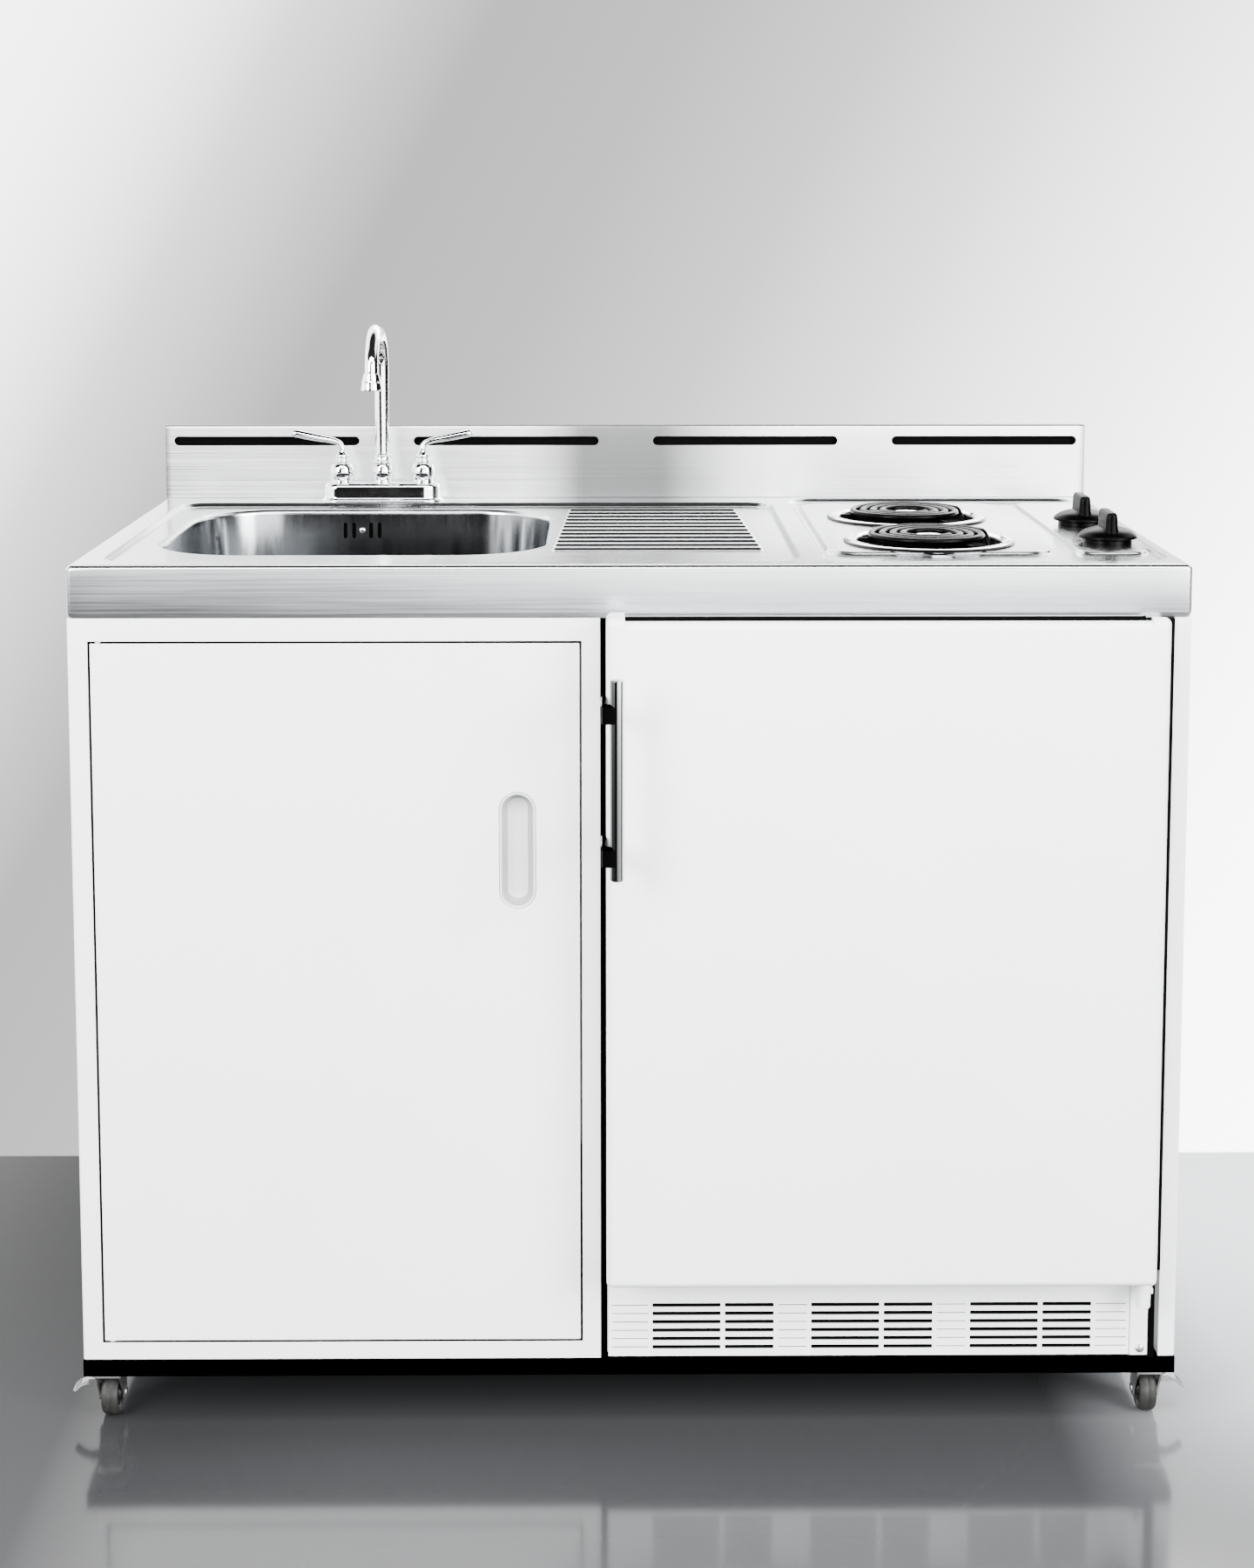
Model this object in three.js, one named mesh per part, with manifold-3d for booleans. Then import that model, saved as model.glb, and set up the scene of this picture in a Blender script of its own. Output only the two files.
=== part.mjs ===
// Kitchenette unit: a sink cabinet beside a built-in refrigerator, under one pressed steel worktop
// that holds the sink bowl, a ribbed drainer and two coil rings, on four swivel casters.
// Millimetres. +X to the right, +Y to the rear, +Z up. While the pieces are made, y = 0 is the
// plane of the worktop's front apron; the last lines move the origin under the middle of the unit.
import * as THREE from 'three';
import { mergeVertices } from 'three/addons/utils/BufferGeometryUtils.js';
import Module from 'manifold-3d';

const wasm = await Module();
wasm.setup();

// Driving dimensions: carcass
const unitWidth = 1219;
const unitDepth = 635;
const casterHeight = 68;
const platformThickness = 19;
const cabinetHeight = 836;
const panelThickness = 19;
const faceSetback = 2;
const rearSetback = 2;
const frameThickness = 19;
const frameCornerRadius = 4;
const leftStile = 22;
const rightStile = 20;
const topRail = 25;
const bottomRail = 19.5;
const backPanelThickness = 6;
const serviceWidth = 200;
const serviceBelowTop = 223;
const serviceHeight = 230;
const rearRailHeight = 63;

// Driving dimensions: sink cabinet door
const doorGap = 2.5;
const doorThickness = 19;
const pivotFromEdge = 8;
const pivotFromFace = 5;
const pivotRadius = 3;
const pivotReach = 12;
const pullWidth = 40;
const pullHeight = 130;
const pullDepth = 15;
const pullWall = 1.4;
const pullFromEdge = 68;
const pullBelowTop = 257;

// Driving dimensions: worktop
const apronDrop = 58;
const apronSheet = 3;
const apronEdgeRadius = 4;
const hemWidth = 16;
const slabThickness = 7;
const pressDepth = 5;
const pressSlope = 7;
const rimWidth = 30;
const sinkPressRearGap = 73;
const hobPressWidth = 382.5;
const hobPressRearGap = 29;
const pressSpacing = 22;
const pressRadius = 36;
const plateauRise = 4;
const plateauInset = 10;
const hobPlateauWidth = 261;
const plateauSpacing = 22;
const plateauFrontGap = 88;
const plateauRearGap = 154;
const ribCount = 12;
const ribFront = 155;
const ribRearGap = 51;
const ribFromBowl = 8;
const ribFromHob = 57;
const ribNarrowing = 1.15;
const ribWidth = 12;
const ribHeight = 3;
const backsplashHeight = 96;
const backsplashDepth = 19;
const backsplashSheet = 2;
const ventLength = 245;
const ventHeight = 11.7;
const ventPitch = 317;
const ventFromTop = 20.6;

// Driving dimensions: sink bowl and waste
const bowlFromLeft = 68.5;
const bowlFromFront = 119;
const bowlFromDivider = 64.5;
const bowlFromRear = 107;
const bowlRadius = 100;
const bowlDepth = 150;
const bowlWall = 2;
const bowlFlange = 12;
const bowlDraft = 14;
const bowlFloorRadius = 42;
const drainRadius = 45;
const strainerWall = 2.5;
const strainerDepth = 44;
const strainerFlange = 12;
const basketHoles = 6;
const drainSides = 16;
const wasteRadius = 19;
const wasteWall = 3;
const trapBend = 42;
const trapLegLength = 166;
const outletBelowTop = 298;
const slipNut = 7;
const overflowDepth = 27;
const overflowSlotWidth = 5;
const overflowSlotHeight = 20;
const overflowTube = 9;
const overflowHousingDepth = 16;

// Driving dimensions: faucet
const faucetFromBacksplash = 29;
const faucetLength = 159;
const faucetWidth = 48;
const faucetBaseHeight = 24;
const leverSpacing = 106;
const bonnetRadius = 17;
const bonnetHeight = 26;
const stemRadius = 5;
const leverReach = 66;
const spoutRadius = 9;
const spoutBend = 69;
const spoutHeight = 235;
const spoutArch = 49;
const spoutDrop = 8;
const aeratorRadius = 13.2;
const aeratorLength = 20;
const shankRadius = 10;
const shankLength = 62;
const shankNutRadius = 21;

// Driving dimensions: hob
const ringFromRight = 261.5;
const ringPitch = 214;
const ringsForward = 16.5;
const panRadius = 99;
const panTrimWidth = 15.5;
const panTrimHeight = 4;
const panDepth = 26;
const panSheet = 1.2;
const coilTurns = 3.85;
const coilInner = 25;
const coilOuter = 71.5;
const coilTube = 3.8;
const coilLift = 8;
const coilLegDrop = 19;
const coilLegSpacing = 18;
const spreaderHeight = 7;
const spreaderThickness = 2.4;
const medallionRadius = 19;
const panSides = 24;
const terminalFromRing = 100;
const terminalLength = 30;
const hobBoxFromRight = 17.5;
const hobBoxWidth = 376;
const hobBoxFrontGap = 124;
const hobBoxRearGap = 152;
const hobBoxSheet = 1.5;
const hobBoxDepth = 42;
const knobFromRight = 57.5;
const knobFrontY = 176;
const knobPitch = 158;
const knobRadius = 33.5;
const knobSkirt = 4;
const knobDome = 9;
const knobGrip = 31;
const knobGripWidth = 15;
const knobGripLength = 56;
const knobLift = 7;
const knobTravel = 3;
const shaftRadius = 3;
const switchSize = 42;

// Driving dimensions: refrigerator
const fridgeWidth = 602;
const fridgeBehind = 95;
const fridgeBelowTop = 7;
const fridgeRightGap = 13.5;
const fridgeFeet = 2;
const fridgeLeftGap = 7.5;
const fridgeWall = 35;
const plinthHeight = 99;
const doorOffset = 1;
const doorProud = 55;
const doorRearGap = 7;
const doorOverPlinth = 3.5;
const doorTopRise = 8;
const doorEdgeRadius = 9;
const doorCornerRadius = 7;
const earWidth = 20;
const earHeight = 4;
const gripDepth = 13;
const gasketSection = 15;
const gasketThickness = 6.4;
const hingeFromEdge = 10;
const hingeFromFace = 28;
const hingePin = 4;
const hingePlate = 3;
const hingeArm = 20;
const linerInset = 13;
const linerHingeInset = 45;
const linerSheet = 3;
const binDepth = 62;
const binHeight = 70;
const binPitchShare = 0.319;
const binFloorGap = 40;
const handleFromEdge = 11.7;
const handleRadius = 7.5;
const handleStandOff = 45;
const handleBelowDoorTop = 270;
const handleLength = 214;
const handleBracketHeight = 18;
const handleBracketPitch = 152.5;
const handleBracketPlate = 4.4;
const humpHeight = 105;
const humpDepth = 130;
const shelfShare = 0.512;
const crisperShelfHeight = 109;
const shelfThickness = 5;
const ledgeWidth = 8;
const ledgeFront = 110;
const freezerHeight = 150;
const freezerInset = 50;
const freezerFront = 130;
const crisperFront = 95;
const crisperHeight = 98;
const compressorRadius = 60;
const compressorHeight = 106;
const compressorFromRight = 190;

// Driving dimensions: kick grille
const louvreGroups = 3;
const louvreRows = 6;
const louvreLeftShare = 0.0843;
const louvrePitchShare = 0.3045;
const louvreWidthShare = 0.2323;
const louvrePitch = 9.7;
const louvreSlit = 4.2;
const louvreTopGap = 36;
const louvreRib = 5;
const grilleDepth = 12;

// Driving dimensions: casters
const casterInset = 21.5;
const casterFrontY = 40;
const casterFromRear = 42;
const wheelRadius = 25;
const wheelWidth = 20;
const axleRadius = 4;
const trail = 14;
const forkSheet = 2.5;
const raceRadius = 16;
const kingpinRadius = 5;
const pedalLength = 22;
const brakePin = 1.6;
const brakeEar = 9;

// Clearances
const seatGap = 0.3;
const runningGap = 0.4;

// Heights and edges that follow from the sizes above
const leftX = -unitWidth / 2;
const rightX = unitWidth / 2;
const platformTop = casterHeight + platformThickness;
const hemZ = platformTop + cabinetHeight;
const rimZ = hemZ + apronDrop;
const deckZ = rimZ - pressDepth;
const plateauZ = deckZ + plateauRise;
const slabZ = rimZ - slabThickness;
const carcassRear = unitDepth - rearSetback;
const backsplashFront = unitDepth - backsplashDepth;
const fridgeRight = rightX - panelThickness - fridgeRightGap;
const fridgeLeft = fridgeRight - fridgeWidth;
const fridgeDepth = unitDepth - fridgeBehind;
const dividerRight = fridgeLeft - fridgeLeftGap;
const fridgeBottom = platformTop + fridgeFeet;
const fridgeTop = hemZ - fridgeBelowTop;
const doorBottomZ = fridgeBottom + plinthHeight + doorOverPlinth;
const doorTopZ = hemZ + doorTopRise;
const plinthTop = fridgeBottom + plinthHeight;
const cavityFloor = plinthTop + fridgeWall;
const fridgeDoorLeft = fridgeLeft - doorOffset;
const fridgeDoorRight = fridgeRight - doorOffset;
const hingeX = fridgeDoorRight - hingeFromEdge;
const hingeY = hingeFromFace - doorProud;

const steel = new THREE.MeshStandardMaterial({ color: 0xc9cccf, roughness: 0.32, metalness: 1 });
const chrome = new THREE.MeshStandardMaterial({ color: 0xe6e8ea, roughness: 0.08, metalness: 1 });
const zinc = new THREE.MeshStandardMaterial({ color: 0xa8abad, roughness: 0.4, metalness: 0.9 });
const cabinetWhite = new THREE.MeshStandardMaterial({ color: 0xedeeee, roughness: 0.45 });
const fridgeWhite = new THREE.MeshStandardMaterial({ color: 0xf1f2f4, roughness: 0.35 });
const linerWhite = new THREE.MeshStandardMaterial({ color: 0xf4f5f6, roughness: 0.5 });
const blackEdge = new THREE.MeshStandardMaterial({ color: 0x0b0b0c, roughness: 0.5 });
const blackPlastic = new THREE.MeshStandardMaterial({ color: 0x151516, roughness: 0.35 });
const coilBlack = new THREE.MeshStandardMaterial({ color: 0x1b1b1c, roughness: 0.55 });
const gasketGrey = new THREE.MeshStandardMaterial({ color: 0xd9dadb, roughness: 0.7 });
const treadGrey = new THREE.MeshStandardMaterial({ color: 0x64645c, roughness: 0.7 });
const galvanised = new THREE.MeshStandardMaterial({ color: 0xb4b8ba, roughness: 0.5, metalness: 0.8 });
const wastePlastic = new THREE.MeshStandardMaterial({ color: 0xe9e9e6, roughness: 0.5 });
const clearPlastic = new THREE.MeshStandardMaterial({ color: 0xdfe8ec, roughness: 0.15 });

// A three.js geometry as a solid, and back. Faces that closed up on an axis are dropped.
function toSolid(geometry) {
  const bare = geometry.clone();
  for (const name of Object.keys(bare.attributes)) {
    if (name !== 'position') bare.deleteAttribute(name);
  }
  const merged = mergeVertices(bare, 1e-4);
  const faces = [];
  for (let i = 0; i < merged.index.count; i += 3) {
    const [a, b, c] = [0, 1, 2].map((k) => merged.index.getX(i + k));
    if (a !== b && b !== c && c !== a) faces.push(a, b, c);
  }
  const build = (triangles) => new wasm.Manifold(new wasm.Mesh({
    numProp: 3,
    vertProperties: new Float32Array(merged.attributes.position.array),
    triVerts: new Uint32Array(triangles),
  }));
  const made = build(faces);
  return made.volume() < 0 ? build(faces.reverse()) : made;
}

function fromSolid(solid) {
  const mesh = solid.getMesh();
  const geometry = new THREE.BufferGeometry();
  geometry.setAttribute('position', new THREE.BufferAttribute(new Float32Array(mesh.vertProperties), 3));
  geometry.setIndex(new THREE.BufferAttribute(new Uint32Array(mesh.triVerts), 1));
  return geometry;
}

const join = (...parts) => fromSolid(parts.map(toSolid).reduce((sum, part) => sum.add(part)));
const cut = (body, ...tools) => fromSolid(
  tools.map(toSolid).reduce((rest, tool) => rest.subtract(tool), toSolid(body)),
);

function block(x0, x1, y0, y1, z0, z1) {
  const box = new THREE.BoxGeometry(x1 - x0, y1 - y0, z1 - z0);
  return box.translate((x0 + x1) / 2, (y0 + y1) / 2, (z0 + z1) / 2);
}

// Round bars along each axis, from one end to the other.
function barZ(x, y, z0, z1, radius, sides = 24) {
  const bar = new THREE.CylinderGeometry(radius, radius, z1 - z0, sides);
  return bar.rotateX(Math.PI / 2).translate(x, y, (z0 + z1) / 2);
}

function barY(x, y0, y1, z, radius, sides = 24) {
  const bar = new THREE.CylinderGeometry(radius, radius, y1 - y0, sides);
  return bar.translate(x, (y0 + y1) / 2, z);
}

function barX(x0, x1, y, z, radius, sides = 24) {
  const bar = new THREE.CylinderGeometry(radius, radius, x1 - x0, sides);
  return bar.rotateZ(Math.PI / 2).translate((x0 + x1) / 2, y, z);
}

// A profile of [radius, height] pairs turned round a vertical axis.
function turned(x, y, profile, sides = 32) {
  const points = profile.map(([radius, height]) => new THREE.Vector2(radius, height));
  return new THREE.LatheGeometry(points, sides).rotateX(Math.PI / 2).translate(x, y, 0);
}

// A flat outline in [y, z] pairs, extruded along X.
function profileX(x0, x1, outline) {
  const shape = new THREE.Shape(outline.map(([y, z]) => new THREE.Vector2(y, z)));
  const body = new THREE.ExtrudeGeometry(shape, { depth: x1 - x0, bevelEnabled: false });
  body.applyMatrix4(new THREE.Matrix4().set(0, 0, 1, x0, 1, 0, 0, 0, 0, 1, 0, 0, 0, 0, 0, 1));
  return body;
}

// A skin over rings of equal count, closed at both ends.
function loft(rings) {
  const count = rings[0].length;
  const points = rings.flat();
  const faces = [];
  for (let r = 0; r < rings.length - 1; r += 1) {
    for (let i = 0; i < count; i += 1) {
      const a = r * count + i;
      const b = r * count + (i + 1) % count;
      faces.push(a, b, b + count, a, b + count, a + count);
    }
  }
  [[0, true], [rings.length - 1, false]].forEach(([r, first]) => {
    const middle = new THREE.Vector3();
    rings[r].forEach((point) => middle.add(point));
    points.push(middle.divideScalar(count));
    for (let i = 0; i < count; i += 1) {
      const a = r * count + i;
      const b = r * count + (i + 1) % count;
      faces.push(...(first ? [b, a, points.length - 1] : [a, b, points.length - 1]));
    }
  });
  const geometry = new THREE.BufferGeometry().setFromPoints(points);
  geometry.setIndex(faces);
  return geometry;
}

// A level ring with round corners; steps is the number of facets in each corner.
function roundRing(x0, x1, y0, y1, radius, z, steps = 4) {
  const centres = [[x1 - radius, y1 - radius], [x0 + radius, y1 - radius],
    [x0 + radius, y0 + radius], [x1 - radius, y0 + radius]];
  return centres.flatMap(([x, y], quarter) => Array.from({ length: steps + 1 }, (_, i) => {
    const angle = (quarter + i / steps) * Math.PI / 2;
    return new THREE.Vector3(x + radius * Math.cos(angle), y + radius * Math.sin(angle), z);
  }));
}

// The same ring standing upright, facing the front.
const uprightRing = (x0, x1, z0, z1, radius, y, steps = 4) => (
  roundRing(x0, x1, z0, z1, radius, 0, steps).map((p) => new THREE.Vector3(p.x, y, p.y))
);

// A round section carried along a line of points, with its own radius at each one.
function sweep(points, sides, radiusAt) {
  const last = points.length - 1;
  const along = (i) => points[Math.min(i + 1, last)].clone().sub(points[Math.max(i - 1, 0)]).normalize();
  const side = Math.abs(along(0).z) > 0.9 ? new THREE.Vector3(1, 0, 0) : new THREE.Vector3(0, 0, 1);
  const rings = points.map((point, i) => {
    const tangent = along(i);
    side.addScaledVector(tangent, -side.dot(tangent)).normalize();
    const across = tangent.clone().cross(side);
    return Array.from({ length: sides }, (_, k) => {
      const angle = k / sides * 2 * Math.PI;
      return point.clone()
        .addScaledVector(side, radiusAt(i / last) * Math.cos(angle))
        .addScaledVector(across, radiusAt(i / last) * Math.sin(angle));
    });
  });
  return loft(rings);
}

const unit = new THREE.Group();
function piece(name, geometry, material) {
  const mesh = new THREE.Mesh(geometry, material);
  mesh.name = name;
  unit.add(mesh);
}

// Carcass: the platform with its caster plates, panels, face frame and rear rail.
const casterX = rightX - casterInset;
const plateZ = casterHeight - 3;
const yokeZ = wheelRadius * 2 + 5;
const kingpinFloor = yokeZ - runningGap - 3.6;
const casterRearY = unitDepth - casterFromRear;
const casterSpots = [
  ['front_left', -casterX, casterFrontY],
  ['front_right', casterX, casterFrontY],
  ['rear_left', -casterX, casterRearY],
  ['rear_right', casterX, casterRearY],
];

function basePlatform() {
  const board = block(leftX, rightX, 0, carcassRear, casterHeight, platformTop);
  const mountings = casterSpots.flatMap(([, x, y]) => [
    block(x - casterInset, x + casterInset, y - 28, y + 28, plateZ, casterHeight),
    barZ(x, y, kingpinFloor, plateZ, kingpinRadius, 10),
    barZ(x, y, kingpinFloor, yokeZ - runningGap, kingpinRadius + 3, 10),
  ]);
  return join(board, ...mountings);
}

const openLeft = leftX + leftStile;
const openRight = dividerRight - rightStile;
const openBottom = platformTop + bottomRail;
const openTop = hemZ - topRail;
const frameRear = faceSetback + frameThickness;
const pivotX = openLeft + doorGap + pivotFromEdge;
const pivotY = faceSetback + pivotFromFace;

function faceFrame() {
  const r = frameCornerRadius;
  const outline = new THREE.Shape();
  outline.moveTo(leftX, frameRear);
  outline.lineTo(leftX, faceSetback + r);
  outline.absarc(leftX + r, faceSetback + r, r, Math.PI, Math.PI * 1.5);
  outline.lineTo(dividerRight, faceSetback);
  outline.lineTo(dividerRight, frameRear);
  const body = new THREE.ExtrudeGeometry(outline, { depth: cabinetHeight, bevelEnabled: false, curveSegments: 3 });
  body.translate(0, 0, platformTop);
  const opening = block(openLeft, openRight, 0, frameRear + 1, openBottom, openTop);
  return join(
    cut(body, opening),
    barZ(pivotX, pivotY, openBottom - 2, openBottom + pivotReach, pivotRadius, 16),
    barZ(pivotX, pivotY, openTop - pivotReach, openTop + 2, pivotRadius, 16),
  );
}

const bowlLeft = leftX + bowlFromLeft;
const bowlRight = dividerRight - bowlFromDivider;
const bowlFront = bowlFromFront;
const bowlRear = unitDepth - bowlFromRear;
const bowlCentreX = (bowlLeft + bowlRight) / 2;
const bowlCentreY = (bowlFront + bowlRear) / 2;
const serviceTop = hemZ - serviceBelowTop;

function sinkBayBack() {
  const left = leftX + panelThickness;
  const right = dividerRight - panelThickness;
  const panel = block(left, right, carcassRear - backPanelThickness, carcassRear, platformTop, hemZ);
  const service = block(
    bowlCentreX - serviceWidth / 2, bowlCentreX + serviceWidth / 2,
    carcassRear - backPanelThickness - 1, carcassRear + 1, serviceTop - serviceHeight, serviceTop,
  );
  return cut(panel, service);
}

piece('base_platform', basePlatform(), blackEdge);
piece('face_frame', faceFrame(), cabinetWhite);
piece('side_panel_left', block(
  leftX, leftX + panelThickness, frameRear, carcassRear, platformTop, hemZ,
), cabinetWhite);
piece('divider_panel', block(
  dividerRight - panelThickness, dividerRight, frameRear, carcassRear, platformTop, hemZ,
), cabinetWhite);
piece('side_panel_right', block(
  rightX - panelThickness, rightX, faceSetback, carcassRear, platformTop, hemZ,
), cabinetWhite);
piece('sink_bay_back', sinkBayBack(), cabinetWhite);
piece('fridge_bay_rear_rail', block(
  dividerRight, rightX - panelThickness, carcassRear - panelThickness, carcassRear, hemZ - rearRailHeight, hemZ,
), cabinetWhite);

// Sink cabinet door: an inset panel on two pivot pins, with a moulded finger pull let into it.
const pullX = openRight - doorGap - pullFromEdge;
const pullRear = faceSetback + pullDepth;
const pullCentreZ = hemZ - pullBelowTop;
const pullRing = (inset, y) => uprightRing(
  pullX - pullWidth / 2 + inset, pullX + pullWidth / 2 - inset,
  pullCentreZ - pullHeight / 2 + inset, pullCentreZ + pullHeight / 2 - inset,
  pullWidth / 2 - inset, y, 6,
);

function sinkDoor() {
  const bottom = openBottom + doorGap;
  const top = openTop - doorGap;
  const panel = block(openLeft + doorGap, openRight - doorGap, faceSetback, faceSetback + doorThickness, bottom, top);
  const pocket = loft([pullRing(0, faceSetback - 1), pullRing(0, pullRear + seatGap)]);
  const socket = pivotRadius + runningGap;
  return cut(
    panel,
    pocket,
    barZ(pivotX, pivotY, bottom - 1, openBottom + pivotReach + 1, socket, 16),
    barZ(pivotX, pivotY, openTop - pivotReach - 1, top + 1, socket, 16),
  );
}

function pullCup() {
  const shell = loft([pullRing(seatGap, faceSetback), pullRing(seatGap, pullRear)]);
  const hollow = loft([
    pullRing(pullWall, faceSetback - 1),
    pullRing(pullWall, faceSetback),
    pullRing(pullWall + 2.5, faceSetback + pullDepth * 0.55),
    pullRing(pullWall + 7, pullRear - pullWall),
  ]);
  return cut(shell, hollow);
}

piece('sink_door', sinkDoor(), cabinetWhite);
piece('pull_cup', pullCup(), cabinetWhite);

// Worktop: one pressed sheet, folded down into an apron with an inturned hem.
const bowlFloor = deckZ - bowlDepth;
const bowlRing = (grow, z, steps = 5) => roundRing(
  bowlLeft - grow, bowlRight + grow, bowlFront - grow, bowlRear + grow, bowlRadius + grow, z, steps,
);
const ringX = rightX - ringFromRight;
const knobX = rightX - knobFromRight;
const faucetX = bowlCentreX - 1;
const faucetY = backsplashFront - faucetFromBacksplash;
const ringFrontY = (unitDepth - ringPitch) / 2 - ringsForward;
const ringSpots = [['front', ringFrontY], ['rear', ringFrontY + ringPitch]];
const knobSpots = [['front', knobFrontY], ['rear', knobFrontY + knobPitch]];
const shankSpots = [['left', faucetX - leverSpacing / 2], ['right', faucetX + leverSpacing / 2]];
const panBowlRadius = panRadius - panTrimWidth;

const hobPressRight = rightX - rimWidth / 2;
const hobPressLeft = hobPressRight - hobPressWidth;
const sinkPressRight = hobPressLeft - pressSpacing;
const sinkPressRear = unitDepth - sinkPressRearGap;
const hobPlateauLeft = hobPressLeft + plateauInset;
const hobPlateauRight = hobPlateauLeft + hobPlateauWidth;
const plateauFront = ringFrontY - plateauFrontGap;
const plateauRear = ringFrontY + ringPitch + plateauRearGap;
const ribPitch = (sinkPressRear - ribRearGap - ribFront) / (ribCount - 1);

function pressing(x0, x1, y0, y1, radius) {
  return loft([
    roundRing(x0 + pressSlope, x1 - pressSlope, y0 + pressSlope, y1 - pressSlope, radius - pressSlope, deckZ),
    roundRing(x0, x1, y0, y1, radius, rimZ),
    roundRing(x0, x1, y0, y1, radius, rimZ + 1),
  ]);
}

function plateau(x0, x1, y0, y1, radius) {
  return loft([
    roundRing(x0, x1, y0, y1, radius, deckZ - 1),
    roundRing(x0, x1, y0, y1, radius, deckZ),
    roundRing(x0 + plateauRise, x1 - plateauRise, y0 + plateauRise, y1 - plateauRise, radius - plateauRise, plateauZ),
  ]);
}

function drainerRib(index) {
  const y = ribFront + index * ribPitch;
  const x0 = bowlRight + ribFromBowl + index * ribNarrowing;
  const x1 = hobPressLeft - ribFromHob - index * ribNarrowing;
  const half = ribWidth / 2;
  const crown = ribWidth / 6;
  return loft([
    roundRing(x0, x1, y - half, y + half, half - 0.5, deckZ - 1, 1),
    roundRing(x0, x1, y - half, y + half, half - 0.5, deckZ, 1),
    roundRing(x0 + half, x1 - half, y - crown, y + crown, crown - 0.5, deckZ + ribHeight, 1),
  ]);
}

function countertop() {
  const r = apronEdgeRadius;
  const edge = (inset, z) => roundRing(leftX + inset, rightX - inset, inset, unitDepth - inset, r, z, 3);
  const skin = loft([edge(0, hemZ), edge(0, rimZ - r), edge(r * 0.3, rimZ - r * 0.3), edge(r, rimZ)]);
  const hollow = block(
    leftX + apronSheet, rightX - apronSheet, apronSheet, unitDepth - apronSheet, hemZ + apronSheet, slabZ,
  );
  const mouth = block(
    leftX + hemWidth, rightX - hemWidth, hemWidth, unitDepth - hemWidth, hemZ - 1, hemZ + apronSheet + 1,
  );
  const shell = cut(
    skin,
    hollow,
    mouth,
    pressing(leftX + rimWidth, sinkPressRight, rimWidth, sinkPressRear, pressRadius),
    pressing(hobPressLeft, hobPressRight, rimWidth, unitDepth - hobPressRearGap, pressRadius),
  );
  const raised = join(
    shell,
    plateau(hobPlateauLeft, hobPlateauRight, plateauFront, plateauRear, pressRadius),
    plateau(hobPlateauRight + plateauSpacing, hobPressRight - pressSlope, plateauFront, plateauRear, pressRadius / 2),
    ...Array.from({ length: ribCount }, (_, i) => drainerRib(i)),
  );
  const grown = bowlWall + seatGap;
  return cut(
    raised,
    loft([bowlRing(grown, slabZ - 1), bowlRing(grown, rimZ + 1)]),
    ...ringSpots.map(([, y]) => barZ(ringX, y, slabZ - 1, rimZ + 1, panBowlRadius + panSheet + 3, 40)),
    ...knobSpots.map(([, y]) => barZ(knobX, y, slabZ - 1, rimZ + 1, shaftRadius + 5, 16)),
    ...shankSpots.map(([, x]) => barZ(x, faucetY, slabZ - 1, rimZ + 1, shankRadius + 2, 12)),
  );
}

function backsplash() {
  const t = backsplashSheet;
  const top = rimZ + backsplashHeight;
  const shell = cut(
    block(leftX, rightX, backsplashFront, unitDepth, rimZ, top),
    block(leftX + t, rightX - t, backsplashFront + t, unitDepth - t, rimZ - 1, top - t),
  );
  const vents = [-1.5, -0.5, 0.5, 1.5].map((step) => {
    const x = step * ventPitch;
    const z = top - ventFromTop;
    const ring = (y) => uprightRing(
      x - ventLength / 2, x + ventLength / 2, z - ventHeight / 2, z + ventHeight / 2, ventHeight / 2, y, 4,
    );
    return loft([ring(backsplashFront - 1), ring(backsplashFront + t + 1)]);
  });
  return cut(shell, ...vents);
}

piece('countertop', countertop(), steel);
piece('backsplash', backsplash(), steel);

// Sink bowl, drawn from one sheet, with a slotted overflow in its rear wall.
const overflowX = bowlCentreX - 22;
const overflowZ = deckZ - overflowDepth;
const overflowSlots = [-22, -11, 11, 22];

function bowlBody(grow, floorZ, topZ) {
  const soft = bowlFloorRadius;
  const sunk = (depth) => bowlDraft * depth / bowlDepth;
  const level = (depth, inset) => {
    const in1 = sunk(depth) + inset - grow;
    return roundRing(
      bowlLeft + in1, bowlRight - in1, bowlFront + in1, bowlRear - in1, bowlRadius - in1, deckZ - depth, 5,
    );
  };
  const bottom = deckZ - floorZ;
  const rings = [0, 30, 60, 90].map((angle) => {
    const turn = angle * Math.PI / 180;
    return level(bottom - soft * (1 - Math.sin(Math.PI / 2 - turn)), soft * (1 - Math.cos(Math.PI / 2 - turn)));
  });
  return loft([...rings, level(deckZ - topZ, 0)]);
}

function sinkBowl() {
  const outer = bowlBody(bowlWall, bowlFloor - bowlWall, deckZ);
  const flangeTop = slabZ - seatGap;
  const flange = loft([bowlRing(bowlFlange, flangeTop - bowlWall), bowlRing(bowlFlange, flangeTop)]);
  const slots = overflowSlots.map((dx) => {
    const x = overflowX + dx;
    const z0 = overflowZ - overflowSlotHeight / 2;
    return block(x - overflowSlotWidth / 2, x + overflowSlotWidth / 2, bowlRear - 30, bowlRear + 12, z0,
      z0 + overflowSlotHeight);
  });
  return cut(
    join(outer, flange),
    bowlBody(0, bowlFloor, deckZ + 1),
    barZ(bowlCentreX, bowlCentreY, bowlFloor - bowlWall - 1, bowlFloor + 1, drainRadius + seatGap, drainSides),
    ...slots,
  );
}

// Strainer: a flanged cup through the bowl floor, its nut drawn up below, and a lift-out basket.
const strainerTop = bowlFloor + seatGap;
const strainerBottom = bowlFloor - strainerDepth;
const nutTop = bowlFloor - bowlWall - seatGap;
const tailZ = strainerBottom - 26;

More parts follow.
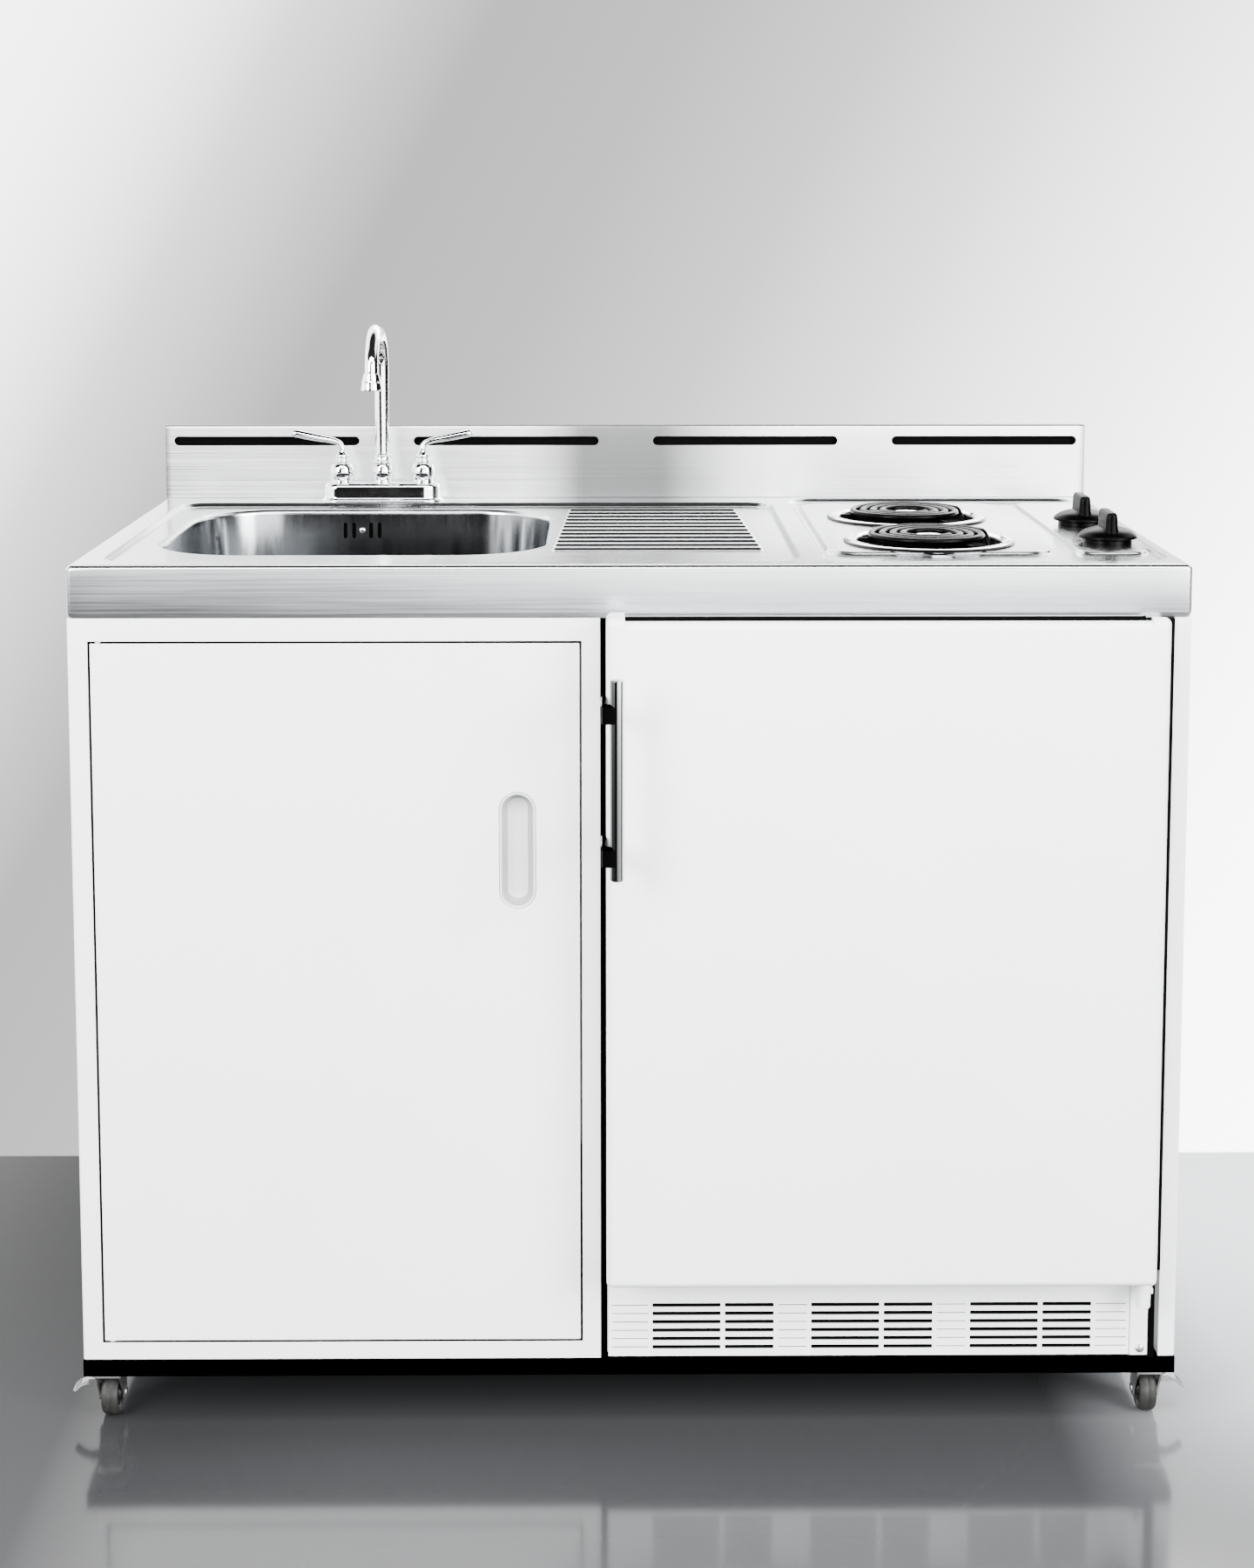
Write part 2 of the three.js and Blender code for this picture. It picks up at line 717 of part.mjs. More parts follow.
function strainerBody() {
  const r = drainRadius;
  const w = strainerWall;
  return turned(bowlCentreX, bowlCentreY, [
    [wasteRadius - 4, tailZ],
    [wasteRadius, tailZ],
    [wasteRadius, strainerBottom],
    [r - 6, strainerBottom],
    [r - w, strainerBottom + 8],
    [r - w, nutTop - 14],
    [r + 8, nutTop - 14],
    [r + 8, nutTop],
    [r, nutTop],
    [r, strainerTop],
    [r + strainerFlange, strainerTop],
    [r + strainerFlange - 3, strainerTop + 2.5],
    [r - w, strainerTop + 2],
    [r - w * 2.2, strainerTop - 6],
    [r - w * 2.2, strainerBottom + 10],
    [r - 9, strainerBottom + w],
    [wasteRadius - 4, strainerBottom + w],
    [wasteRadius - 4, tailZ],
  ], drainSides);
}

function strainerBasket() {
  const r = drainRadius - strainerWall * 2.2 - runningGap;
  const floor = strainerBottom + strainerWall + runningGap;
  const cup = turned(bowlCentreX, bowlCentreY, [
    [0, floor],
    [r - 8, floor],
    [r - 1, floor + 8],
    [r - 1, strainerTop - 7],
    [r, strainerTop - 7],
    [r, strainerTop - 5],
    [r - 2.5, strainerTop - 5],
    [r - 3, floor + 9],
    [r - 9, floor + 2],
    [4, floor + 2],
    [3, floor + 20],
    [7, floor + 22],
    [7, floor + 27],
    [0, floor + 29],
  ], drainSides);
  const holes = Array.from({ length: basketHoles }, (_, i) => {
    const angle = i / basketHoles * 2 * Math.PI;
    const x = bowlCentreX + Math.cos(angle) * r * 0.55;
    const y = bowlCentreY + Math.sin(angle) * r * 0.55;
    return barZ(x, y, floor - 1, floor + 4, 3.2, 6);
  });
  return cut(cup, ...holes);
}

// Waste: tailpiece, trap bend and outlet to the wall, as one line of pipe with its slip nuts.
const teeZ = tailZ - 40;
const trapLegBottom = tailZ - trapLegLength;
const outletZ = hemZ - outletBelowTop;
const teeReach = wasteRadius + 12;

function trapLine() {
  const line = new THREE.CurvePath();
  const at = (y, z) => new THREE.Vector3(bowlCentreX, y, z);
  const k = trapBend * 0.55;
  const y0 = bowlCentreY;
  const y1 = bowlCentreY + trapBend * 2;
  const low = trapLegBottom - trapBend;
  const elbow = trapBend * 0.8;
  line.add(new THREE.LineCurve3(at(y0, tailZ - seatGap), at(y0, trapLegBottom)));
  line.add(new THREE.CubicBezierCurve3(
    at(y0, trapLegBottom), at(y0, trapLegBottom - k), at(y0 + trapBend - k, low), at(y0 + trapBend, low),
  ));
  line.add(new THREE.CubicBezierCurve3(
    at(y0 + trapBend, low), at(y1 - trapBend + k, low), at(y1, trapLegBottom - k), at(y1, trapLegBottom),
  ));
  line.add(new THREE.LineCurve3(at(y1, trapLegBottom), at(y1, outletZ - elbow)));
  line.add(new THREE.CubicBezierCurve3(
    at(y1, outletZ - elbow), at(y1, outletZ - elbow * 0.45),
    at(y1 + elbow * 0.55, outletZ), at(y1 + elbow, outletZ),
  ));
  line.add(new THREE.LineCurve3(at(y1 + elbow, outletZ), at(carcassRear, outletZ)));
  return line;
}

function pTrap() {
  const points = trapLine().curves.flatMap((curve, i) => {
    const steps = curve.isLineCurve3 ? 1 : 4;
    return curve.getPoints(steps).slice(i === 0 ? 0 : 1);
  });
  const pipe = sweep(points, 10, () => wasteRadius);
  const y1 = bowlCentreY + trapBend * 2;
  const wall = carcassRear;
  return cut(
    join(
      pipe,
      barZ(bowlCentreX, bowlCentreY, tailZ - 24, tailZ - seatGap, wasteRadius + slipNut, 8),
      barZ(bowlCentreX, bowlCentreY, trapLegBottom + 4, trapLegBottom + 28, wasteRadius + slipNut, 8),
      barY(bowlCentreX, y1 + trapBend * 0.8 + 4, y1 + trapBend * 0.8 + 26, outletZ, wasteRadius + slipNut, 8),
      barY(bowlCentreX, bowlCentreY, bowlCentreY + teeReach, teeZ, overflowTube + 3, 8),
    ),
    barY(bowlCentreX, wall - 60, wall + 1, outletZ, wasteRadius - wasteWall, 10),
    barY(bowlCentreX, bowlCentreY + teeReach - 12, bowlCentreY + teeReach + 1, teeZ, overflowTube - 2, 8),
  );
}

function overflowDuct() {
  const front = bowlRear - 4;
  const rear = bowlRear + overflowHousingDepth;
  const half = overflowSlotHeight / 2 + 4;
  const reach = overflowSlots[3] + 8;
  const housing = cut(
    block(overflowX - reach, overflowX + reach, front, rear, overflowZ - half, overflowZ + half),
    block(overflowX - reach + 3, overflowX + reach - 3, front - 1, rear - 3, overflowZ - half + 3,
      overflowZ + half - 3),
  );
  const tubeY = bowlRear + overflowHousingDepth / 2 + 1;
  const teeY = bowlCentreY + teeReach + seatGap;
  const hose = new THREE.CatmullRomCurve3([
    new THREE.Vector3(overflowX, tubeY, overflowZ - half + 2),
    new THREE.Vector3(overflowX, tubeY, overflowZ - 70),
    new THREE.Vector3(overflowX, tubeY + 4, teeZ + 90),
    new THREE.Vector3((overflowX + bowlCentreX) / 2, tubeY - 40, teeZ + 12),
    new THREE.Vector3(bowlCentreX, teeY + 60, teeZ),
    new THREE.Vector3(bowlCentreX, teeY, teeZ),
  ], false, 'centripetal');
  return cut(
    join(housing, sweep(hose.getPoints(14), 8, () => overflowTube)),
    bowlBody(bowlWall + seatGap, bowlFloor - bowlWall, deckZ + 1),
  );
}

piece('sink_bowl', sinkBowl(), steel);
piece('strainer_body', strainerBody(), chrome);
piece('strainer_basket', strainerBasket(), steel);
piece('p_trap', pTrap(), wastePlastic);
piece('overflow_duct', overflowDuct(), wastePlastic);

// Faucet: a centreset base with two bell bonnets and a spout bell, lever handles and a gooseneck.
const baseTop = rimZ + faucetBaseHeight;
const bonnetTop = baseTop + bonnetHeight;
const spoutFoot = baseTop + 8;

function bell(x, radius) {
  return turned(x, faucetY, [
    [0, baseTop - 4],
    [radius, baseTop - 4],
    [radius, baseTop + 2],
    [radius * 0.8, baseTop + 5],
    [radius * 0.74, bonnetTop - 8],
    [radius * 0.92, bonnetTop - 4],
    [radius * 0.86, bonnetTop],
    [0, bonnetTop],
  ], 12);
}

function faucetBase() {
  const halfLength = faucetLength / 2;
  const halfWidth = faucetWidth / 2;
  const ring = (inset, z) => roundRing(
    faucetX - halfLength + inset, faucetX + halfLength - inset,
    faucetY - halfWidth + inset, faucetY + halfWidth - inset, halfWidth - inset - 0.5, z, 4,
  );
  const plate = loft([
    ring(0, rimZ), ring(0, rimZ + 3), ring(3, rimZ + 5), ring(4, baseTop - 6), ring(9, baseTop),
  ]);
  return cut(
    join(
      plate,
      ...shankSpots.map(([, x]) => bell(x, bonnetRadius)),
      bell(faucetX, bonnetRadius * 0.86),
      ...shankSpots.map(([, x]) => barZ(x, faucetY, bonnetTop - 1, bonnetTop + 12, stemRadius, 8)),
    ),
    barZ(faucetX, faucetY, spoutFoot - runningGap, bonnetTop + 1, spoutRadius + runningGap, 20),
    ...shankSpots.map(([, x]) => barZ(x, faucetY, rimZ - 1, rimZ + 8, shankRadius + seatGap, 12)),
  );
}

function faucetShank(x) {
  return join(
    barZ(x, faucetY, rimZ + 7 - shankLength, rimZ + 7, shankRadius, 12),
    barZ(x, faucetY, slabZ - seatGap - 8, slabZ - seatGap, shankNutRadius, 6),
    barZ(x, faucetY, slabZ - seatGap - 11, slabZ - seatGap - 8, shankNutRadius - 4, 12),
  );
}

function lever(x, outward) {
  const z0 = bonnetTop + runningGap;
  const hub = cut(
    turned(x, faucetY, [
      [0, z0], [13, z0], [14.5, z0 + 3], [12.5, z0 + 9], [9, z0 + 13], [8, z0 + 22], [5, z0 + 27], [0, z0 + 28],
    ], 14),
    barZ(x, faucetY, z0 - 1, bonnetTop + 13, stemRadius + runningGap, 8),
  );
  const arm = new THREE.CatmullRomCurve3([
    new THREE.Vector3(x, faucetY, z0 + 20),
    new THREE.Vector3(x + outward * 12, faucetY, z0 + 27),
    new THREE.Vector3(x + outward * 38, faucetY, z0 + 33),
    new THREE.Vector3(x + outward * (leverReach - 8), faucetY, z0 + 38),
    new THREE.Vector3(x + outward * leverReach, faucetY, z0 + 40),
  ]);
  const swell = (t) => 4.2 + 2.6 * Math.sin(Math.PI * Math.max(0, t - 0.35) / 0.72) - (t > 0.97 ? 2.2 : 0);
  return join(hub, sweep(arm.getPoints(11), 8, swell));
}

const spoutTop = rimZ + spoutHeight;

function spoutPath() {
  const bendZ = spoutTop - spoutRadius - spoutArch;
  const rise = [new THREE.Vector3(faucetX, faucetY, spoutFoot), new THREE.Vector3(faucetX, faucetY, bendZ - 2)];
  const steps = 12;
  const arch = Array.from({ length: steps + 1 }, (_, i) => {
    const angle = i / steps * Math.PI;
    return new THREE.Vector3(
      faucetX, faucetY - spoutBend + spoutBend * Math.cos(angle), bendZ + spoutArch * Math.sin(angle),
    );
  });
  const mouth = new THREE.Vector3(faucetX, faucetY - 2 * spoutBend, bendZ - spoutDrop);
  return [...rise, ...arch, mouth];
}

const outletY = faucetY - 2 * spoutBend;
const mouthZ = spoutTop - spoutRadius - spoutArch - spoutDrop;

function spout() {
  const collar = turned(faucetX, faucetY, [
    [0, bonnetTop + runningGap], [13, bonnetTop + runningGap], [13, bonnetTop + 3], [10.5, bonnetTop + 6],
    [10.5, bonnetTop + 9], [0, bonnetTop + 10],
  ], 16);
  const bore = barZ(faucetX, outletY, mouthZ - 1, mouthZ + 8, spoutRadius - 1.6, 10);
  return cut(join(sweep(spoutPath(), 12, () => spoutRadius), collar), bore);
}

function aerator() {
  const r = aeratorRadius;
  const z1 = mouthZ + 6;
  const z0 = z1 - aeratorLength;
  return turned(faucetX, outletY, [
    [spoutRadius + seatGap, z1],
    [spoutRadius + seatGap, mouthZ - seatGap],
    [3, mouthZ - seatGap],
    [3, z0 + 5],
    [r - 3, z0 + 5],
    [r - 2.5, z0],
    [r - 0.8, z0],
    [r, z0 + 2],
    [r, z1 - 6],
    [r - 2.2, z1],
    [spoutRadius + seatGap, z1],
  ], 16);
}

piece('faucet_base', faucetBase(), chrome);
shankSpots.forEach(([side, x]) => piece(`shank_${side}`, faucetShank(x), zinc));
piece('lever_left', lever(shankSpots[0][1], -1), chrome);
piece('lever_right', lever(shankSpots[1][1], 1), chrome);
piece('spout', spout(), chrome);
piece('aerator', aerator(), chrome);

// Hob: chrome drip pans dropped through the worktop, coil rings over them, switches and knobs.
const coilZ = plateauZ + coilLift;
const legZ = plateauZ - coilLegDrop;
const panFloor = plateauZ - panDepth;
const terminalX = ringX + terminalFromRing;
const hobBoxFloor = slabZ - hobBoxDepth;

function dripPan(y) {
  const r = panRadius;
  const b = panBowlRadius;
  const t = panSheet;
  const pan = turned(ringX, y, [
    [r, plateauZ],
    [r, plateauZ + t],
    [r - 3, plateauZ + panTrimHeight],
    [b + 3, plateauZ + panTrimHeight],
    [b, plateauZ + panTrimHeight - 2],
    [b, plateauZ - 8],
    [b - 10, panFloor + 3],
    [b - 20, panFloor],
    [16, panFloor],
    [16, panFloor - t],
    [b - 20, panFloor - t],
    [b - 9.4, panFloor + 2],
    [b + t, plateauZ - 8.4],
    [b + t, plateauZ],
    [r, plateauZ],
  ], panSides);
  const half = coilLegSpacing / 2 + coilTube + 3;
  return cut(pan, block(ringX + b - 22, ringX + b + 4, y - half, y + half, legZ - coilTube - 2, legZ + coilTube + 5));
}

// The ring's centre line: in along one leg, up, round the spiral, and down to the other leg.
function coilLine() {
  const half = coilLegSpacing / 2;
  const tip = terminalFromRing + 12;
  const first = -30 * Math.PI / 180;
  const stepsPerTurn = 18;
  const steps = Math.round(coilTurns * stepsPerTurn);
  const spiral = Array.from({ length: steps + 1 }, (_, i) => {
    const radius = coilInner + (coilOuter - coilInner) * i / steps;
    const angle = first - i / steps * coilTurns * 2 * Math.PI;
    return new THREE.Vector3(radius * Math.cos(angle), radius * Math.sin(angle), coilZ);
  });
  const bend = (from, mid1, mid2, to) => new THREE.CubicBezierCurve3(from, mid1, mid2, to).getPoints(6);
  const innerFoot = new THREE.Vector3(coilInner + 22, -half, legZ);
  const enter = spiral[0].clone().sub(spiral[1]).setLength(9).add(spiral[0]);
  const leave = spiral[steps].clone().sub(spiral[steps - 1]).setLength(12).add(spiral[steps]);
  const outerFoot = new THREE.Vector3(coilOuter + 8.5, half, legZ);
  return [
    new THREE.Vector3(tip, -half, legZ),
    ...bend(innerFoot, new THREE.Vector3(coilInner + 8, -half, legZ), enter, spiral[0]),
    ...spiral.slice(1),
    ...bend(spiral[steps], leave, new THREE.Vector3(coilOuter, half, legZ), outerFoot).slice(1),
    new THREE.Vector3(tip, half, legZ),
  ];
}

// The narrowest gap between stretches of the tube that are not next to each other along it.
function leastGap(points, radius) {
  const lengths = [0];
  points.slice(1).forEach((point, i) => lengths.push(lengths[i] + point.distanceTo(points[i])));
  let least = Infinity;
  points.forEach((a, i) => points.forEach((b, j) => {
    if (lengths[j] - lengths[i] > 8 * radius) least = Math.min(least, a.distanceTo(b) - 2 * radius);
  }));
  return least;
}

function coilRing(y) {
  const line = coilLine();
  console.log(`coil ring at y ${y}: least gap to itself ${leastGap(line, coilTube).toFixed(2)} mm`);
  const tube = sweep(line, 5, () => coilTube);
  const seatZ = coilZ - coilTube + 0.6;
  const reach = panBowlRadius * Math.cos(Math.PI / panSides) - seatGap;
  const arms = [60, 180, 300].map((angle) => {
    const arm = block(0, reach, -spreaderThickness / 2, spreaderThickness / 2, seatZ - spreaderHeight, seatZ);
    return arm.rotateZ(angle * Math.PI / 180);
  });
  const medallion = turned(0, 0, [
    [0, seatZ - spreaderHeight], [medallionRadius - 4, seatZ - spreaderHeight], [medallionRadius, seatZ + 1],
    [medallionRadius - 3, seatZ + 3], [0, seatZ + 2],
  ], 12);
  return join(tube, ...arms, medallion).translate(ringX, y, 0);
}

const hobBoxRight = rightX - hobBoxFromRight;
const hobBoxLeft = hobBoxRight - hobBoxWidth;
const hobBoxFront = ringFrontY - hobBoxFrontGap;
const hobBoxRear = ringFrontY + ringPitch + hobBoxRearGap;

function hobBox() {
  const tray = cut(
    block(hobBoxLeft, hobBoxRight, hobBoxFront, hobBoxRear, hobBoxFloor, slabZ),
    block(hobBoxLeft + hobBoxSheet, hobBoxRight - hobBoxSheet, hobBoxFront + hobBoxSheet,
      hobBoxRear - hobBoxSheet, hobBoxFloor + hobBoxSheet, slabZ + 1),
  );
  const half = coilLegSpacing / 2;
  const blocks = ringSpots.map(([, y]) => cut(
    block(terminalX, terminalX + terminalLength, y - half - 10, y + half + 10, hobBoxFloor, slabZ - seatGap),
    ...[-half, half].map((dy) => barX(
      terminalX - 1, terminalX + 16, y + dy, legZ, coilTube + seatGap, 12,
    )),
  ));
  return join(tray, ...blocks);
}

const switchFloor = hobBoxFloor + 6;
const switchTop = slabZ - seatGap;
const shaftTop = plateauZ + knobLift + 18;

function ringSwitch(y) {
  const half = switchSize / 2;
  return cut(
    join(
      block(knobX - half, knobX + half, y - half, y + half, switchFloor, switchTop),
      barZ(knobX, y, switchTop - 1, slabZ + 4, shaftRadius + 3, 10),
      ...[-1, 1].map((side) => block(
        knobX + side * half * 0.5 - 4, knobX + side * half * 0.5 + 4, y - 3, y + 3, hobBoxFloor + hobBoxSheet,
        switchFloor + 1,
      )),
    ),
    barZ(knobX, y, switchFloor + 8, slabZ + 5, shaftRadius + runningGap, 10),
  );
}

function knob(y) {
  const z0 = plateauZ + knobLift;
  const dome = z0 + knobSkirt + knobDome;
  const half = knobGripWidth / 2;
  const long = knobGripLength / 2;
  const body = turned(knobX, y, [
    [0, z0 + 3], [knobRadius - 3, z0 + 3], [knobRadius - 2, z0], [knobRadius, z0], [knobRadius, z0 + 2.5],
    [knobRadius - 3, z0 + knobSkirt + 2], [knobRadius * 0.66, dome - 3], [knobRadius * 0.36, dome], [0, dome],
  ], 18);
  const gripRing = (inset, z) => roundRing(
    knobX - half + inset, knobX + half - inset, y - long + inset * 2, y + long - inset * 2, half - inset - 0.2, z, 3,
  );
  const grip = loft([gripRing(0, z0 + 3), gripRing(0, z0 + knobSkirt + 5), gripRing(1, z0 + knobGrip - 6),
    gripRing(2, z0 + knobGrip - 1.5), gripRing(3.5, z0 + knobGrip)]);
  const hub = barZ(knobX, y, z0, z0 + 6, shaftRadius + 4, 12);
  return cut(
    join(body, grip, hub),
    barZ(knobX, y, z0 - 1, shaftTop + knobTravel + 1, shaftRadius + runningGap, 10),
  );
}

ringSpots.forEach(([spot, y]) => {
  piece(`drip_pan_${spot}`, dripPan(y), chrome);
  piece(`coil_${spot}`, coilRing(y), coilBlack);
});
piece('hob_box', hobBox(), galvanised);
knobSpots.forEach(([spot, y]) => {
  piece(`switch_${spot}`, ringSwitch(y), blackPlastic);
  piece(`switch_shaft_${spot}`, barZ(knobX, y, switchFloor + 8 + runningGap, shaftTop, shaftRadius, 10), zinc);
  piece(`knob_${spot}`, knob(y), blackPlastic);
});

// Refrigerator cabinet: an insulated shell over a ventilated plinth, stepped over the compressor.
const cavityLeft = fridgeLeft + fridgeWall;
const cavityRight = fridgeRight - fridgeWall;
const cavityTop = fridgeTop - fridgeWall;
const cavityRear = fridgeDepth - fridgeWall;
const humpFront = cavityRear - humpDepth;
const humpTop = cavityFloor + humpHeight;
const grilleRear = grilleDepth - 2;
const sheetEdge = 6;
const crisperShelfZ = cavityFloor + crisperShelfHeight;
const shelfZ = cavityFloor + (cavityTop - cavityFloor) * shelfShare;

function fridgeCabinet() {
  const feet = [fridgeLeft + 40, fridgeRight - 40].flatMap((x) => [60, fridgeDepth - 60].map(
    (y) => barZ(x, y, platformTop, fridgeBottom + 1, 16, 12),
  ));
  const shell = cut(
    block(fridgeLeft, fridgeRight, 0, fridgeDepth, fridgeBottom, fridgeTop),
    block(cavityLeft, cavityRight, -1, humpFront, cavityFloor, cavityTop),
    block(cavityLeft, cavityRight, humpFront - 1, cavityRear, humpTop, cavityTop),
    block(fridgeLeft - 1, fridgeRight + 1, -1, grilleRear + seatGap, fridgeBottom - 1, plinthTop),
    block(fridgeLeft + sheetEdge, fridgeRight - sheetEdge, grilleRear, fridgeDepth - 120, fridgeBottom + 4,
      plinthTop - 8),
    block(fridgeLeft + sheetEdge, fridgeRight - sheetEdge, humpFront + fridgeWall, fridgeDepth + 1,
      fridgeBottom + 4, humpTop - fridgeWall),
  );
  const ledges = [shelfZ, crisperShelfZ].flatMap((z) => [
    block(cavityLeft - 1, cavityLeft + ledgeWidth, ledgeFront, cavityRear + 1, z - 7, z),
    block(cavityRight - ledgeWidth, cavityRight + 1, ledgeFront, cavityRear + 1, z - 7, z),
  ]);
  return join(shell, ...feet, ...ledges);
}

function freezerBox() {
  const left = cavityLeft + freezerInset;
  const right = cavityRight - freezerInset;
  const top = cavityTop - seatGap;
  return cut(
    block(left, right, freezerFront, cavityRear - 20, top - freezerHeight, top),
    block(left + 3, right - 3, freezerFront - 1, cavityRear - 23, top - freezerHeight + 3, top - 3),
  );
}

function freezerFlap() {
  const left = cavityLeft + freezerInset;
  const right = cavityRight - freezerInset;
  const top = cavityTop - seatGap;
  const y1 = freezerFront - seatGap;
  return join(
    block(left, right, y1 - 8, y1, top - freezerHeight, top - 2),
    block((left + right) / 2 - 40, (left + right) / 2 + 40, y1 - 16, y1 - 7, top - 22, top - 14),
  );
}

function wireShelf() {
  const z0 = shelfZ + seatGap;
  const z1 = z0 + shelfThickness;
  const x0 = cavityLeft + seatGap;
  const x1 = cavityRight - seatGap;
  const y0 = ledgeFront + 2;
  const y1 = cavityRear - seatGap;
  const barCount = 8;
  const rim = cut(
    block(x0, x1, y0, y1, z0, z1),
    block(x0 + 6, x1 - 6, y0 + 6, y1 - 6, z0 - 1, z1 + 1),
  );
  const bars = Array.from({ length: barCount }, (_, i) => {
    const x = x0 + (x1 - x0) * (i + 1) / (barCount + 1);
    return block(x - 1.6, x + 1.6, y0 + 3, y1 - 3, z0 + 1.5, z1 - 0.5);
  });
  const rail = block(x0 + 3, x1 - 3, (y0 + y1) / 2 - 2.5, (y0 + y1) / 2 + 2.5, z0 + 0.5, z0 + 2.5);
  return join(rim, ...bars, rail);
}

function crisperDrawer() {
  const x0 = cavityLeft + ledgeWidth + 6;
  const x1 = cavityRight - ledgeWidth - 6;
  const y0 = crisperFront;
  const y1 = humpFront - 6;
  const z0 = cavityFloor + seatGap;
  const z1 = z0 + crisperHeight;
  const draft = 8;
  const shell = loft([
    roundRing(x0 + draft, x1 - draft, y0 + draft, y1 - draft, 14, z0), roundRing(x0, x1, y0, y1, 16, z1),
  ]);
  const hollow = loft([
    roundRing(x0 + draft + 3, x1 - draft - 3, y0 + draft + 3, y1 - draft - 3, 12, z0 + 3),
    roundRing(x0 + 3, x1 - 3, y0 + 3, y1 - 3, 14, z1 + 0.5),
  ]);
  return cut(shell, hollow);
}

function compressor() {
  const x = fridgeRight - compressorFromRight;
  const y = fridgeDepth - compressorRadius - sheetEdge;
  const z0 = fridgeBottom + 4 + seatGap;
  const r = compressorRadius;
  const h = compressorHeight;
  const can = turned(x, y, [
    [0, z0 + h * 0.11], [r * 0.7, z0 + h * 0.13], [r, z0 + h * 0.28], [r, z0 + h * 0.62], [r * 0.94, z0 + h * 0.8],
    [r * 0.6, z0 + h * 0.96], [0, z0 + h],
  ], 16);
  const base = block(x - r - 18, x + r + 18, y - 40, y + 40, z0, z0 + 4);
  const posts = [-1, 1].map((side) => barZ(x + side * r * 0.5, y, z0 + 2, z0 + 30, 9, 12));
  return join(can, base, ...posts);
}

piece('fridge_cabinet', fridgeCabinet(), fridgeWhite);
piece('freezer_box', freezerBox(), galvanised);
piece('freezer_flap', freezerFlap(), linerWhite);
piece('wire_shelf', wireShelf(), linerWhite);
piece('crisper_shelf', block(
  cavityLeft + seatGap, cavityRight - seatGap, ledgeFront + 2, cavityRear - seatGap, crisperShelfZ + seatGap,
  crisperShelfZ + seatGap + shelfThickness,
), clearPlastic);
piece('crisper_drawer', crisperDrawer(), clearPlastic);
piece('compressor', compressor(), blackPlastic);

// Refrigerator door: a formed steel shell with a grip groove along its top, its gasket, its liner
// with three bins, and the two hinges it turns on.
const doorRear = -doorRearGap;
const upperPlateZ = fridgeTop;
const notchFloor = upperPlateZ - runningGap;
const armHalf = hingeArm / 2;

function fridgeDoor() {
  const ring = (inset, y) => uprightRing(
    fridgeDoorLeft + inset, fridgeDoorRight - inset, doorBottomZ + inset, doorTopZ - inset,
    doorCornerRadius, y, 3,
  );
  const e = doorEdgeRadius;
  const body = loft([
    ring(0, doorRear), ring(0, e - doorProud), ring(e * 0.13, e * 0.5 - doorProud),
    ring(e * 0.5, e * 0.13 - doorProud), ring(e, -doorProud),
  ]);
  const lipZ = doorTopZ - earHeight;
  const groove = profileX(fridgeDoorLeft + earWidth, fridgeDoorRight - earWidth, [
    [-doorProud - 1, lipZ], [-doorProud - 1, doorTopZ + 1], [doorRear + 1, doorTopZ + 1], [doorRear + 1, lipZ],
    [doorRear - 7, lipZ], [doorRear - 11, lipZ - gripDepth * 0.7], [doorRear - 17, lipZ - gripDepth],
    [doorRear - 24, lipZ - gripDepth], [doorRear - 30, lipZ - gripDepth * 0.7], [doorRear - 34, lipZ],
  ]);
  const notch = block(
    hingeX - armHalf - 2, fridgeDoorRight + 1, hingeY - armHalf - 5, doorRear + 1, notchFloor, doorTopZ + 1,
  );
  const socket = hingePin + runningGap;
  return cut(
    body, groove, notch,
    barZ(hingeX, hingeY, doorBottomZ - 1, doorBottomZ + 17, socket, 16),
    barZ(hingeX, hingeY, notchFloor - 16, notchFloor + 1, socket, 16),
  );
}

function doorGasket() {
  const x0 = fridgeDoorLeft + 9;
  const x1 = hingeX - 6;
  const z0 = doorBottomZ + 6;
  const z1 = cavityTop + fridgeWall / 2 + 2;
  const y0 = doorRear + seatGap;
  const y1 = y0 + gasketThickness;
  const s = gasketSection;
  const band = (grow, y) => uprightRing(x0 - grow, x1 + grow, z0 - grow, z1 + grow, s + 3 + grow, y, 2);
  return cut(
    loft([band(0, y0), band(0, y0 + 2), band(-1.5, y0 + 2.5), band(0, y0 + 3.2), band(-1, y1)]),
    loft([band(-s, y0 - 1), band(-s, y1 + 1)]),
  );
}

const linerLeft = cavityLeft + linerInset;
const linerRight = hingeX - linerHingeInset;
const binPitch = (cavityTop - cavityFloor) * binPitchShare;
const binZs = [0, 1, 2].map((i) => cavityFloor + binFloorGap + i * binPitch);

function doorLiner() {
  const y0 = doorRear + seatGap;
  const z0 = cavityFloor + 12;
  const z1 = cavityTop - 12;
  const t = linerSheet;
  const panel = loft([
    uprightRing(linerLeft, linerRight, z0, z1, 12, y0, 3),
    uprightRing(linerLeft, linerRight, z0, z1, 12, y0 + 6, 3),
    uprightRing(linerLeft + 4, linerRight - 4, z0 + 4, z1 - 4, 8, y0 + 12, 3),
  ]);
  const bins = binZs.map((z) => cut(
    block(linerLeft + 6, linerRight - 6, y0 + 10, y0 + binDepth, z, z + binHeight),
    block(linerLeft + 6 + t, linerRight - 6 - t, y0 + 12, y0 + binDepth - t, z + t, z + binHeight + 1),
    block(linerLeft + 30, linerRight - 30, y0 + binDepth - t - 1, y0 + binDepth + 1, z + 26, z + binHeight - 22),
  ));
  return join(panel, ...bins);
}

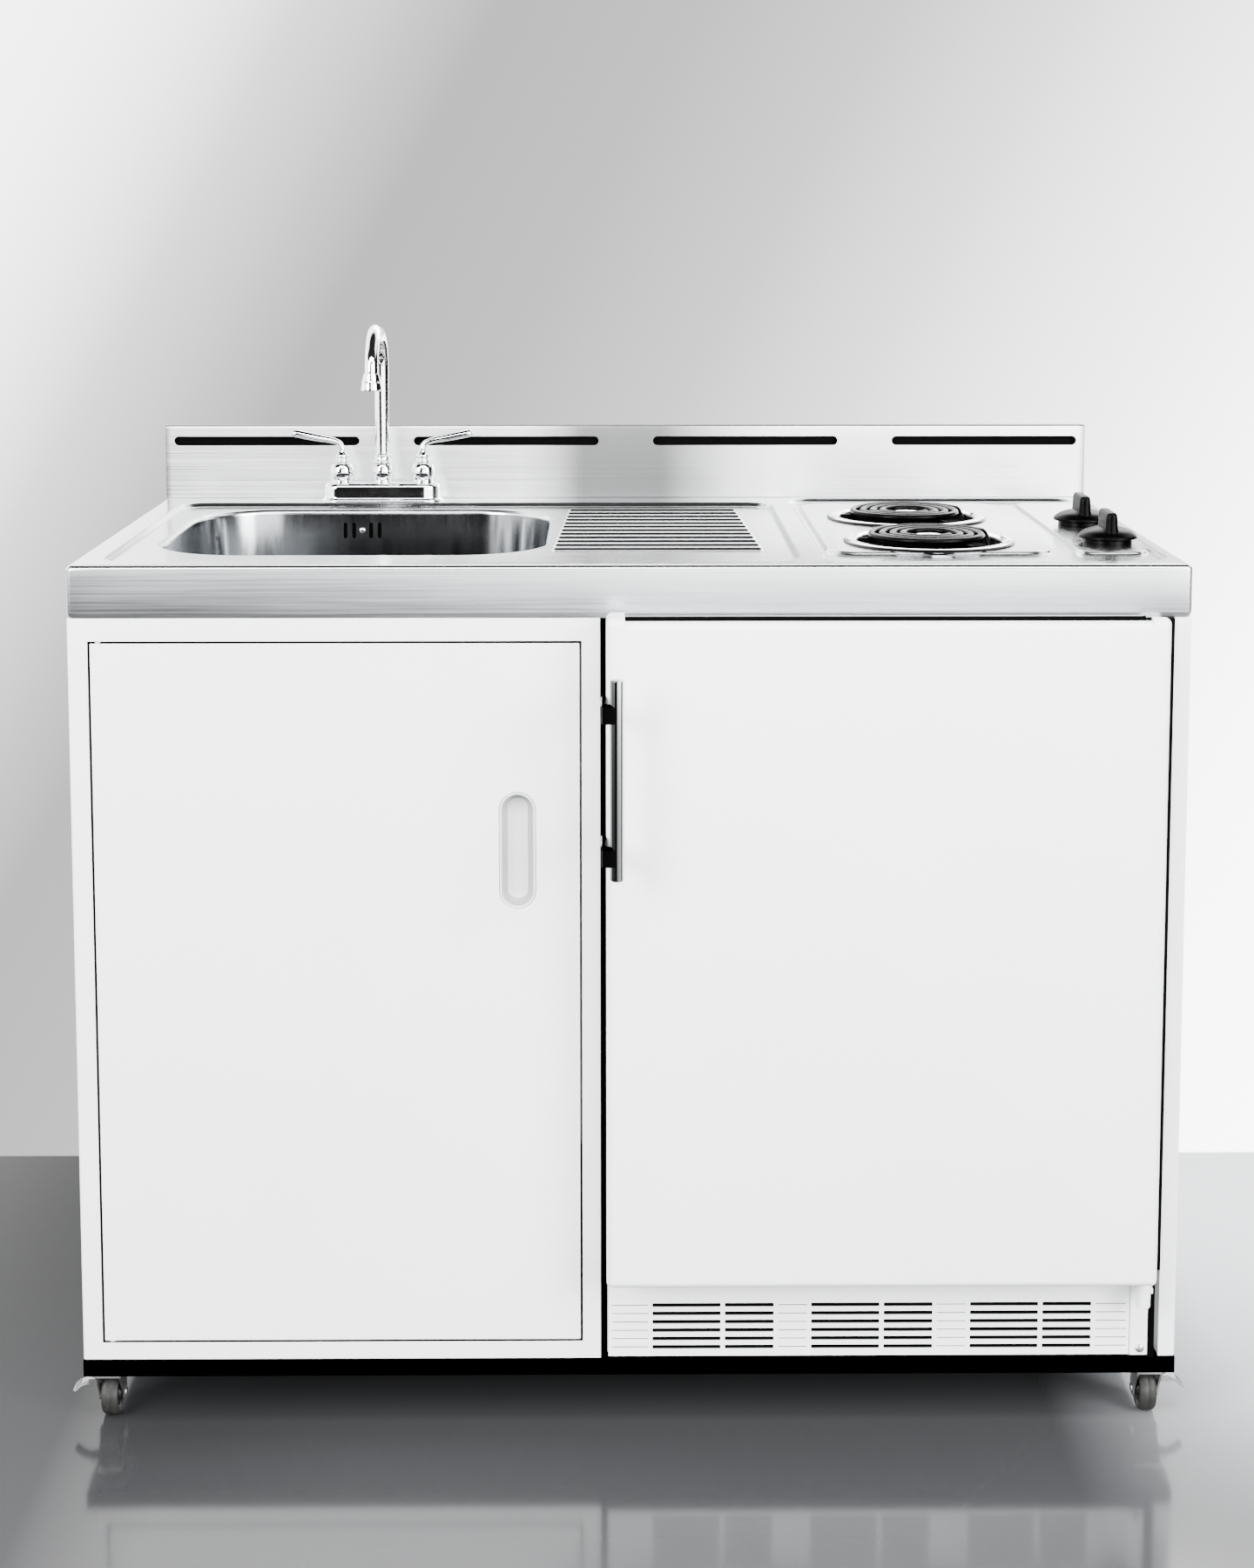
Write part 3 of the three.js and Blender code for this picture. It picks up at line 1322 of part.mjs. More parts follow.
function lowerHinge() {
  const plateLeft = fridgeRight - 19.5;
  const kneeZ = doorBottomZ - 13;
  return join(
    block(plateLeft, fridgeRight, -4, -seatGap, fridgeBottom + 2, kneeZ),
    block(plateLeft, fridgeRight, -4, grilleRear, fridgeBottom + 2, plinthTop - 2),
    block(hingeX - 8, fridgeRight, hingeY, -seatGap, kneeZ - 6, kneeZ),
    barZ(hingeX, hingeY, kneeZ - 20, doorBottomZ - runningGap, 8, 20),
    barZ(hingeX, hingeY, kneeZ, doorBottomZ + 14, hingePin, 16),
    barY(fridgeRight - 8.4, -6, -3, fridgeBottom + 10, 5, 16),
  );
}

function upperHinge() {
  const z1 = upperPlateZ + hingePlate;
  return join(
    block(hingeX - armHalf, hingeX + armHalf, hingeY, 70, upperPlateZ, z1),
    block(hingeX - 45, hingeX + armHalf, 14, 70, upperPlateZ, z1),
    barZ(hingeX, hingeY, upperPlateZ, z1, armHalf, 24),
    barZ(hingeX, hingeY, notchFloor - 13, upperPlateZ + 1, hingePin, 16),
  );
}

const handleX = fridgeDoorLeft + handleFromEdge;
const handleBottom = doorTopZ - handleBelowDoorTop;

function handleBracket(z) {
  const x1 = fridgeDoorLeft - seatGap;
  const x0 = x1 - handleBracketPlate;
  const z0 = z - handleBracketHeight / 2;
  const z1 = z + handleBracketHeight / 2;
  const barAxisY = -doorProud - handleStandOff;
  return cut(
    join(
      block(x0, x1, -doorProud - 4, -16, z0, z1),
      block(x0, handleX, barAxisY - handleRadius, -doorProud - 3, z0, z1),
    ),
    block(x0 + handleBracketPlate, handleX + 1, barAxisY + handleRadius + 3, -doorProud - 4, z0 - 1, z1 + 1),
    barZ(handleX, barAxisY, z0 - 1, z1 + 1, handleRadius + seatGap, 24),
    block(handleX, handleX + 1, barAxisY - 20, barAxisY + 20, z0 - 1, z1 + 1),
  );
}

function handleBar() {
  const r = handleRadius;
  const z0 = handleBottom;
  const z1 = handleBottom + handleLength;
  return turned(handleX, -doorProud - handleStandOff, [
    [0, z0], [r - 1, z0], [r, z0 + 1], [r, z1 - 1], [r - 1, z1], [0, z1],
  ], 16);
}

const handleMid = handleBottom + handleLength / 2;
piece('fridge_door', fridgeDoor(), fridgeWhite);
piece('door_gasket', doorGasket(), gasketGrey);
piece('door_liner', doorLiner(), linerWhite);
piece('hinge_lower', lowerHinge(), fridgeWhite);
piece('hinge_upper', upperHinge(), zinc);
piece('handle_bar', handleBar(), chrome);
piece('handle_bracket_upper', handleBracket(handleMid + handleBracketPitch / 2 - 6), blackPlastic);
piece('handle_bracket_lower', handleBracket(handleMid - handleBracketPitch / 2 - 6), blackPlastic);

// Kick grille: three banks of sloped louvres, each split by a rib, between plain ribbed fields.
const grilleLeft = fridgeLeft + 1;
const grilleRight = fridgeRight - 19.5 - seatGap;
const grilleTop = plinthTop - 2;
const grilleWidth = grilleRight - grilleLeft;

function louvreSlot(x0, x1, z) {
  const y0 = grilleRear - grilleDepth;
  return profileX(x0, x1, [
    [y0 - 1, z], [grilleRear + 1, z + louvreSlit], [grilleRear + 1, z + 2 * louvreSlit], [y0 - 1, z + louvreSlit],
  ]);
}

function kickGrille() {
  const y0 = grilleRear - grilleDepth;
  const shell = cut(
    block(grilleLeft, grilleRight, y0, grilleRear, fridgeBottom + 2, grilleTop),
    block(grilleLeft + 5, grilleRight - 5, y0 + 4, grilleRear + 1, fridgeBottom + 7, grilleTop - 6),
  );
  const blades = [];
  const slots = [];
  for (let group = 0; group < louvreGroups; group += 1) {
    const x0 = grilleLeft + (louvreLeftShare + group * louvrePitchShare) * grilleWidth;
    const x1 = x0 + louvreWidthShare * grilleWidth;
    const mid = x0 + (x1 - x0) * 0.58;
    blades.push(block(x0 - 3, x1 + 3, y0, grilleRear - 2, fridgeBottom + 3, grilleTop - 6));
    for (let row = 0; row < louvreRows; row += 1) {
      const z = grilleTop - louvreTopGap - row * louvrePitch - louvreSlit / 2;
      slots.push(louvreSlot(x0, mid - louvreRib / 2, z), louvreSlot(mid + louvreRib / 2, x1, z));
    }
  }
  return cut(join(shell, ...blades), ...slots);
}

piece('kick_grille', kickGrille(), fridgeWhite);

// Casters: a wheel on its axle in a swivelling fork, with a foot brake on the front pair.
const forkHalf = wheelWidth / 2 + 2;
const pedalZ = wheelRadius + 22;

function casterFork(x, y, outward, braked) {
  const axleY = y + trail;
  const leg = (x0) => profileX(x0, x0 + forkSheet, [
    [y - 14, yokeZ + 4], [y - 14, yokeZ], [axleY - 8, wheelRadius + 1], [axleY - 3, wheelRadius - 8],
    [axleY + 3, wheelRadius - 8], [axleY + 8, wheelRadius + 1], [y + 17, yokeZ], [y + 17, yokeZ + 4],
  ]);
  const parts = [
    leg(x - forkHalf - forkSheet),
    leg(x + forkHalf),
    block(x - forkHalf - forkSheet, x + forkHalf + forkSheet, y - 14, y + 17, yokeZ, yokeZ + 4),
    barZ(x, y, yokeZ + 1, plateZ - runningGap, raceRadius, 16),
    barX(x - forkHalf - forkSheet - 1.5, x + forkHalf + forkSheet + 1.5, axleY, wheelRadius, axleRadius, 8),
  ];
  if (braked) {
    const face = x + outward * (forkHalf + forkSheet);
    const pinX = face + outward * 5;
    const ear = (yEar) => block(
      Math.min(face - outward, pinX + outward * 3), Math.max(face - outward, pinX + outward * 3),
      yEar - 1, yEar + 1, pedalZ - 4, pedalZ + 4,
    );
    parts.push(ear(y - brakeEar), ear(y + brakeEar), barY(pinX, y - brakeEar, y + brakeEar, pedalZ, brakePin, 10));
  }
  return cut(join(...parts), barZ(x, y, yokeZ - 1, plateZ, kingpinRadius + runningGap, 10));
}

function casterWheel(x, y) {
  const half = wheelWidth / 2;
  const r = wheelRadius;
  const bore = axleRadius + runningGap;
  const wheel = turned(0, 0, [
    [bore, -half - 1], [9, -half - 1], [r - 6, -half + 1.5], [r - 3, -half], [r, -half + 3],
    [r, half - 3], [r - 3, half], [r - 6, half - 1.5], [9, half + 1], [bore, half + 1], [bore, -half - 1],
  ], 16);
  return wheel.rotateY(Math.PI / 2).translate(x, y + trail, r);
}

function brakePedal(x, y, outward) {
  const face = x + outward * (forkHalf + forkSheet);
  const pinX = face + outward * 5;
  const tab = profileX(-6.5, 6.5, [
    [0, pedalZ + 1], [pedalLength * 0.6, pedalZ - 4], [pedalLength, pedalZ - 12], [pedalLength - 3, pedalZ - 13],
    [pedalLength * 0.55, pedalZ - 6.5], [0, pedalZ - 3],
  ]);
  tab.rotateZ(-Math.PI / 2 * outward).translate(pinX, y, 0);
  const hub = barY(pinX, y - 7.4, y + 7.4, pedalZ, 3.6, 12);
  return cut(join(hub, tab), barY(pinX, y - brakeEar, y + brakeEar, pedalZ, brakePin + runningGap, 10));
}

casterSpots.forEach(([spot, x, y]) => {
  const braked = spot.startsWith('front');
  piece(`caster_fork_${spot}`, casterFork(x, y, Math.sign(x), braked), zinc);
  piece(`caster_wheel_${spot}`, casterWheel(x, y), treadGrey);
  if (braked) piece(`caster_brake_${spot}`, brakePedal(x, y, Math.sign(x)), blackPlastic);
});

// The origin: on the floor, under the middle of the space the whole unit fills.
unit.position.y = (doorProud + handleStandOff + handleRadius - unitDepth) / 2;

export default unit;
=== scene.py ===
import bpy
import bmesh
import math
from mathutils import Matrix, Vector
from mathutils.geometry import delaunay_2d_cdt


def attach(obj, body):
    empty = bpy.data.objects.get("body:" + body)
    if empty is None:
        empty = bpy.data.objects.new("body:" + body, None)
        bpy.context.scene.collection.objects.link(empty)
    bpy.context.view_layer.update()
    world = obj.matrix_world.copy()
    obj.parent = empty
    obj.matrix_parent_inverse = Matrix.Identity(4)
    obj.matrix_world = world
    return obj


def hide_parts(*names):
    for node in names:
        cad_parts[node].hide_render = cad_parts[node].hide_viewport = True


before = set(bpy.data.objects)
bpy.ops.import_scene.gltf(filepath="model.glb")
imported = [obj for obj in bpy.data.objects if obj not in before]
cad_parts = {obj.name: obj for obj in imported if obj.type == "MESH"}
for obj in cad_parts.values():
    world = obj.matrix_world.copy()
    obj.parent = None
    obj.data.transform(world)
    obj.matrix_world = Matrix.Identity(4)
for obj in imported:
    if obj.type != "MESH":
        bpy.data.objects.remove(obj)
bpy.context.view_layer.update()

# Shared places in millimetres. y is measured to the rear from the front of the worktop's apron.
apronPlane = -0.26375     # that plane in the row frame, metres
unit = {
    "left": -609.5, "right": 609.5, "rear": 635, "carcassRear": 633, "divider": -32.5, "panel": 19,
    "face": 2, "platform": 87, "platformUnder": 68, "hem": 923, "slab": 974, "deck": 976, "plateau": 980,
    "rim": 981}

camera = {"place": (-0.0243, -2.8774, 1.3688), "down": 5.85, "right": 0.46, "lens": 56.18, "shiftY": -0.21}


def makeCamera(setup):
    lens = bpy.data.cameras.new("camera")
    lens.lens = setup["lens"]
    lens.sensor_width = 36
    lens.shift_y = setup["shiftY"]
    lens.clip_end = 60
    holder = bpy.data.objects.new("camera", lens)
    holder.location = setup["place"]
    holder.rotation_euler = (math.radians(90 - setup["down"]), 0, math.radians(-setup["right"]))
    bpy.context.scene.collection.objects.link(holder)
    bpy.context.scene.camera = holder


makeCamera(camera)

lamps = {
    "overhead": {"place": (0.1, -1.9, 3.1), "aim": (0, 0, 0.8), "size": (3.4, 0.7), "power": 180},
    "frontLeft": {"place": (-3.0, -3.4, 2.6), "aim": (0, 0, 0.5), "size": (1.8, 2.4), "power": 530},
    "frontRight": {"place": (3.3, -3.2, 2.4), "aim": (0, 0, 0.5), "size": (1.8, 2.4), "power": 490},
    "rearRim": {"place": (0.6, 3.4, 3.0), "aim": (0, 0.3, 0.8), "size": (3.2, 1.4), "power": 130}}


def makeLamps(setups):
    for name, setup in setups.items():
        light = bpy.data.lights.new(name, "AREA")
        light.shape = "RECTANGLE"
        light.size, light.size_y = setup["size"]
        light.energy = setup["power"]
        holder = bpy.data.objects.new(name, light)
        holder.location = setup["place"]
        aim = Vector(setup["aim"]) - Vector(setup["place"])
        holder.rotation_euler = aim.to_track_quat("-Z", "Y").to_euler()
        bpy.context.scene.collection.objects.link(holder)


makeLamps(lamps)


def linear(colour):
    return tuple(c / 12.92 if c <= 0.04045 else ((c + 0.055) / 1.055) ** 2.4 for c in colour) + (1,)


def addNode(material, kind, **values):
    node = material.node_tree.nodes.new(kind)
    for key, value in values.items():
        if key in node.inputs:
            node.inputs[key].default_value = value
        else:
            setattr(node, key, value)
    return node


def shaderOf(material):
    return material.node_tree.nodes["Principled BSDF"]


def newFinish(name, colour, rough, metal=0.0, coat=0.0, ior=1.5):
    material = bpy.data.materials.new(name)
    material.use_nodes = True
    shader = shaderOf(material).inputs
    shader["Base Color"].default_value = linear(colour)
    shader["Roughness"].default_value = rough
    shader["Metallic"].default_value = metal
    shader["Coat Weight"].default_value = coat
    shader["IOR"].default_value = ior
    return material


def pattern(material, scale, stretch=(1, 1, 1), detail=3.0, kind="ShaderNodeTexNoise", output=0):
    links = material.node_tree.links
    place = addNode(material, "ShaderNodeTexCoord")
    spread = addNode(material, "ShaderNodeMapping")
    spread.inputs["Scale"].default_value = stretch
    texture = addNode(material, kind, Scale=scale)
    if "Detail" in texture.inputs:
        texture.inputs["Detail"].default_value = detail
    links.new(place.outputs["Object"], spread.inputs["Vector"])
    links.new(spread.outputs["Vector"], texture.inputs["Vector"])
    return texture.outputs[output]


def fillRamp(node, stops):
    elements = node.color_ramp.elements
    elements.remove(elements[1])
    elements[0].position, elements[0].color = stops[0]
    for at, colour in stops[1:]:
        elements.new(at).color = colour


def tint(material, source, stops):
    ramp = addNode(material, "ShaderNodeValToRGB")
    fillRamp(ramp, [(at, linear(colour)) for at, colour in stops])
    material.node_tree.links.new(source, ramp.inputs["Fac"])
    material.node_tree.links.new(ramp.outputs["Color"], shaderOf(material).inputs["Base Color"])


def varyRough(material, source, low, high, fromLow=0.3, fromHigh=0.7):
    spread = addNode(material, "ShaderNodeMapRange")
    for socket, value in zip(spread.inputs[1:5], (fromLow, fromHigh, low, high)):
        socket.default_value = value
    material.node_tree.links.new(source, spread.inputs["Value"])
    material.node_tree.links.new(spread.outputs["Result"], shaderOf(material).inputs["Roughness"])


def emboss(material, source, strength, depth):
    links = material.node_tree.links
    bump = addNode(material, "ShaderNodeBump", Strength=strength, Distance=depth / 1000)
    before = shaderOf(material).inputs["Normal"]
    if before.is_linked:
        links.new(before.links[0].from_socket, bump.inputs["Normal"])
    links.new(source, bump.inputs["Height"])
    links.new(bump.outputs["Normal"], before)


def shade(colour, share):
    return tuple(min(1, c * share) for c in colour)


# Paints reflection and shade bands: multiplies the colour by greys that change along the unit, over the
# heights given in metres.
def paintedShadeBands(material, stops, heights=(-1.0, -0.5, 3.0, 3.5), axis="X"):
    links = material.node_tree.links
    colour = shaderOf(material).inputs["Base Color"]
    split = addNode(material, "ShaderNodeSeparateXYZ")
    links.new(addNode(material, "ShaderNodeTexCoord").outputs["Object"], split.inputs["Vector"])
    across = addNode(material, "ShaderNodeMapRange")
    across.inputs["From Min"].default_value = -1
    links.new(split.outputs[axis], across.inputs["Value"])
    ramp = addNode(material, "ShaderNodeValToRGB")
    fillRamp(ramp, [((at + 1) / 2, (tone, tone, tone, 1)) for at, tone in stops])
    links.new(across.outputs["Result"], ramp.inputs["Fac"])
    share = None
    for low, high in (heights[:2], heights[2:]):
        step = addNode(material, "ShaderNodeMapRange")
        step.inputs["From Min"].default_value = low
        step.inputs["From Max"].default_value = high
        links.new(split.outputs["Z"], step.inputs["Value"])
        if share is None:
            share = step.outputs["Result"]
            continue
        rest = addNode(material, "ShaderNodeMath", operation="SUBTRACT")
        links.new(share, rest.inputs[0])
        links.new(step.outputs["Result"], rest.inputs[1])
        share = rest.outputs["Value"]
    mix = addNode(material, "ShaderNodeMix", data_type="RGBA", blend_type="MULTIPLY")
    links.new(share, mix.inputs[0])
    links.new(colour.links[0].from_socket, mix.inputs[6])
    links.new(ramp.outputs["Color"], mix.inputs[7])
    links.new(mix.outputs[2], colour)
    return material


def brushedSteel(name, colour, rough, stretch, groove=0.02):
    material = newFinish(name, colour, rough, metal=1)
    fine = pattern(material, 1, stretch, detail=4)
    cloud = pattern(material, 5, (1, 1, 1), detail=3)
    tint(material, cloud, [(0.25, shade(colour, 0.965)), (0.75, shade(colour, 1.03))])
    varyRough(material, fine, rough * 0.8, rough * 1.25)
    emboss(material, fine, 0.25, groove)
    return material


def brightPlate(name, colour, rough):
    material = newFinish(name, colour, rough, metal=1)
    haze = pattern(material, 35, detail=4)
    tint(material, haze, [(0.3, shade(colour, 0.97)), (0.7, colour)])
    varyRough(material, haze, rough * 0.7, rough * 1.5)
    emboss(material, pattern(material, 14, detail=1), 0.05, 0.05)
    return material


def moulded(name, colour, rough, peel=900, depth=0.03, spread=0.02, coat=0.0, metal=0.0, gloss=0.5):
    material = newFinish(name, colour, rough, metal=metal, coat=coat)
    shaderOf(material).inputs["Specular IOR Level"].default_value = gloss
    cloud = pattern(material, 7, detail=4)
    skin = pattern(material, peel, detail=2)
    tint(material, cloud, [(0.25, shade(colour, 1 - spread)), (0.75, shade(colour, 1 + spread))])
    varyRough(material, skin, rough * 0.9, rough * 1.12)
    emboss(material, skin, 0.35, depth)
    return material


def spangledZinc(name):
    base = (0.70, 0.72, 0.73)
    material = newFinish(name, base, 0.42, metal=0.9)
    flakes = pattern(material, 70, kind="ShaderNodeTexVoronoi", output="Color")
    tint(material, flakes, [(0.2, shade(base, 0.86)), (0.8, shade(base, 1.08))])
    varyRough(material, flakes, 0.34, 0.5, 0, 1)
    emboss(material, pattern(material, 240, detail=2), 0.2, 0.03)
    return material


def clearPlastic(name):
    material = newFinish(name, (0.88, 0.92, 0.94), 0.12, ior=1.49)
    shaderOf(material).inputs["Transmission Weight"].default_value = 0.85
    cloud = pattern(material, 60, detail=3)
    tint(material, cloud, [(0.3, (0.85, 0.9, 0.92)), (0.7, (0.93, 0.96, 0.97))])
    varyRough(material, cloud, 0.1, 0.2)
    emboss(material, cloud, 0.2, 0.1)
    return material


def ringOxide(name):
    material = newFinish(name, (0.02, 0.02, 0.02), 0.26)
    shaderOf(material).inputs["Specular IOR Level"].default_value = 0.04
    scale = pattern(material, 160, detail=6)
    burn = pattern(material, 18, detail=3)
    tint(material, burn, [
        (0.3, (0.0015, 0.0015, 0.0015)), (0.62, (0.003, 0.003, 0.003)), (0.85, (0.008, 0.0075, 0.007))])
    varyRough(material, scale, 0.22, 0.36)
    emboss(material, scale, 0.3, 0.05)
    return material


# The tops of the rings, worn bright by pans.
def ringSheen(name):
    material = ringOxide(name)
    shaderOf(material).inputs["Specular IOR Level"].default_value = 0.09
    return material


def boardEdge(name):
    material = newFinish(name, (0.0006, 0.0006, 0.0006), 0.5)
    shaderOf(material).inputs["Specular IOR Level"].default_value = 0.0
    streak = pattern(material, 1, (6, 160, 320), detail=5)
    tint(material, streak, [(0.3, (0.0003, 0.0003, 0.0003)), (0.7, (0.0012, 0.0012, 0.0012))])
    varyRough(material, streak, 0.34, 0.5)
    emboss(material, streak, 0.25, 0.08)
    return material


# Grey rubber with its colour darkened further as painted shade, for the wheels under the unit.
def treadGreyAndShade(name):
    base = (0.085, 0.084, 0.072)
    material = newFinish(name, base, 0.6)
    scuff = pattern(material, 120, detail=5)
    tint(material, scuff, [(0.3, shade(base, 0.8)), (0.55, base), (0.8, shade(base, 1.12))])
    varyRough(material, scuff, 0.5, 0.75)
    emboss(material, scuff, 0.4, 0.12)
    return material


finishes = {
    "worktop": brushedSteel("worktopSteel", (0.8, 0.805, 0.81), 0.18, (5, 420, 420), 0.004),
    # Painted shade on the apron: darker to the left, brightest in the middle.
    "apron": paintedShadeBands(brushedSteel("apronSteelPaintedShade", (0.82, 0.83, 0.84), 0.38, (5, 420, 420)), [
        (-0.61, 0.42), (-0.585, 0.55), (-0.4, 0.68), (-0.2, 0.88), (0.0, 1.0), (0.5, 0.9), (0.6, 0.8)]),
    # Painted shade: a dark copy of the steel for the backsplash's top fold.
    "foldPaintedShade": brushedSteel("foldPaintedShade", (0.2, 0.2, 0.205), 0.3, (4, 700, 900)),
    # Painted shade for the pull cup: darker copies of the door's white, the walls darker still.
    "cupWhitePaintedShade": moulded("cupWhitePaintedShade", (0.82, 0.823, 0.823), 0.42, peel=700, depth=0.02, spread=0.01),
    "cupShade": moulded("cupShade", (0.6, 0.603, 0.606), 0.42, peel=700, depth=0.02, spread=0.01),
    "slitShade": moulded("slitShade", (0.3, 0.302, 0.306), 0.5, peel=420, depth=0.03, spread=0.02),
    # Painted shade: near black for the drip pans' wells and outer flanks.
    "panPaintedShade": moulded("panPaintedShade", (0.004, 0.004, 0.004), 0.2, peel=90, depth=0.1, spread=0.3, gloss=0.12),
    # Painted reflection: a dark band across the middle of the backsplash, and dark ends.
    "splash": paintedShadeBands(brushedSteel("splashSteelPaintedReflection", (0.9, 0.905, 0.91), 0.34, (4, 700, 900)), [
        (-0.609, 0.2), (-0.6065, 1.0), (-0.14, 1.0), (-0.06, 0.2), (0.05, 0.18), (0.2, 1.0),
        (0.6065, 1.0), (0.609, 0.2)]),
    # Painted shade: the bowl's steel is darker across its middle.
    "bowl": paintedShadeBands(brushedSteel("bowlSteelPaintedShade", (0.55, 0.56, 0.57), 0.15, (160, 160, 5), 0.012), [
        (-0.5, 1.0), (-0.42, 0.55), (-0.36, 0.2), (-0.22, 0.16), (-0.16, 0.4), (-0.12, 1.0)]),
    "chrome": brightPlate("chromePlate", (0.93, 0.935, 0.94), 0.05),
    # Painted reflections: dark and bright stripes along the satin handle bar.
    "satinBarPaintedReflection": paintedShadeBands(brushedSteel("satinBarPaintedReflection", (0.9, 0.905, 0.91), 0.1, (1500, 1500, 10), 0.006), [
        (-0.0212, 0.12), (-0.0207, 0.8), (-0.0166, 0.85), (-0.0161, 0.06), (-0.0147, 0.06),
        (-0.0142, 1.0), (-0.0102, 1.0), (-0.0097, 0.2), (-0.0084, 0.15), (-0.0079, 0.9)]),
    "zinc": brightPlate("zincPlate", (0.74, 0.745, 0.74), 0.3),
    "cabinet": moulded("cabinetWhite", (0.930, 0.932, 0.932), 0.42, peel=700, depth=0.02, spread=0.008),
    "fridge": moulded(
        "doorEnamel", (0.945, 0.95, 0.958), 0.34, peel=420, depth=0.03, spread=0.006, coat=0.15),
    "liner": moulded("linerWhite", (0.95, 0.955, 0.96), 0.38, peel=300, depth=0.03, spread=0.01),
    "seal": moulded("sealGrey", (0.80, 0.80, 0.81), 0.6, peel=600, depth=0.05, spread=0.03),
    "black": moulded(
        "blackMoulding", (0.004, 0.004, 0.0042), 0.3, peel=520, depth=0.03, spread=0.15, gloss=0.03),
    "kettle": moulded(
        "kettleBlack", (0.04, 0.04, 0.042), 0.3, peel=160, depth=0.08, spread=0.2, gloss=0.25),
    "pipe": moulded("pipeWhite", (0.9, 0.9, 0.88), 0.4, peel=260, depth=0.04, spread=0.02),
    # Painted shadow: the near-black finish for the dark strips and sheets put where there is only shade.
    "inside": moulded(
        "slotShadow", (0.003, 0.003, 0.0031), 0.8, peel=200, depth=0.03, spread=0.2, gloss=0.03),
    "hub": moulded("hubDark", (0.07, 0.07, 0.07), 0.45, peel=300, depth=0.05, spread=0.15, gloss=0.2),
    "brakeTab": moulded("brakeTab", (0.45, 0.455, 0.46), 0.4, peel=400, depth=0.04, spread=0.06),
    "clear": clearPlastic("clearTray"), "oxide": ringOxide("ringOxide"), "sheen": ringSheen("ringSheen"),
    # The black board's finish also paints shade on the handle brackets' tops.
    "boardBlackAndShade": boardEdge("boardEdge"), "tread": treadGreyAndShade("treadGreyAndShade"),
    "galvanised": spangledZinc("galvanised"),
    "copper": brightPlate("copperPipe", (0.72, 0.46, 0.34), 0.25)}
print("finishes made:", len(finishes))


# Shapes are (points, faces) in the millimetres above, until a piece is made of them.
def merged(*shapes):
    points, faces = [], []
    for shapePoints, shapeFaces in shapes:
        base = len(points)
        points.extend(shapePoints)
        faces.extend(tuple(base + i for i in face) for face in shapeFaces)
    return points, faces


def loft(rings, closed=False, capped=True):
    count = len(rings[0])
    points = [point for ring in rings for point in ring]
    faces = []
    spans = len(rings) if closed else len(rings) - 1
    for r in range(spans):
        low, high = r * count, (r + 1) % len(rings) * count
        for i in range(count):
            j = (i + 1) % count
            faces.append((low + i, low + j, high + j, high + i))
    if capped and not closed:
        faces.append(tuple(reversed(range(count))))
        faces.append(tuple(range(len(points) - count, len(points))))
    return points, faces


# Corners of a line, each (a, b, radius), with the corner turned into a short curve.
def softened(corners, steps=4, closed=False):
    line = []
    count = len(corners)
    for i, (a, b, radius) in enumerate(corners):
        here = Vector((a, b))
        if radius <= 0 or (not closed and i in (0, count - 1)):
            line.append((a, b))
            continue
        before = Vector(corners[i - 1][:2]) - here
        after = Vector(corners[(i + 1) % count][:2]) - here
        start = here + before.normalized() * min(radius, before.length * 0.49)
        end = here + after.normalized() * min(radius, after.length * 0.49)
        for k in range(steps + 1):
            t = k / steps
            spot = start * (1 - t) ** 2 + here * 2 * t * (1 - t) + end * t ** 2
            line.append((spot.x, spot.y))
    return line


# Where a flat pair and a height go when the height runs along an axis.
placeAlong = {
    "x": lambda a, b, c: (c, a, b), "y": lambda a, b, c: (a, c, b), "z": lambda a, b, c: (a, b, c)}
leastRadius = 0.0005


# A profile of (radius, height) turned about a line that stands along one axis at (a, b).
def turned(a, b, profile, sides=64, closed=False, axis="z"):
    rings = []
    for radius, height in profile:
        loop = circleLoop(a, b, max(radius, leastRadius), sides)
        rings.append([placeAlong[axis](u, v, height) for u, v in loop])
    return loft(rings, closed=closed)


def lathe(a, b, corners, steps, sides, closed=False, axis="z"):
    return turned(a, b, softened(corners, steps, closed), sides, closed, axis)


def rod(a, b, radius, low, high, sides, axis="z"):
    return turned(a, b, [(0, low), (radius, low), (radius, high), (0, high)], sides, axis=axis)


# A flat closed outline of (a, b) pairs carried along one axis.
def extruded(outline, low, high, axis="x"):
    return loft([[placeAlong[axis](a, b, at) for a, b in outline] for at in (low, high)])


def box(x0, x1, y0, y1, z0, z1):
    return extruded([(x0, y0), (x1, y0), (x1, y1), (x0, y1)], z0, z1, "z")


# A round-cornered place (a0, a1, b0, b1, radius) carried along an axis.
def slab(place, low, high, axis, cornerSteps):
    return extruded(roundLoop(place, 0, cornerSteps), low, high, axis)


# A round-cornered loop: grow moves it outwards, and every loop of one place has the same count.
def roundLoop(place, grow=0.0, cornerSteps=6, sideSteps=(1, 1)):
    x0, x1, y0, y1, radius = place
    radius = max(radius + grow, 0.01)
    x0, x1, y0, y1 = x0 - grow, x1 + grow, y0 - grow, y1 + grow
    centres = [
        (x1 - radius, y1 - radius), (x0 + radius, y1 - radius), (x0 + radius, y0 + radius),
        (x1 - radius, y0 + radius)]
    loop = []
    for quarter, (cx, cy) in enumerate(centres):
        for k in range(cornerSteps + 1):
            angle = (quarter + k / cornerSteps) * math.pi / 2
            loop.append((cx + radius * math.cos(angle), cy + radius * math.sin(angle)))
        nx, ny = centres[(quarter + 1) % 4]
        turn = (quarter + 1) * math.pi / 2
        start, end = loop[-1], (nx + radius * math.cos(turn), ny + radius * math.sin(turn))
        steps = sideSteps[quarter % 2]
        loop.extend((
            start[0] + (end[0] - start[0]) * k / steps, start[1] + (end[1] - start[1]) * k / steps)
            for k in range(1, steps))
    return loop


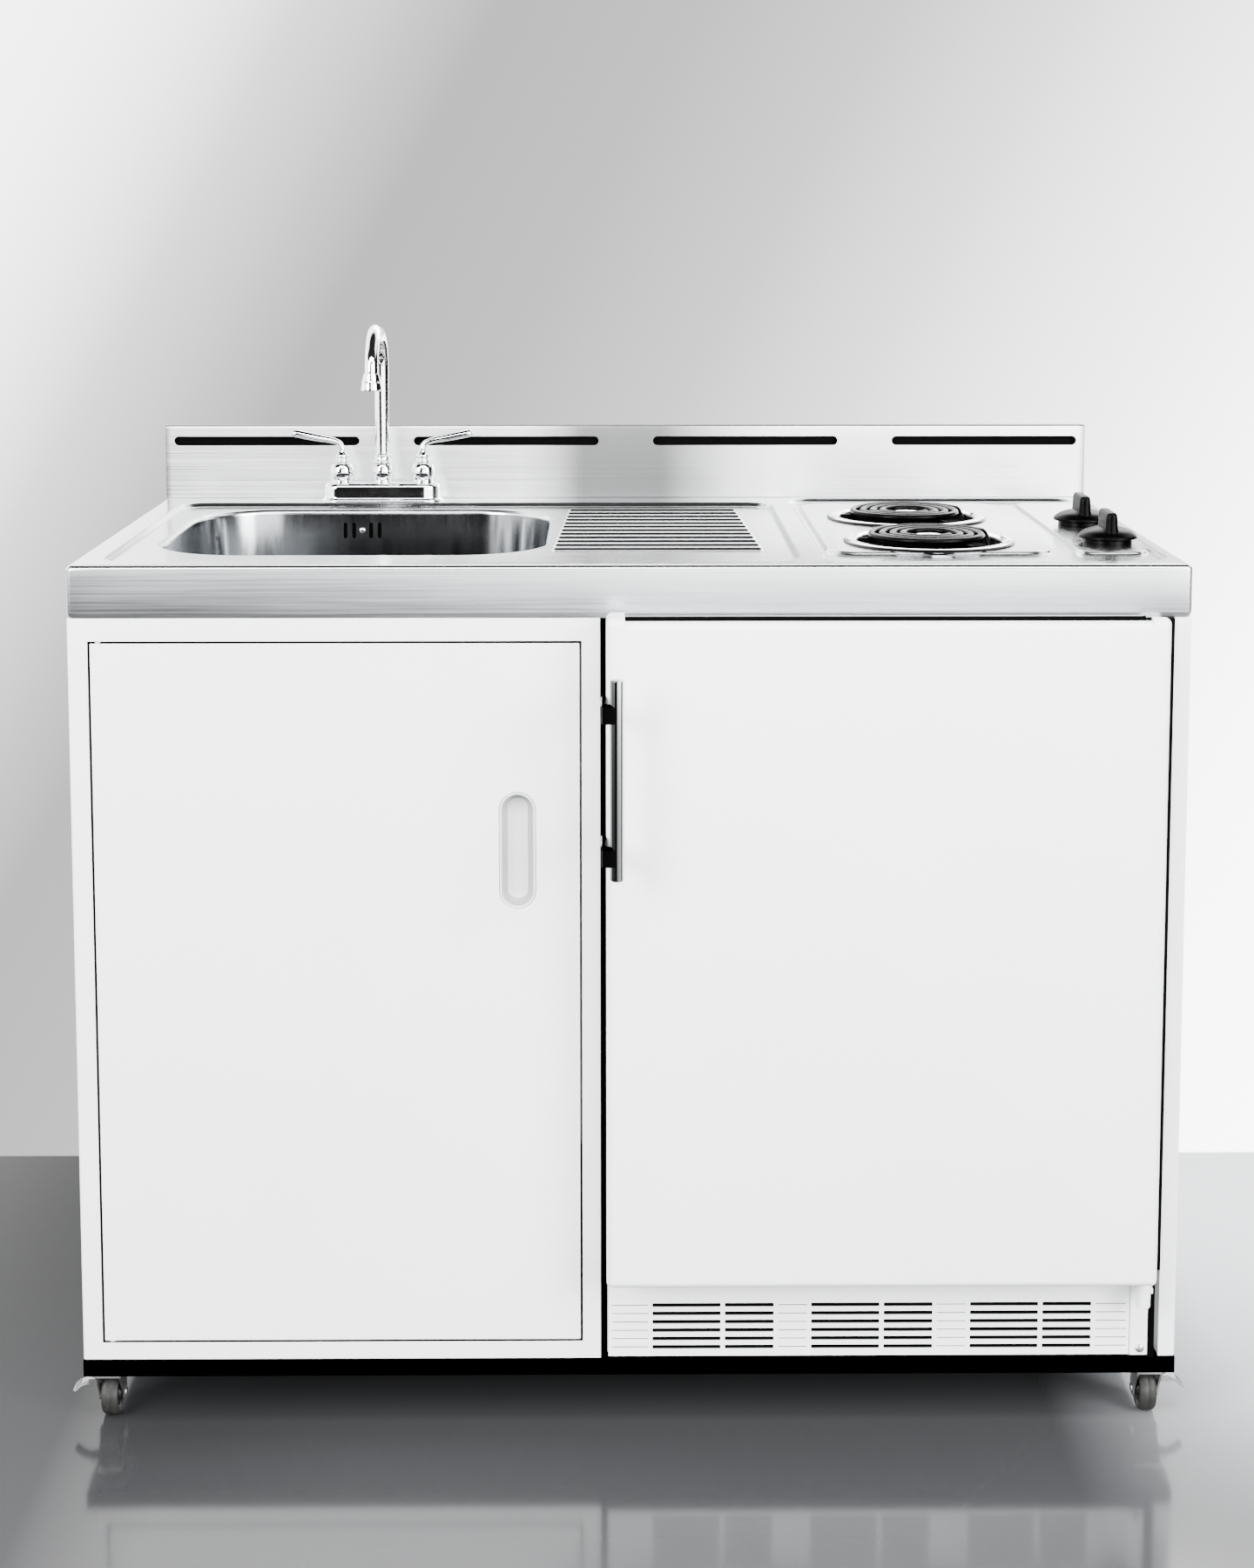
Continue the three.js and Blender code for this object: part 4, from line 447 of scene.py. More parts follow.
def circleLoop(x, y, radius, sides=64):
    return [(
        x + radius * math.cos(2 * math.pi * k / sides), y + radius * math.sin(2 * math.pi * k / sides))
        for k in range(sides)]


def level(loop, z):
    return [(a, b, z) for a, b in loop]


def upright(loop, y):
    return [(a, y, b) for a, b in loop]


# A section carried along a line of points; sectionAt gives the (side, up) pairs at each share of the line.
def swept(line, sectionAt, firstSide=None, closed=False):
    line = [Vector(point) for point in line]
    last = len(line) - 1
    side = Vector(firstSide) if firstSide else None
    rings = []
    for i, point in enumerate(line):
        along = (line[min(i + 1, last)] - line[max(i - 1, 0)]).normalized()
        if side is None:
            side = Vector((1, 0, 0)) if abs(along.x) < 0.9 else Vector((0, 0, 1))
        side = (side - along * side.dot(along)).normalized()
        up = along.cross(side)
        rings.append([tuple(point + side * a + up * b) for a, b in sectionAt(i / last)])
    return loft(rings, closed=closed)


def roundSection(radius, sides=24):
    return circleLoop(0, 0, radius, sides)


def curvePoints(points, steps):
    spots = [Vector(p) for p in points]
    line = []
    for i in range(len(spots) - 1):
        a, b, c, d = spots[max(i - 1, 0)], spots[i], spots[i + 1], spots[min(i + 2, len(spots) - 1)]
        for k in range(steps):
            t = k / steps
            line.append(tuple(0.5 * (
                2 * b + (c - a) * t + (2 * a - 5 * b + 4 * c - d) * t ** 2
                + (3 * b - a - 3 * c + d) * t ** 3)))
    return line + [tuple(spots[-1])]


def meshOf(name, shape):
    points, faces = shape
    mesh = bpy.data.meshes.new(name)
    mesh.from_pydata([(x / 1000, y / 1000 + apronPlane, z / 1000) for x, y, z in points], [], faces)
    work = bmesh.new()
    work.from_mesh(mesh)
    bmesh.ops.remove_doubles(work, verts=work.verts, dist=2e-6)
    bmesh.ops.dissolve_degenerate(work, edges=work.edges, dist=1e-6)
    bmesh.ops.recalc_face_normals(work, faces=work.faces)
    work.to_mesh(mesh)
    work.free()
    return mesh


# A shape with others cut out of it, or joined to it.
def carved(shape, *tools, operation="DIFFERENCE"):
    scene = bpy.context.scene.collection
    body = bpy.data.objects.new("carving", meshOf("carving", shape))
    scene.objects.link(body)
    held = [body]
    for tool in tools:
        cutter = bpy.data.objects.new("cutter", meshOf("cutter", tool))
        scene.objects.link(cutter)
        held.append(cutter)
        step = body.modifiers.new("cut", "BOOLEAN")
        step.object = cutter
        step.operation = operation
        step.solver = "EXACT"
    bpy.context.view_layer.update()
    done = body.evaluated_get(bpy.context.evaluated_depsgraph_get()).to_mesh()
    points = [(v.co.x * 1000, (v.co.y - apronPlane) * 1000, v.co.z * 1000) for v in done.vertices]
    faces = [tuple(face.vertices) for face in done.polygons]
    for item in held:
        bpy.data.objects.remove(item)
    return points, faces


# A piece stands for the named solids. Faces that where() picks, by their middle, get the second finish.
def makePiece(name, shape, finish, stands="", body="unit", bevel=0.0, sharp=32, bevelSteps=3,
              second=None, where=None):
    mesh = meshOf(name, shape)
    piece = bpy.data.objects.new(name, mesh)
    bpy.context.scene.collection.objects.link(piece)
    mesh.materials.append(finishes[finish])
    if second:
        mesh.materials.append(finishes[second])
        for face in mesh.polygons:
            x, y, z = face.center
            face.material_index = int(where(x * 1000, (y - apronPlane) * 1000, z * 1000))
    mesh.polygons.foreach_set("use_smooth", [True] * len(mesh.polygons))
    mesh.set_sharp_from_angle(angle=math.radians(sharp))
    if bevel:
        edge = piece.modifiers.new("edges", "BEVEL")
        edge.width = bevel / 1000
        edge.segments = bevelSteps
        edge.limit_method = "ANGLE"
        edge.angle_limit = math.radians(sharp)
        edge.miter_outer = "MITER_ARC"
        edge.harden_normals = True
    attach(piece, body)
    if stands:
        stands = stands.split()
        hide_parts(*stands)
    return piece


def ease(t):
    t = min(max(t, 0.0), 1.0)
    return t * t * (3 - 2 * t)


# How far a point lies inside a round-cornered place, negative outside it.
def depthIn(place, x, y):
    x0, x1, y0, y1, radius = place
    qx = abs(x - (x0 + x1) / 2) - (x1 - x0) / 2 + radius
    qy = abs(y - (y0 + y1) / 2) - (y1 - y0) / 2 + radius
    return radius - math.hypot(max(qx, 0), max(qy, 0)) - min(max(qx, qy), 0)


# A sheet over an outer loop that follows every feature loop, with its holes left open.
# It gives the points, the faces, and where each loop's points went.
def sheetOver(outer, features, holes, fill, heightAt):
    flat, edges, starts = [], [], []
    for loop in [outer, *holes, *features]:
        base = len(flat)
        starts.append((base, len(loop)))
        flat.extend(Vector(p) for p in loop)
        edges.extend((base + i, base + (i + 1) % len(loop)) for i in range(len(loop)))
    flat.extend(Vector(p) for p in fill)
    found, _, triangles, origins, _, _ = delaunay_2d_cdt(flat, edges, [], 0, 0.0005)
    went = {}
    for i, sources in enumerate(origins):
        for source in sources:
            went[source] = i
    points = [(p.x, p.y, heightAt(p.x, p.y)) for p in found]

    def inHole(x, y):
        for loop in holes:
            inside = False
            for i, (ax, ay) in enumerate(loop):
                bx, by = loop[i - 1]
                if (ay > y) != (by > y) and x < (bx - ax) * (y - ay) / (by - ay) + ax:
                    inside = not inside
            if inside:
                return True
        return False

    spans = [(
        min(p[0] for p in h), max(p[0] for p in h), min(p[1] for p in h), max(p[1] for p in h))
        for h in holes]
    faces = []
    for triangle in triangles:
        x = sum(found[i].x for i in triangle) / 3
        y = sum(found[i].y for i in triangle) / 3
        if any(s[0] < x < s[1] and s[2] < y < s[3] for s in spans) and inHole(x, y):
            continue
        faces.append(tuple(triangle))
    loops = [[went[base + i] for i in range(count)] for base, count in starts[:1 + len(holes)]]
    return points, faces, loops


def bridge(loopA, loopB):
    count = len(loopA)
    return [(loopA[i], loopA[(i + 1) % count], loopB[(i + 1) % count], loopB[i]) for i in range(count)]


studio = {
    "air": 12,
    "back": [
        (-0.5, 6), (-0.17, 5.6), (-0.14, 5), (-0.106, 3.6), (-0.07, 1.9), (-0.03, 1.2), (0.0, 0.82),
        (0.07, 0.95), (0.14, 1.35), (0.2, 2.2), (0.3, 4.6), (0.4, 8), (0.48, 9), (0.6, 9), (0.65, 0.02)],
    "front": [
        (-1, 5), (-0.68, 6), (-0.64, 0.02), (-0.035, 0.02), (0.0, 8), (0.06, 10), (0.86, 9), (0.9, 0.02),
        (1, 0.02)],
    "over": 5, "overFront": 0.03, "zenith": 0.03, "under": 1.3, "wallLine": 0.545, "reach": 12,
    "floorNearPaintedShade": [(-0.95, 0.02), (-0.3, 0.034)],
    "floorGloss": [(-0.64, 0.07), (-0.5, 0.5), (0.3, 0.5), (0.7, 0.2)],
    "floorFarPaintedLightAndShade": [(-0.95, 0.006), (-0.3, 0.02), (0.48, 0.03), (0.72, 0.66)]}


def makeWorld(s):
    world = bpy.data.worlds.new("studio")
    bpy.context.scene.world = world
    world.use_nodes = True
    tree = world.node_tree
    links = tree.links

    def add(kind, *values, **settings):
        node = tree.nodes.new(kind)
        for key, value in settings.items():
            setattr(node, key, value)
        for socket, value in zip(node.inputs, values):
            if isinstance(value, bpy.types.NodeSocket):
                links.new(value, socket)
            elif value is not None:
                socket.default_value = value
        return node.outputs[0]

    def spread(source, low, high):
        return add("ShaderNodeMapRange", source, low, high, 0.0, 1.0, interpolation_type="SMOOTHSTEP")

    def tones(source, stops):
        node = tree.nodes.new("ShaderNodeValToRGB")
        links.new(source, node.inputs["Fac"])
        fillRamp(node, [(at, (tone / s["air"],) * 3 + (1,)) for at, tone in stops])
        return node.outputs["Color"]

    def blend(share, a, b):
        node = tree.nodes.new("ShaderNodeMix")
        node.data_type = "RGBA"
        links.new(share, node.inputs[0])
        for socket, value in ((node.inputs[6], a), (node.inputs[7], b)):
            if isinstance(value, bpy.types.NodeSocket):
                links.new(value, socket)
            else:
                socket.default_value = (value / s["air"],) * 3 + (1,)
        return node.outputs[2]

    way = tree.nodes.new("ShaderNodeTexCoord").outputs["Generated"]
    split = tree.nodes.new("ShaderNodeSeparateXYZ")
    links.new(way, split.inputs[0])
    x, y, z = split.outputs
    # The backdrop's tones follow one slanted line, turned back on itself above the top of the picture.
    rise = add(
        "ShaderNodeMath", add("ShaderNodeMath", z, 0.157, operation="SUBTRACT"), operation="ABSOLUTE")
    side = add(
        "ShaderNodeMath", add("ShaderNodeMath", x, 0.878, operation="MULTIPLY"),
        add("ShaderNodeMath", rise, 0.48, operation="MULTIPLY"), operation="ADD")
    back = tones(
        add("ShaderNodeMapRange", side, -0.5, 1.0, 0.0, 1.0),
        [((at + 0.5) / 1.5, tone) for at, tone in s["back"]])
    heading = add("ShaderNodeVectorMath", add("ShaderNodeCombineXYZ", x, y, 0.0), operation="NORMALIZE")
    turn = tree.nodes.new("ShaderNodeSeparateXYZ")
    links.new(heading, turn.inputs[0])
    front = tones(
        add("ShaderNodeMapRange", turn.outputs[0], -1.0, 1.0, 0.0, 1.0),
        [((at + 1) / 2, tone) for at, tone in s["front"]])
    around = blend(spread(y, -0.12, 0.12), front, back)
    above = blend(spread(y, -0.12, 0.12), s["overFront"], s["over"])
    lifted = blend(spread(z, 0.72, 0.84), blend(spread(z, 0.35, 0.55), around, above), s["zenith"])
    whole = blend(spread(z, -0.75, -0.5), s["under"], lifted)
    ground = tree.nodes["Background"]
    links.new(whole, ground.inputs["Color"])
    ground.inputs["Strength"].default_value = s["air"]


def makeFloor(s):
    mesh = bpy.data.meshes.new("studioFloor")
    r = s["reach"]
    mesh.from_pydata([(-r, -r, 0), (r, -r, 0), (r, r, 0), (-r, r, 0)], [], [(0, 1, 2, 3)])
    floor = bpy.data.objects.new("studioFloor", mesh)
    bpy.context.scene.collection.objects.link(floor)
    material = newFinish("floorGrey", (0.4, 0.4, 0.4), 0.12)
    links = material.node_tree.links
    place = addNode(material, "ShaderNodeTexCoord").outputs["Object"]
    split = addNode(material, "ShaderNodeSeparateXYZ")
    links.new(place, split.inputs["Vector"])

    def spread(source, low, high):
        node = addNode(material, "ShaderNodeMapRange", interpolation_type="SMOOTHSTEP")
        node.inputs["From Min"].default_value = low
        node.inputs["From Max"].default_value = high
        links.new(source, node.inputs["Value"])
        return node.outputs["Result"]

    across = addNode(material, "ShaderNodeMapRange")
    across.inputs["From Min"].default_value = -1
    links.new(split.outputs["X"], across.inputs["Value"])

    def tones(stops):
        ramp = addNode(material, "ShaderNodeValToRGB")
        fillRamp(ramp, [((at + 1) / 2, (tone * 0.96, tone * 0.99, tone * 1.04, 1)) for at, tone in stops])
        links.new(across.outputs["Result"], ramp.inputs["Fac"])
        return ramp.outputs["Color"]

    # Painted light and shade: the floor is dark near the unit and to the left, and bright far to the right,
    # where it stands for the lit wall.
    mix = addNode(material, "ShaderNodeMix", data_type="RGBA")
    links.new(spread(split.outputs["Y"], -0.65, 0.4), mix.inputs[0])
    links.new(tones(s["floorNearPaintedShade"]), mix.inputs[6])
    links.new(tones(s["floorFarPaintedLightAndShade"]), mix.inputs[7])
    links.new(mix.outputs[2], shaderOf(material).inputs["Base Color"])
    links.new(tones(s["floorGloss"]), shaderOf(material).inputs["Specular IOR Level"])
    away = addNode(material, "ShaderNodeVectorMath", operation="LENGTH")
    links.new(place, away.inputs[0])
    fade = addNode(material, "ShaderNodeMath", operation="MAXIMUM")
    links.new(spread(away.outputs["Value"], 5.0, 10.0), fade.inputs[0])
    links.new(spread(split.outputs["Y"], s["wallLine"] - 0.004, s["wallLine"] + 0.004), fade.inputs[1])
    veil = addNode(material, "ShaderNodeMixShader")
    through = addNode(material, "ShaderNodeBsdfTransparent")
    links.new(fade.outputs["Value"], veil.inputs["Fac"])
    links.new(shaderOf(material).outputs["BSDF"], veil.inputs[1])
    links.new(through.outputs["BSDF"], veil.inputs[2])
    links.new(veil.outputs["Shader"], material.node_tree.nodes["Material Output"].inputs["Surface"])
    mesh.materials.append(material)


makeWorld(studio)
makeFloor(studio)
print("studio ready")


carcass = {
    "frameRear": 21, "open": (-587.5, -52.5, 106.5, 898), "frameEdge": 4, "pin": (-577, 7, 3),
    "pinReach": 12,
    "casters": {
        "front_left": (-588, 40), "front_right": (588, 40), "rear_left": (-588, 593),
        "rear_right": (588, 593)},
    "plate": (21.5, 28, 65), "boltCircle": (15, 21.5), "kingpin": 5, "service": (-419, -219, 470, 700),
    "rail": 860}


def makeCarcass(c):
    left, right, rear = unit["left"], unit["right"], unit["carcassRear"]
    low, high, panel, divider = unit["platform"], unit["hem"], unit["panel"], unit["divider"]
    makePiece(
        "platformBoard", box(left, right, 0, rear, unit["platformUnder"], low), "boardBlackAndShade",
        "base_platform", bevel=0.9)
    halfX, halfY, plateZ = c["plate"]
    for spot, (x, y) in c["casters"].items():
        plate = slab(
            (x - halfX, x + halfX, y - halfY, y + halfY, 4), plateZ, unit["platformUnder"] - 0.05, "z", 4)
        bolts = [lathe(x + a * c["boltCircle"][0], y + b * c["boltCircle"][1], [
            (0, plateZ - 2.4, 0), (3.6, plateZ - 2.4, 1.2), (4.4, plateZ - 0.2, 0.2),
            (4.4, plateZ + 0.5, 0), (0, plateZ + 0.5, 0)], 3, 12) for a in (-1, 1) for b in (-1, 1)]
        pin = lathe(x, y, [
            (0, 51, 0), (7.6, 51, 1), (8, 54.4, 0.6), (5, 54.6, 0.3), (5, plateZ + 0.5, 0),
            (0, plateZ + 0.5, 0)], 3, 24)
        makePiece("casterPlate_" + spot, merged(plate, pin, *bolts), "zinc", bevel=0.5)

    x0, x1, z0, z1 = c["open"]
    e, face = c["frameEdge"], unit["face"]
    plan = softened([
        (left, c["frameRear"], 0), (left, face, e), (divider, face, 0.8), (divider, c["frameRear"], 0)],
        8, closed=True)
    px, py, pr = c["pin"]
    pins = [
        rod(px, py, pr, a, b, 20)
        for a, b in ((z0 - 2, z0 + c["pinReach"]), (z1 - c["pinReach"], z1 + 2))]
    frameShape = carved(extruded(plan, low, high, "z"), box(x0, x1, face - 5, c["frameRear"] + 5, z0, z1))
    makePiece("faceFrame", merged(frameShape, *pins), "cabinet", "face_frame", bevel=0.7)
    makePiece(
        "sidePanelLeft", box(left, left + panel, c["frameRear"], rear, low, high), "cabinet",
        "side_panel_left", bevel=0.8)
    makePiece(
        "dividerPanel", box(divider - panel, divider, c["frameRear"], rear, low, high), "cabinet",
        "divider_panel", bevel=0.8)
    inner = right - panel
    plan = softened([
        (inner, rear, 0.8), (inner, face, 0.8), (right, face, e), (right, rear, 0.8)], 8, closed=True)
    makePiece(
        "sidePanelRight", extruded(plan, low, high, "z"), "cabinet", "side_panel_right",
        bevel=0.6)
    sx0, sx1, sz0, sz1 = c["service"]
    service = slab((sx0, sx1, sz0, sz1, 12), rear - 12, rear + 6, "y", 6)
    back = carved(box(left + panel, divider - panel, rear - 6, rear, low, high), service)
    makePiece("sinkBayBack", back, "cabinet", "sink_bay_back", bevel=0.5)
    makePiece(
        "rearRail", box(divider, right - panel, rear - panel, rear, c["rail"], high), "cabinet",
        "fridge_bay_rear_rail", bevel=0.8)


makeCarcass(carcass)

doorSink = {
    "place": (-585, -55, 109, 895.5), "y": (2, 21), "pull": (-143, -103, 601, 731, 20), "cupDepth": 15,
    "lip": 0.7,
    "strips": (
        (unit["divider"] + 0.1, -25.1, 22, unit["platform"], unit["hem"]),
        (577.1, 590.4, -1.5, 188, unit["hem"]), (577.1, 585, -1.5, unit["platform"], 188))}


def makeSinkDoor(d):
    x0, x1, z0, z1 = d["place"]
    y0, y1 = d["y"]
    pocket = loft([upright(roundLoop(d["pull"], 0, 14), y) for y in (y0 - 2, y0 + d["cupDepth"] + 0.3)])
    px, py, pr = carcass["pin"]
    sockets = [rod(px, py, pr + 0.4, a, b, 20) for a, b in ((z0 - 2, z0 + 11), (z1 - 11, z1 + 2))]
    makePiece(
        "sinkDoor", carved(box(x0, x1, y0, y1, z0, z1), pocket, *sockets), "cabinet",
        "sink_door", body="sink_door", bevel=1.1)
    rear, lip = y0 + d["cupDepth"], d["lip"]
    profile = softened([
        (-0.35, rear, 0), (-0.35, y0 - lip, 0.8), (-2.6, y0 - lip, 1.2), (-3.2, y0 + 2.5, 1),
        (-5.5, rear - 5, 5), (-10.5, rear - 1.5, 3), (-16, rear - 1.3, 0)], 5)
    # The cup is painted a little darker than the door, and its walls darker still, as painted shade.
    makePiece(
        "pullCup", loft([upright(roundLoop(d["pull"], grow, 14), y) for grow, y in profile]), "cupWhitePaintedShade",
        "pull_cup", body="sink_door", sharp=50, second="cupShade",
        where=lambda x, y, z: y0 + 1 < y < rear - 2.5)

    # Painted shadow in the door's gap: dark bands on the door's edge and round the frame's opening.
    band = (d["place"][0], d["place"][1], d["place"][2], d["place"][3], 0.2)
    ring = loft([upright(roundLoop(band, grow, 3), y) for grow, y in (
        (0.3, y0 + 1.6), (0.3, y1 - 0.6), (-1, y1 - 0.6), (-1, y0 + 1.6))], closed=True)
    makePiece("sinkDoorGapShadow", ring, "inside", body="sink_door", sharp=40)
    x0, x1, z0, z1 = carcass["open"]
    ring = loft([
        upright(roundLoop((x0, x1, z0, z1, 0.5), grow, 3), y)
        for grow, y in ((1, y0 + 1.2), (1, y1 - 0.6), (-0.4, y1 - 0.6), (-0.4, y0 + 1.2))], closed=True)
    makePiece("frameGapShadow", ring, "inside", sharp=40)
    # Painted shadow: dark strips in the gaps beside the refrigerator.
    strips = [box(a, b, face, face + 3, low + 0.3, high) for a, b, face, low, high in d["strips"]]
    makePiece("coolerGapShadow", merged(*strips), "inside", bevel=0.3)


makeSinkDoor(doorSink)
print("carcass and sink door made")

worktop = {
    "edge": 6, "corner": 6.5, "hem": (5.5, 2.6), "hemReturn": 16, "sheet": 3, "pressDepth": 5,
    "slope": 7, "rise": 4, "plateauSlope": 4,
    "presses": [(-579.5, 190, 30, 562, 36), (212, 594.5, 30, 606, 36)],
    "plateaus": [(222, 483, 106, 562, 36), (505, 587.5, 106, 562, 18)], "ribs": 12, "ribFront": 155,
    "ribPitch": 32.36, "ribEnds": (-89, 155), "ribNarrowing": 1.15, "ribWidth": 12, "ribHeight": 3,
    "bowl": (-541, -97, 119, 528, 100), "lip": 6, "pans": [(348, 194), (348, 408)], "panHole": 87.7,
    "knobs": [(552, 176), (552, 334)], "knobHole": 8, "shanks": [(-373, 587), (-267, 587)],
    "shankHole": 12}


def makeWorktop(w):
    whole = (unit["left"], unit["right"], 0, unit["rear"], w["corner"])
    half = w["ribWidth"] / 2
    ribs = []
    for i in range(w["ribs"]):
        y = w["ribFront"] + i * w["ribPitch"]
        ribs.append((
            w["ribEnds"][0] + i * w["ribNarrowing"], w["ribEnds"][1] - i * w["ribNarrowing"], y - half,
            y + half, half - 0.1))

    def heightAt(x, y):
        z = unit["rim"] - w["pressDepth"] * max(ease(depthIn(p, x, y) / w["slope"]) for p in w["presses"])
        z += w["rise"] * max(ease(depthIn(p, x, y) / w["plateauSlope"]) for p in w["plateaus"])
        i = round((y - w["ribFront"]) / w["ribPitch"])
        if 0 <= i < w["ribs"]:
            z += w["ribHeight"] * math.sin(ease(depthIn(ribs[i], x, y) / half) * math.pi / 2)
        away = -depthIn(w["bowl"], x, y)
        if away < w["lip"]:
            z -= w["lip"] - math.sqrt(max(0, w["lip"] ** 2 - (w["lip"] - away) ** 2))
        return z

    sides = {"outer": (40, 20), "press": (24, 18), "plateau": (12, 16), "rib": (10, 1), "bowl": (14, 12)}
    features = []
    for p in w["presses"]:
        features += [
            roundLoop(p, -inset, 8, sides["press"]) for inset in (-0.6, 0, 1, 2.1, 3.5, 4.9, 6, 7, 7.6)]
    for p in w["plateaus"]:
        features += [
            roundLoop(p, -inset, 8, sides["plateau"])
            for inset in (-0.5, 0, 0.7, 1.4, 2, 2.6, 3.3, 4, 4.5)]
    for rib in ribs:
        features += [roundLoop(rib, -inset, 4, sides["rib"]) for inset in (-0.4, 0, 1, 2, 3, 4, 5, 5.8)]
    features += [roundLoop(w["bowl"], out, 10, sides["bowl"]) for out in (0.25, 0.8, 1.7, 2.8, 4.2, 6, 6.8)]
    bowlLoop = roundLoop(w["bowl"], 0, 10, sides["bowl"])
    rounds = [circleLoop(x, y, w["panHole"], 72) for x, y in w["pans"]]
    rounds += [circleLoop(x, y, w["knobHole"], 24) for x, y in w["knobs"]]
    rounds += [circleLoop(x, y, w["shankHole"], 24) for x, y in w["shanks"]]
    fill = [(x, y) for x in range(-590, 600, 34) for y in range(14, 630, 34)]
    topOuter = roundLoop(whole, -w["edge"], 5, sides["outer"])
    points, faces, loops = sheetOver(topOuter, features, [bowlLoop, *rounds], fill, heightAt)

    slabOuter = roundLoop(whole, -w["sheet"], 5, sides["outer"])
    slabBowl = roundLoop(w["bowl"], 7.5, 10, sides["bowl"])
    under, underFaces, underLoops = sheetOver(
        slabOuter, [], [slabBowl, *rounds], [], lambda x, y: unit["slab"])
    base = len(points)
    points += under
    faces += [tuple(base + i for i in reversed(face)) for face in underFaces]
    underLoops = [[base + i for i in loop] for loop in underLoops]

    def addRing(loop, z):
        start = len(points)
        points.extend(level(loop, z))
        return list(range(start, len(points)))

    rim, hem, e = unit["rim"], unit["hem"], w["edge"]
    edge = [
        (-e + e * math.sin(k * math.pi / 12), rim - e + e * math.cos(k * math.pi / 12))
        for k in range(1, 7)]
    hemRise, hemTuck = w["hem"]
    edge += [
        (0, hem + hemRise + 0.8), (-0.25, hem + hemRise), (-hemTuck + 0.3, hem + 0.8),
        (-hemTuck, hem + 0.2), (-hemTuck - 1, hem)]
    edge += [(-w["hemReturn"], hem), (-w["hemReturn"], hem + 3), (-w["sheet"], hem + 3)]
    last = loops[0]
    for grow, z in edge:
        ring = addRing(roundLoop(whole, grow, 5, sides["outer"]), z)
        faces += bridge(last, ring)
        last = ring
    faces += bridge(last, underLoops[0])
    lipOut = addRing(roundLoop(w["bowl"], 1.6, 10, sides["bowl"]), unit["deck"] - w["lip"] - 0.4)
    faces += bridge(loops[1], lipOut) + bridge(lipOut, underLoops[1])
    for top, below in zip(loops[2:], underLoops[2:]):
        faces += bridge(top, below)
    # The apron faces take the apron finish, with its painted shade.
    makePiece(
        "worktopSheet", (points, faces), "worktop", "countertop", sharp=50, second="apron",
        where=lambda x, y, z: z < unit["rim"] - w["edge"] + 1 and depthIn(whole, x, y) < 1.5)


makeWorktop(worktop)

splash = {
    "y": (616, 635), "top": 1077, "sheet": 2, "fold": 3.5, "vents": (-475.5, -158.5, 158.5, 475.5),
    "ventSize": (245, 11.7), "ventDrop": 20.6}


def makeSplash(s):
    left, right, foot = unit["left"], unit["right"], unit["rim"] + 0.05
    y0, y1 = s["y"]
    t, top = s["sheet"], s["top"]
    profile = softened([
        (y0, foot, 0), (y0, top, s["fold"]), (y1, top, s["fold"]), (y1, foot, 0)], 6, closed=True)
    tools = [box(left + t, right - t, y0 + t, y1 - t, foot - 4, top - t)]
    length, height = s["ventSize"]
    for x in s["vents"]:
        z = top - s["ventDrop"]
        place = (x - length / 2, x + length / 2, z - height / 2, z + height / 2, height / 2)
        tools.append(slab(place, y0 - 4, y0 + t + 3, "y", 10))
    # The top fold takes the dark copy of the steel, as painted shade.
    makePiece(
        "splashBack", carved(extruded(profile, left, right, "x"), *tools), "splash",
        "backsplash", bevel=0.5, sharp=40, second="foldPaintedShade", where=lambda x, y, z: z > top - 1)
    z = top - s["ventDrop"]
    # Painted shadow: a dark sheet behind the vents.
    makePiece("splashVentShadow", box(
        left + t + 1, right - t - 1, y0 + 7, y0 + 8.5, z - 22, z + 16), "inside", bevel=0.4)


makeSplash(splash)
print("worktop and splash made")

basin = {
    "wall": 2, "flange": 12, "top": 969.4, "floor": 826, "draft": 14, "floorRadius": 42,
    "drain": (-319, 323.5, 45.3), "slots": (-363, -352, -330, -319), "slotZ": (939, 959), "slotWidth": 5,
    "screw": (-341, 949, 4.2)}


def basinLoop(grow):
    return roundLoop(worktop["bowl"], grow, 12, (14, 12))


